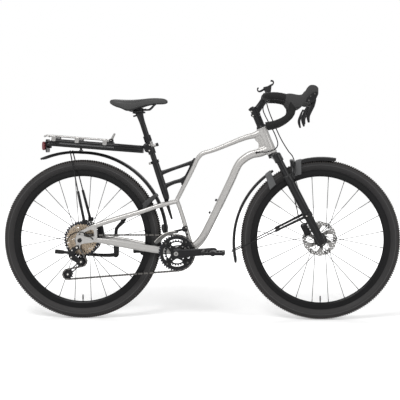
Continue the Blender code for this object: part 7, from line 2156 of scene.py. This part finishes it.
@dataclass
class Drive:
    """The drive: cranks, chainrings, chain, cassette, both derailleurs and the pedals."""

    repeater: Repeater
    path: ChainPath
    crank_length: float = 0.170
    cog_teeth: Sequence[int] = (11, 13, 16, 19, 23, 28, 34, 40)
    cog_step: float = 0.0048
    cog_thickness: float = 0.0016
    pedal_y: float = 0.140
    small_teeth: int = 28
    small_y: float = -0.0425
    ring_sheet: float = 0.0018
    link_end: float = 0.0041
    link_waist: float = 0.0030
    link_sheet: float = 0.0008

    def cassette(self) -> None:
        """Stacks the toothed cogs on their core and adds the lockring."""
        parts, kinds = [], []
        for number, teeth in enumerate(self.cog_teeth):
            y = self.path.cog_y + self.cog_step * number
            phase = self.path.phase(1) if number == 0 else 0.21 * number
            radius, holes = pitch_radius(teeth), [circle(0.0165, 32)]
            if radius > 0.034:
                arms, inner, outer = 6, 0.0215, radius - 0.0105
                for i in range(arms):
                    middle, sweep = 60 * i + 9 * number, 20
                    window = [at_angle(middle - sweep + 2 * sweep * t / 6, outer) for t in range(7)]
                    window += [at_angle(middle + sweep * 0.75 - 2 * sweep * 0.75 * t / 4 + 12, inner)
                               for t in range(5)]
                    holes.append(window)
                count = teeth // 2
                holes += [circle(0.0017, 8, at_angle(360 * i / count + 4 * number, radius - 0.0070))
                          for i in range(count)]
            parts.append(
                plate(gear_outline(teeth, phase), holes, self.cog_thickness, side_plane(y, REAR_AXLE)))
            kinds.append(1 if number == len(self.cog_teeth) - 1 else 0)
        core = turned([(0.0064, -0.0672), (0.0170, -0.0672), (0.0170, -0.0205), (0.0064, -0.0205)],
                      REAR_AXLE, Y, 48, ring=True)
        lock = turned(
            eased([(0.0064, -0.0705), (0.0100, -0.0705), (0.0112, -0.0680), (0.0160, -0.0674),
                   (0.0160, -0.0660), (0.0064, -0.0660)], 0.0004, True), REAR_AXLE, Y, 48, ring=True)
        dressed("cassette_cogs", gathered([*parts, core, lock], (*kinds, 1, 0)), (COG_TAN, COG_DARK),
                "cassette_cluster", ("cassette",), sharp=30)

    def rings(self) -> None:
        """Builds both chainrings: black inner plates, dark toothed bands and four bolts."""
        parts, kinds = [], []
        large = (self.path.ring_teeth, self.path.phase(0), self.path.ring_y, 0.062, 0.042, 0.0745)
        small = (self.small_teeth, 0.1, self.small_y, 0.0475, 0.040, 0.0515)
        for teeth, phase, y, inner, tab, edge in (large, small):
            parts.append(plate(gear_outline(teeth, phase), [circle(edge, 96)], self.ring_sheet,
                               side_plane(y, BRACKET)))
            kinds.append(1)
            hole = []
            for i in range(4):
                middle = 45 + 90 * i
                for radius, angle in (
                        (inner, middle - 45), (inner, middle - 38), (inner, middle - 30),
                        (inner, middle - 22), (inner - 0.002, middle - 16), (tab + 0.002, middle - 10),
                        (tab, middle - 6), (tab, middle), (tab, middle + 6), (tab + 0.002, middle + 10),
                        (inner - 0.002, middle + 16), (inner, middle + 22), (inner, middle + 30),
                        (inner, middle + 38)):
                    hole.append(at_angle(angle + CRANK_ANGLE, radius))
            parts.append(plate(circle(edge, 96), [hole], self.ring_sheet, side_plane(y, BRACKET)))
            kinds.append(0)
        dressed("chainring_pair", gathered(parts, kinds), (BLACK_ALLOY, COG_DARK), "crankset",
                ("chainrings",), sharp=30)
        spots = [Spot(BRACKET + heading(45 + 90 * i + CRANK_ANGLE) * 0.0655 + Y * -0.0558, facing(-Y))
                 for i in range(4)]
        self.repeater.dress("chainring_bolts", bolt_head(0.0042, 0.0026), spots, GUIDE_STEEL, "crankset")

    def crank(self, hand: int, word: str) -> None:
        """Forges one crank with its centre bolt, and on the right its slotted spider.

        Args:
            hand: -1 for the right, 1 for the left.
            word: The side's name.
        """
        out = CRANK_OUT if hand < 0 else -CRANK_OUT
        end = BRACKET + out * self.crank_length
        rows = [(-0.019, 0.0765, 0.016, 0.026), (-0.010, 0.0765, 0.020, 0.043), (0.012, 0.0770, 0.021, 0.043),
                (0.050, 0.0795, 0.016, 0.036), (0.130, 0.0835, 0.0145, 0.032)]
        tip = [(end + Y * hand * 0.0845, 0.014, 0.032), (end + out * 0.014 + Y * hand * 0.0845, 0.012, 0.020)]
        arm = swept([(BRACKET + out * along + Y * hand * y, wide, high) for along, y, wide, high in rows]
                    + tip, 32, 3.0)
        pin = bar(end + Y * hand * 0.086, end + Y * hand * 0.176, 0.0057, 32)
        if hand < 0:
            low, high = -0.0700, -0.0502
            outline, holes = [], []
            for i in range(4):
                for turn, radius in (
                        (-45, 0.026), (-31, 0.029), (-20, 0.036), (-12, 0.050), (-8, 0.064), (-4, 0.0705),
                        (4, 0.0705), (8, 0.064), (12, 0.050), (20, 0.036), (31, 0.029)):
                    outline.append(at_angle(45 + 90 * i + CRANK_ANGLE + turn, radius))
                holes.append(slot_outline(0.022, 0.0065, at_angle(45 + 90 * i + CRANK_ANGLE, 0.047),
                                          45 + 90 * i + CRANK_ANGLE))
            spider = plate(outline, holes, 0.0058, side_plane(-0.0532, BRACKET), 0.0009)
            hub = turned(eased([(0, low), (0.020, low), (0.021, -0.058), (0.020, high), (0, high)], 0.001),
                         BRACKET, Y, 56)
            body = gathered([fused([arm, hub], 0.0010, 5), spider, pin])
        else:
            collar = turned(
                eased([(0, 0.0405), (0.0185, 0.0405), (0.019, 0.070), (0, 0.070)], 0.001), BRACKET, Y, 56)
            body = gathered([fused([arm, collar], 0.0010, 5), pin])
        dressed("crank_arm_" + word, body, (BLACK_ALLOY,), "crankset", ("crank_" + word,), sharp=50)
        face = hand * 0.0872
        low, high = (face, face + 0.0022) if hand > 0 else (face - 0.0008, face + 0.0018)
        cap = hoop(0.0035, 0.0098, low, high, BRACKET, Y, 40, 0.0005)
        dressed("crank_centre_bolt_" + word, cap, (SILVER_ALLOY,), "crankset")

    def chain(self) -> None:
        """Links the chain: bright outer plates, dark inner plates, rollers and rivets along the path."""
        outline = [(PITCH / 2 + self.link_end * math.cos(a), self.link_end * math.sin(a))
                   for a in [math.radians(-105 + 35 * t) for t in range(7)]]
        outline += [(0.0, self.link_waist)] + [(-x, -z) for x, z in outline] + [(0.0, -self.link_waist)]
        outer, inner = [gathered([plate(outline, [], self.link_sheet, Matrix.Translation((0, 0, z)))
                                  for z in (-apart, apart)]) for apart in (0.0028, 0.0019)]
        roller = turned(
            [(0, -0.0015), (0.0038, -0.0015), (0.0038, 0.0015), (0, 0.0015)], Vector((0, 0, 0)), Z, 12)
        rivet = turned(
            [(0, -0.0034), (0.0016, -0.0034), (0.0016, 0.0034), (0, 0.0034)], Vector((0, 0, 0)), Z, 8)
        spots, pins = ([], []), []
        for link in range(self.path.links):
            first, second = self.path.place(link), self.path.place(link + 1)
            spots[link % 2].append(Spot((first + second) / 2, facing(Y, second - first)))
            pins.append(Spot(first, facing(Y, second - first)))
        self.repeater.dress("chain_outer_links", outer, spots[0], CHAIN_SILVER, "frame", ("chain",))
        self.repeater.dress("chain_inner_links", inner, spots[1], CHAIN_DARK, "frame")
        self.repeater.dress("chain_rollers", roller, pins, CHAIN_DARK, "frame")
        self.repeater.dress("chain_rivets", rivet, pins, CHAIN_SILVER, "frame")

    def rear_derailleur(self) -> None:
        """Builds the linkage body, the slotted cage and the two toothed pulleys."""
        hanger = REAR_AXLE + side(-0.010, -0.031)
        link = swept(
            [(hanger + side(-0.002, -0.002, -0.0865), 0.013, 0.016),
             (hanger + side(-0.022, -0.018, -0.0870), 0.0135, 0.026),
             (hanger + side(-0.024, -0.040, -0.0825), 0.017, 0.027),
             (GUIDE_AT + side(-0.018, 0.008, -0.0765), 0.013, 0.024),
             (GUIDE_AT + side(0.0, 0.000, -0.0755), 0.012, 0.018)], 28, 3.0)
        upper = disc(0.0095, -0.0935, -0.0800, hanger, 40, 0.0010)
        knuckle = disc(0.0125, -0.0830, -0.0680, GUIDE_AT, 44, 0.0010)
        dressed("mech_linkage", fused([link, upper, knuckle], 0.0009, 4), (BLACK_ALLOY,), "frame",
                ("rear_derailleur",), sharp=60)
        spots = [Spot(hanger + Y * -0.0934, facing(-Y)), Spot(GUIDE_AT + Y * -0.0829, facing(-Y)),
                 Spot(hanger + side(-0.022, -0.012, -0.0936), facing(-Y), (0.7, 0.7, 0.6)),
                 Spot(hanger + side(-0.026, -0.044, -0.0905), facing(-Y), (0.7, 0.7, 0.6))]
        self.repeater.dress("mech_bolts", bolt_head(0.0046, 0.0022), spots, STEEL, "frame")
        far, along = self.path.cage_length, heading(self.path.cage_angle)
        up = -ahead_of(along)
        outline = [
            (-0.013, 0.0), (-0.0115, 0.006), (-0.007, 0.0107), (0.000, 0.0125), (0.008, 0.0122),
            (0.018, 0.0100), (0.030, 0.009), (far - 0.022, 0.009), (far - 0.010, 0.0105), (far, 0.0125),
            (far + 0.0075, 0.0105), (far + 0.0118, 0.005)]
        outline += [(far + 0.0125, 0.0)] + [(x, -y) for x, y in reversed(outline[1:])]
        hole = slot_outline(far - 0.046, 0.0085, (far / 2, 0.0))
        sheets = [
            plate(outline, [hole], 0.0015, basis(along, up,
                                                 GUIDE_AT + Y * (self.path.cog_y + hand * 0.00415)), 0.0003)
            for hand in (-1, 1)]
        pins = [disc(0.0023, -0.0668, -0.0572, place, 20) for place in (GUIDE_AT, self.path.tension_at)]
        dressed("mech_cage_plates", gathered([*sheets, *pins]), (BLACK_ALLOY,), "derailleur_arm",
                ("derailleur_cage",), sharp=40)
        spots = [Spot(self.path.tension_at + Y * -0.0669, facing(-Y)),
                 Spot(GUIDE_AT + along * 0.012 + Y * -0.0669, facing(-Y), (0.5, 0.5, 0.5))]
        self.repeater.dress("cage_bolts", bolt_head(0.0042, 0.0016), spots, STEEL, "derailleur_arm")
        for number, node, body, centre in (
                (2, "guide_pulley", "guide_wheel", GUIDE_AT),
                (3, "tension_pulley", "tension_wheel", self.path.tension_at)):
            holes = [circle(0.0029, 20)] + [circle(0.0024, 12, at_angle(60 * i, 0.0095)) for i in range(6)]
            outline = gear_outline(self.path.pulley_teeth, self.path.phase(number))
            wheel = plate(outline, holes, self.ring_sheet, side_plane(self.path.cog_y, centre), 0.0002)
            boss = hoop(
                0.0029, 0.0058, -0.0026, 0.0026, side(centre.x, centre.z, self.path.cog_y), Y, 32, 0.0004)
            dressed(node + "_wheel", gathered([wheel, boss], (0, 1)), (HOSE, SILVER_ALLOY), body, (node,),
                    sharp=35)

    def front_derailleur(self) -> None:
        """Builds the front mech: cage plates with their ties and rim, sleeve, arm, body and bolts."""
        outline = [
            at_angle(a, r) for a, r in ((88, 0.0885), (86, 0.0925), (87, 0.096), (93, 0.0987),
                                        (100, 0.1005), (109, 0.1018), (118, 0.103), (127, 0.1045),
                                        (136, 0.106), (143, 0.1085), (150, 0.111), (155, 0.113),
                                        (156, 0.106), (155, 0.099), (148, 0.0915), (142, 0.0895),
                                        (136, 0.0885), (124, 0.0884), (112, 0.0885), (98, 0.0885))]
        sheets = [plate(outline, [], 0.0012, side_plane(self.path.ring_y + hand * 0.0062, BRACKET), 0.0003)
                  for hand in (-1, 1)]
        ties = [swept([(BRACKET + heading(a) * r + Y * -0.0556, 0.010, 0.0036),
                       (BRACKET + heading(a) * r + Y * -0.0424, 0.010, 0.0036)], 20, 4.0, X, 1)
                for a, r in ((95, 0.0965), (150, 0.107))]
        sleeve = disc(0.0064, -0.051, -0.0382, FRONT_MECH_AT, 32)
        arm = swept([(FRONT_MECH_AT + Y * -0.043, 0.008, 0.010),
                     (BRACKET + heading(99) * 0.0965 + Y * -0.0428, 0.006, 0.010)], 20, 3.0, steps=2)
        rim = rod([BRACKET + heading(a) * r + Y * -0.0558
                   for a, r in ((94, 0.0988), (109, 0.1018), (127, 0.1045), (143, 0.1085), (154, 0.1125))],
                  0.0014, 12, Y, 5)
        dressed("front_mech_cage", gathered([*sheets, *ties, sleeve, arm, rim], (0, 0, 0, 0, 1, 1, 2)),
                (GUIDE_STEEL, BLACK_ALLOY, STEEL), "front_shifter", ("front_cage",), sharp=40)
        dressed("front_mech_body", softened("front_mech_mount", 0.0008, 3), (BLACK_ALLOY,), "frame",
                ("front_mech_mount",), sharp=60)
        spots = [Spot(FRONT_MECH_AT + side(0.010, 0.006, -0.0300), facing(-Y)),
                 Spot(FRONT_MECH_AT + side(-0.004, -0.008, -0.0300), facing(-Y))]
        self.repeater.dress("front_mech_bolts", bolt_head(0.0026, 0.0020), spots, STEEL, "frame")

    def pedal(self, hand: int, word: str) -> None:
        """Builds one platform pedal: open deck, raised pads, bars, barrel and pins.

        Args:
            hand: -1 for the right, 1 for the left.
            word: The side's name.
        """
        out = CRANK_OUT if hand < 0 else -CRANK_OUT
        centre = BRACKET + out * self.crank_length + Y * hand * self.pedal_y
        long, wide = 0.052, 0.044
        outline = eased(
            [(-long, -wide * 0.74), (-long * 0.82, -wide), (long * 0.82, -wide), (long, -wide * 0.74),
             (long, wide * 0.74), (long * 0.82, wide), (-long * 0.82, wide), (-long, wide * 0.74)], 0.004,
            True)
        holes = [eased([(s * long * 0.26, -wide * 0.72), (s * long * 0.78, -wide * 0.72),
                        (s * long * 0.82, wide * 0.72), (s * long * 0.26, wide * 0.72)], 0.004, True)
                 for s in (-1, 1)]
        deck = plate(outline, holes, 0.0136, basis(X, Y, centre), 0.0014)
        pads = [swept(placed(about(centre), (s * (long - 0.008), 0, -wide * 0.70, 0.011, 0.0196),
                             (s * (long - 0.008), 0, wide * 0.70, 0.011, 0.0196)), 24, 4.0, X, 1, 0.0010)
                for s in (-1, 1)]
        bars = [swept(placed(about(centre), (s * long * 0.53, 0, -wide * 0.80, 0.0050, 0.0110),
                             (s * long * 0.53, 0, wide * 0.80, 0.0050, 0.0110)), 20, 3.0, X, 1)
                for s in (-1, 1)]
        low, high = sorted((hand * 0.0940, centre.y + hand * wide * 0.98))
        barrel = turned(eased([(0.0061, low), (0.0085, low),
                               (0.0088, (low * 0.72 + high * 0.28) if hand > 0 else low + 0.001),
                               (0.0113, (low * 0.6 + high * 0.4) if hand > 0 else low + 0.002),
                               (0.0113, high - 0.002 if hand > 0 else (low * 0.4 + high * 0.6)),
                               (0.0085, high if hand > 0 else (low * 0.3 + high * 0.7)), (0.0085, high),
                               (0.0061, high)], 0.0006, True), side(centre.x, centre.z), Y, 40, ring=True)
        body = f"pedal_{word}_body"
        dressed("pedal_deck_" + word, gathered([deck, *pads, *bars, barrel]), (MOULDED,), body,
                ("pedal_" + word,), sharp=45)
        spots = [Spot(centre + side(s * (long - 0.008), up * 0.0092, y * wide), facing(Z * up))
                 for s in (-1, 1) for up in (-1, 1) for y in (-0.6, -0.2, 0.2, 0.6)]
        self.repeater.dress("pedal_pins_" + word, peg(0.0016, 0.0011, 8), spots, STEEL, body)

    def build(self) -> None:
        """Builds the drive."""
        self.cassette()
        self.rings()
        for hand, word in HANDS:
            self.crank(hand, word)
            self.pedal(hand, word)
        self.chain()
        self.rear_derailleur()
        self.front_derailleur()


# Rear axle, brake, stand and hoses
@dataclass
class Fittings:
    """The rear axle and caliper, the kickstand, the hoses and the housings."""

    repeater: Repeater
    hose_radius: float = 0.0025
    housing_radius: float = 0.0022
    stand_tilt: float = 15.0

    def rear_end(self) -> None:
        """Builds the rear axle, and the rear caliper with its bolts."""
        axle = turned(eased([(0, -0.0856), (0.0070, -0.0856), (0.0095, -0.0836), (0.0095, -0.0797),
                             (0.0058, -0.0797), (0.0058, 0.0796), (0, 0.0796)], 0.0005), REAR_AXLE, Y, 40)
        dressed("rear_through_axle", axle, (BLACK_ALLOY,), "frame", ("rear_axle",))
        dressed("rear_caliper_body", softened("rear_caliper", 0.0009, 3), (BLACK_ALLOY,), "frame",
                ("rear_caliper",), sharp=60)
        middle = REAR_AXLE + side(0.0735, 0.031, 0.052)
        spots = [Spot(middle + heading(100) * rise + Y * 0.0125, facing(Y)) for rise in (-0.017, 0.017)]
        self.repeater.dress("rear_caliper_bolts", bolt_head(0.0040, 0.0040), spots, STEEL, "frame")

    def stand(self) -> None:
        """Builds the kickstand: bracket, leg, rubber foot and pivot bolt."""
        tilt = math.radians(self.stand_tilt)
        axis = Vector((0, math.cos(tilt), math.sin(tilt)))
        low = REAR_AXLE + side(0.1405, -0.0475, 0.0830)
        arm = swept(
            [(REAR_AXLE + side(0.182, 0.100, 0.0700), 0.011, 0.026),
             (REAR_AXLE + side(0.170, 0.070, 0.0750), 0.010, 0.020),
             (REAR_AXLE + side(0.1415, 0.036, 0.0790), 0.010, 0.016),
             (REAR_AXLE + side(0.1405, -0.020, 0.0810), 0.012, 0.018), (low + side(0, 0.012), 0.018, 0.026),
             (low + side(0, -0.040), 0.016, 0.024)], 28, 3.0)
        seat_of_hub = bar(STAND_PIVOT - axis * 0.0078, STAND_PIVOT + axis * 0.030, 0.0134, 40)
        dressed("stand_bracket_arm", fused([arm], 0.0011, 4, [seat_of_hub]), (BLACK_ALLOY,), "frame",
                ("stand_bracket",), sharp=60)
        leg_shape = swept(
            placed(about(STAND_PIVOT), (0, 0, 0, 0.011, 0.018), (-0.035, -0.004, 0.0025, 0.011, 0.017),
                   (-0.100, -0.002, 0.0035, 0.010, 0.015), (-0.252, 0.010, 0.0015, 0.010, 0.014)), 28, 2.4)
        hub = bar(STAND_PIVOT - axis * 0.0075, STAND_PIVOT + axis * 0.0075, 0.0128, 48, 0.001)
        dressed("stand_leg_bar", fused([leg_shape, hub], 0.0010, 4), (GLOSS_BLACK,), "kickstand",
                ("stand_leg",), sharp=60)
        foot = swept(
            placed(about(STAND_PIVOT), (-0.244, 0.0095, 0.0015, 0.0115, 0.0165),
                   (-0.262, 0.011, 0.0015, 0.013, 0.020), (-0.286, 0.013, 0.0010, 0.013, 0.0195)), 28, 2.6,
            steps=4, dome=0.0015)
        dressed("stand_foot", foot, (FOOT_RUBBER,), "kickstand", sharp=60)
        spots = [Spot(STAND_PIVOT + axis * 0.0073, facing(axis))]
        self.repeater.dress("stand_bolt", bolt_head(0.0052, 0.0024), spots, STEEL, "kickstand")

    def hoses(self) -> None:
        """Lays the hoses and housings, and leaves the two that cross joints on no body."""
        front = [
            BAR_AT + side(0.0010, -0.0150, 0.0744), BAR_AT + side(0.004, -0.0200, 0.055),
            BAR_AT + side(0.012, -0.050, 0.030), BAR_AT + side(0.028, -0.093, 0.020),
            head(0.050, 0.062, 0.022), head(-0.018, 0.072, 0.034), leg(0.388, 0.064, 0.052),
            leg(0.340, 0.052, 0.080), leg(0.290, 0.012, 0.0905), leg(0.230, -0.012, 0.0900),
            leg(0.165, -0.030, 0.0830), leg(0.125, -0.041, 0.0640), leg(0.0985, -0.038, 0.050)]
        piece = dressed("front_brake_line", rod(front, self.hose_radius, 14, None, 10), (HOSE,), None,
                        ("front_brake_hose",), sharp=80)
        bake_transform(piece)
        port = HEAD_LOW + side(-0.072, 0.002, -0.0224)
        rear = [BAR_AT + side(-0.002, -0.0150, -0.0744), BAR_AT + side(-0.003, -0.0210, -0.056),
                BAR_AT + side(-0.012, -0.055, -0.042), head(0.140, 0.038, -0.030),
                head(0.080, 0.044, -0.032), head(0.030, 0.040, -0.036), head(0.012, 0.018, -0.0435),
                head(0.014, -0.020, -0.0420), port + side(0.022, 0.003, -0.0125), port]
        piece = dressed("rear_brake_line", rod(rear, self.hose_radius, 14, None, 10), (HOSE,), None,
                        ("rear_brake_hose",), sharp=80)
        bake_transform(piece)
        grommet = turned(
            eased([(0.0026, -0.001), (0.0052, -0.001), (0.0046, 0.0030), (0.0026, 0.0036)], 0.0005, True),
            port, side(0.022, 0.003, -0.0125), 28, ring=True)
        dressed("hose_port_grommet", grommet, (HOSE,), "frame")
        loop = [
            REAR_AXLE + side(x, z, y) for x, z, y in ((0.062, 0.004, -0.0818), (0.050, 0.016, -0.0850),
                                                      (0.012, 0.037, -0.0900), (-0.022, 0.034, -0.0920),
                                                      (-0.048, 0.012, -0.0920), (-0.057, -0.018, -0.0900),
                                                      (-0.052, -0.040, -0.0870),
                                                      (-0.0460, -0.0490, -0.0855))]
        ferrule = bar(loop[-1], loop[-1] + (loop[-2] - loop[-1]).normalized() * 0.010, 0.0029, 24, 0.0004)
        dressed("rear_mech_housing", gathered([rod(loop, self.housing_radius, 14, None, 10), ferrule]),
                (HOSE,), "frame", ("mech_housing",), sharp=60)
        short = [JUNCTION + side(-0.0208, -0.0828), JUNCTION + side(-0.0180, -0.0930, -0.001),
                 JUNCTION + side(-0.011, -0.110, -0.007), FRONT_MECH_AT + side(-0.006, 0.0255, -0.0190),
                 FRONT_MECH_AT + side(0.000, 0.0125, -0.0255)]
        dressed("front_mech_wire", rod(short, 0.0012, 10, None, 8), (STEEL,), "frame",
                ("front_mech_cable",), sharp=80)

    def build(self) -> None:
        """Builds the fittings."""
        self.rear_end()
        self.stand()
        self.hoses()


# Studio
@dataclass
class Studio:
    """The pale floor, the even light and the camera at the photograph's angle."""

    floor_size: float = 14.0
    camera_at: Vector = Vector((0.288, -4.2, 0.805))
    lens: float = 82.9
    yaw: float = 2.0
    shift: Pair = (-0.080, -0.145)
    floor_colour: tuple[float, float, float, float] = (0.86, 0.86, 0.86, 1.0)
    dim: float = 0.36
    fade: Pair = (0.9, 3.4)
    lit: Vector = Vector((0, 0, 0.5))

    def shown_white(self, nodes: bpy.types.Nodes, links: bpy.types.NodeLinks) -> bpy.types.Node:
        """A mask of the rays that see the white background: from the camera, off metal and through glass.

        Args:
            nodes: The nodes of the material or world.
            links: Its links.

        Returns:
            The node whose first output is the mask.
        """
        rays = nodes.new("ShaderNodeLightPath")
        metal, glass = [added(nodes, "ShaderNodeMath", operation="MAXIMUM") for _ in range(2)]
        wired(links, (rays, "Is Camera Ray", metal, 0), (rays, "Is Glossy Ray", metal, 1),
              (metal, 0, glass, 0), (rays, "Is Transmission Ray", glass, 1))
        return glass

    def floor(self) -> None:
        """Lays the floor, which shows white to the camera and to reflections but keeps the shadow."""
        shape = bmesh.new()
        bmesh.ops.create_grid(shape, x_segments=8, y_segments=8, size=self.floor_size / 2)
        data = bpy.data.meshes.new("studio_floor")
        shape.to_mesh(data)
        shape.free()
        material = bpy.data.materials.new("pale_floor")
        material.use_nodes = True
        nodes, links = material.node_tree.nodes, material.node_tree.links
        shader, end = nodes["Principled BSDF"], nodes["Material Output"]
        for key, value in (
                ("Base Color", self.floor_colour), ("Roughness", 0.9), ("Specular IOR Level", 0.0)):
            shader.inputs[key].default_value = value
        glow = added(nodes, "ShaderNodeEmission", {"Color": WHITE})
        blend = nodes.new("ShaderNodeAddShader")
        share = added(nodes, "ShaderNodeMath", operation="MULTIPLY")
        place = nodes.new("ShaderNodeTexCoord")
        reach = added(nodes, "ShaderNodeVectorMath", operation="LENGTH")
        far = added(nodes, "ShaderNodeMapRange", {"From Min": self.fade[0], "From Max": self.fade[1],
                                                  "To Min": self.dim, "To Max": 1.0})
        seen = self.shown_white(nodes, links)
        wired(links, (place, "Object", reach, 0), (reach, "Value", far, "Value"), (far, "Result", share, 1),
              (seen, 0, share, 0), (share, 0, glow, "Strength"), (shader, 0, blend, 0), (glow, 0, blend, 1),
              (blend, 0, end, "Surface"))
        data.materials.append(material)
        plane = bpy.data.objects.new("studio_floor", data)
        bpy.context.collection.objects.link(plane)

    def lights(self) -> None:
        """Sets the world and three large soft lamps."""
        world = bpy.data.worlds.new("studio") if not bpy.data.worlds else bpy.data.worlds[0]
        bpy.context.scene.world = world
        world.use_nodes = True
        nodes, links = world.node_tree.nodes, world.node_tree.links
        sky = nodes["Background"]
        sky.inputs["Color"].default_value = WHITE
        strength = added(nodes, "ShaderNodeMapRange", {"To Min": self.dim, "To Max": 1.0})
        wired(links, (self.shown_white(nodes, links), 0, strength, "Value"),
              (strength, "Result", sky, "Strength"))
        for name, place, size, power in (
                ("key", Vector((-1.4, -3.2, 3.7)), 2.0, 130.0),
                ("fill", Vector((3.0, -2.8, 2.4)), 2.0, 38.0), ("rim", Vector((0.4, 3.2, 3.4)), 2.8, 50.0)):
            data = bpy.data.lights.new(name, "AREA")
            data.shape = "SQUARE"
            data.size = size
            data.energy = power
            lamp = bpy.data.objects.new(name, data)
            lamp.location = place
            lamp.rotation_euler = (self.lit - place).to_track_quat("-Z", "Y").to_euler()
            bpy.context.collection.objects.link(lamp)

    def camera(self) -> None:
        """Sets the camera level, with the small shift that the photograph's framing needs."""
        data = bpy.data.cameras.new("camera")
        data.sensor_width = 36.0
        data.lens = self.lens
        data.shift_x, data.shift_y = self.shift
        body = bpy.data.objects.new("camera", data)
        body.location = self.camera_at
        body.rotation_euler = (math.radians(90), 0.0, math.radians(self.yaw))
        bpy.context.collection.objects.link(body)
        bpy.context.scene.camera = body

    def build(self) -> None:
        """Builds the studio."""
        self.floor()
        self.lights()
        self.camera()
        bpy.context.scene.view_settings.view_transform = "Standard"


def main() -> None:
    """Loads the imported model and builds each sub-assembly in order."""
    logging.basicConfig(level=logging.INFO, format="%(name)s: %(message)s")
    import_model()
    repeater = Repeater()
    Studio().build()
    Frameset(repeater).build()
    Seat(repeater).build()
    Rack(repeater).build()
    Fenders(repeater).build()
    Wheel("rear", REAR_AXLE, rear_hub_profile(), (0.033, -0.0165), 0.053, repeater).build()
    Wheel("front", FRONT_AXLE, front_hub_profile(), (0.022, -0.033), 0.040, repeater).build()
    Fork(repeater).build()
    Cockpit(repeater).build()
    Drive(repeater, ChainPath()).build()
    Fittings(repeater).build()
    bpy.context.view_layer.update()


if __name__ == "__main__":
    main()
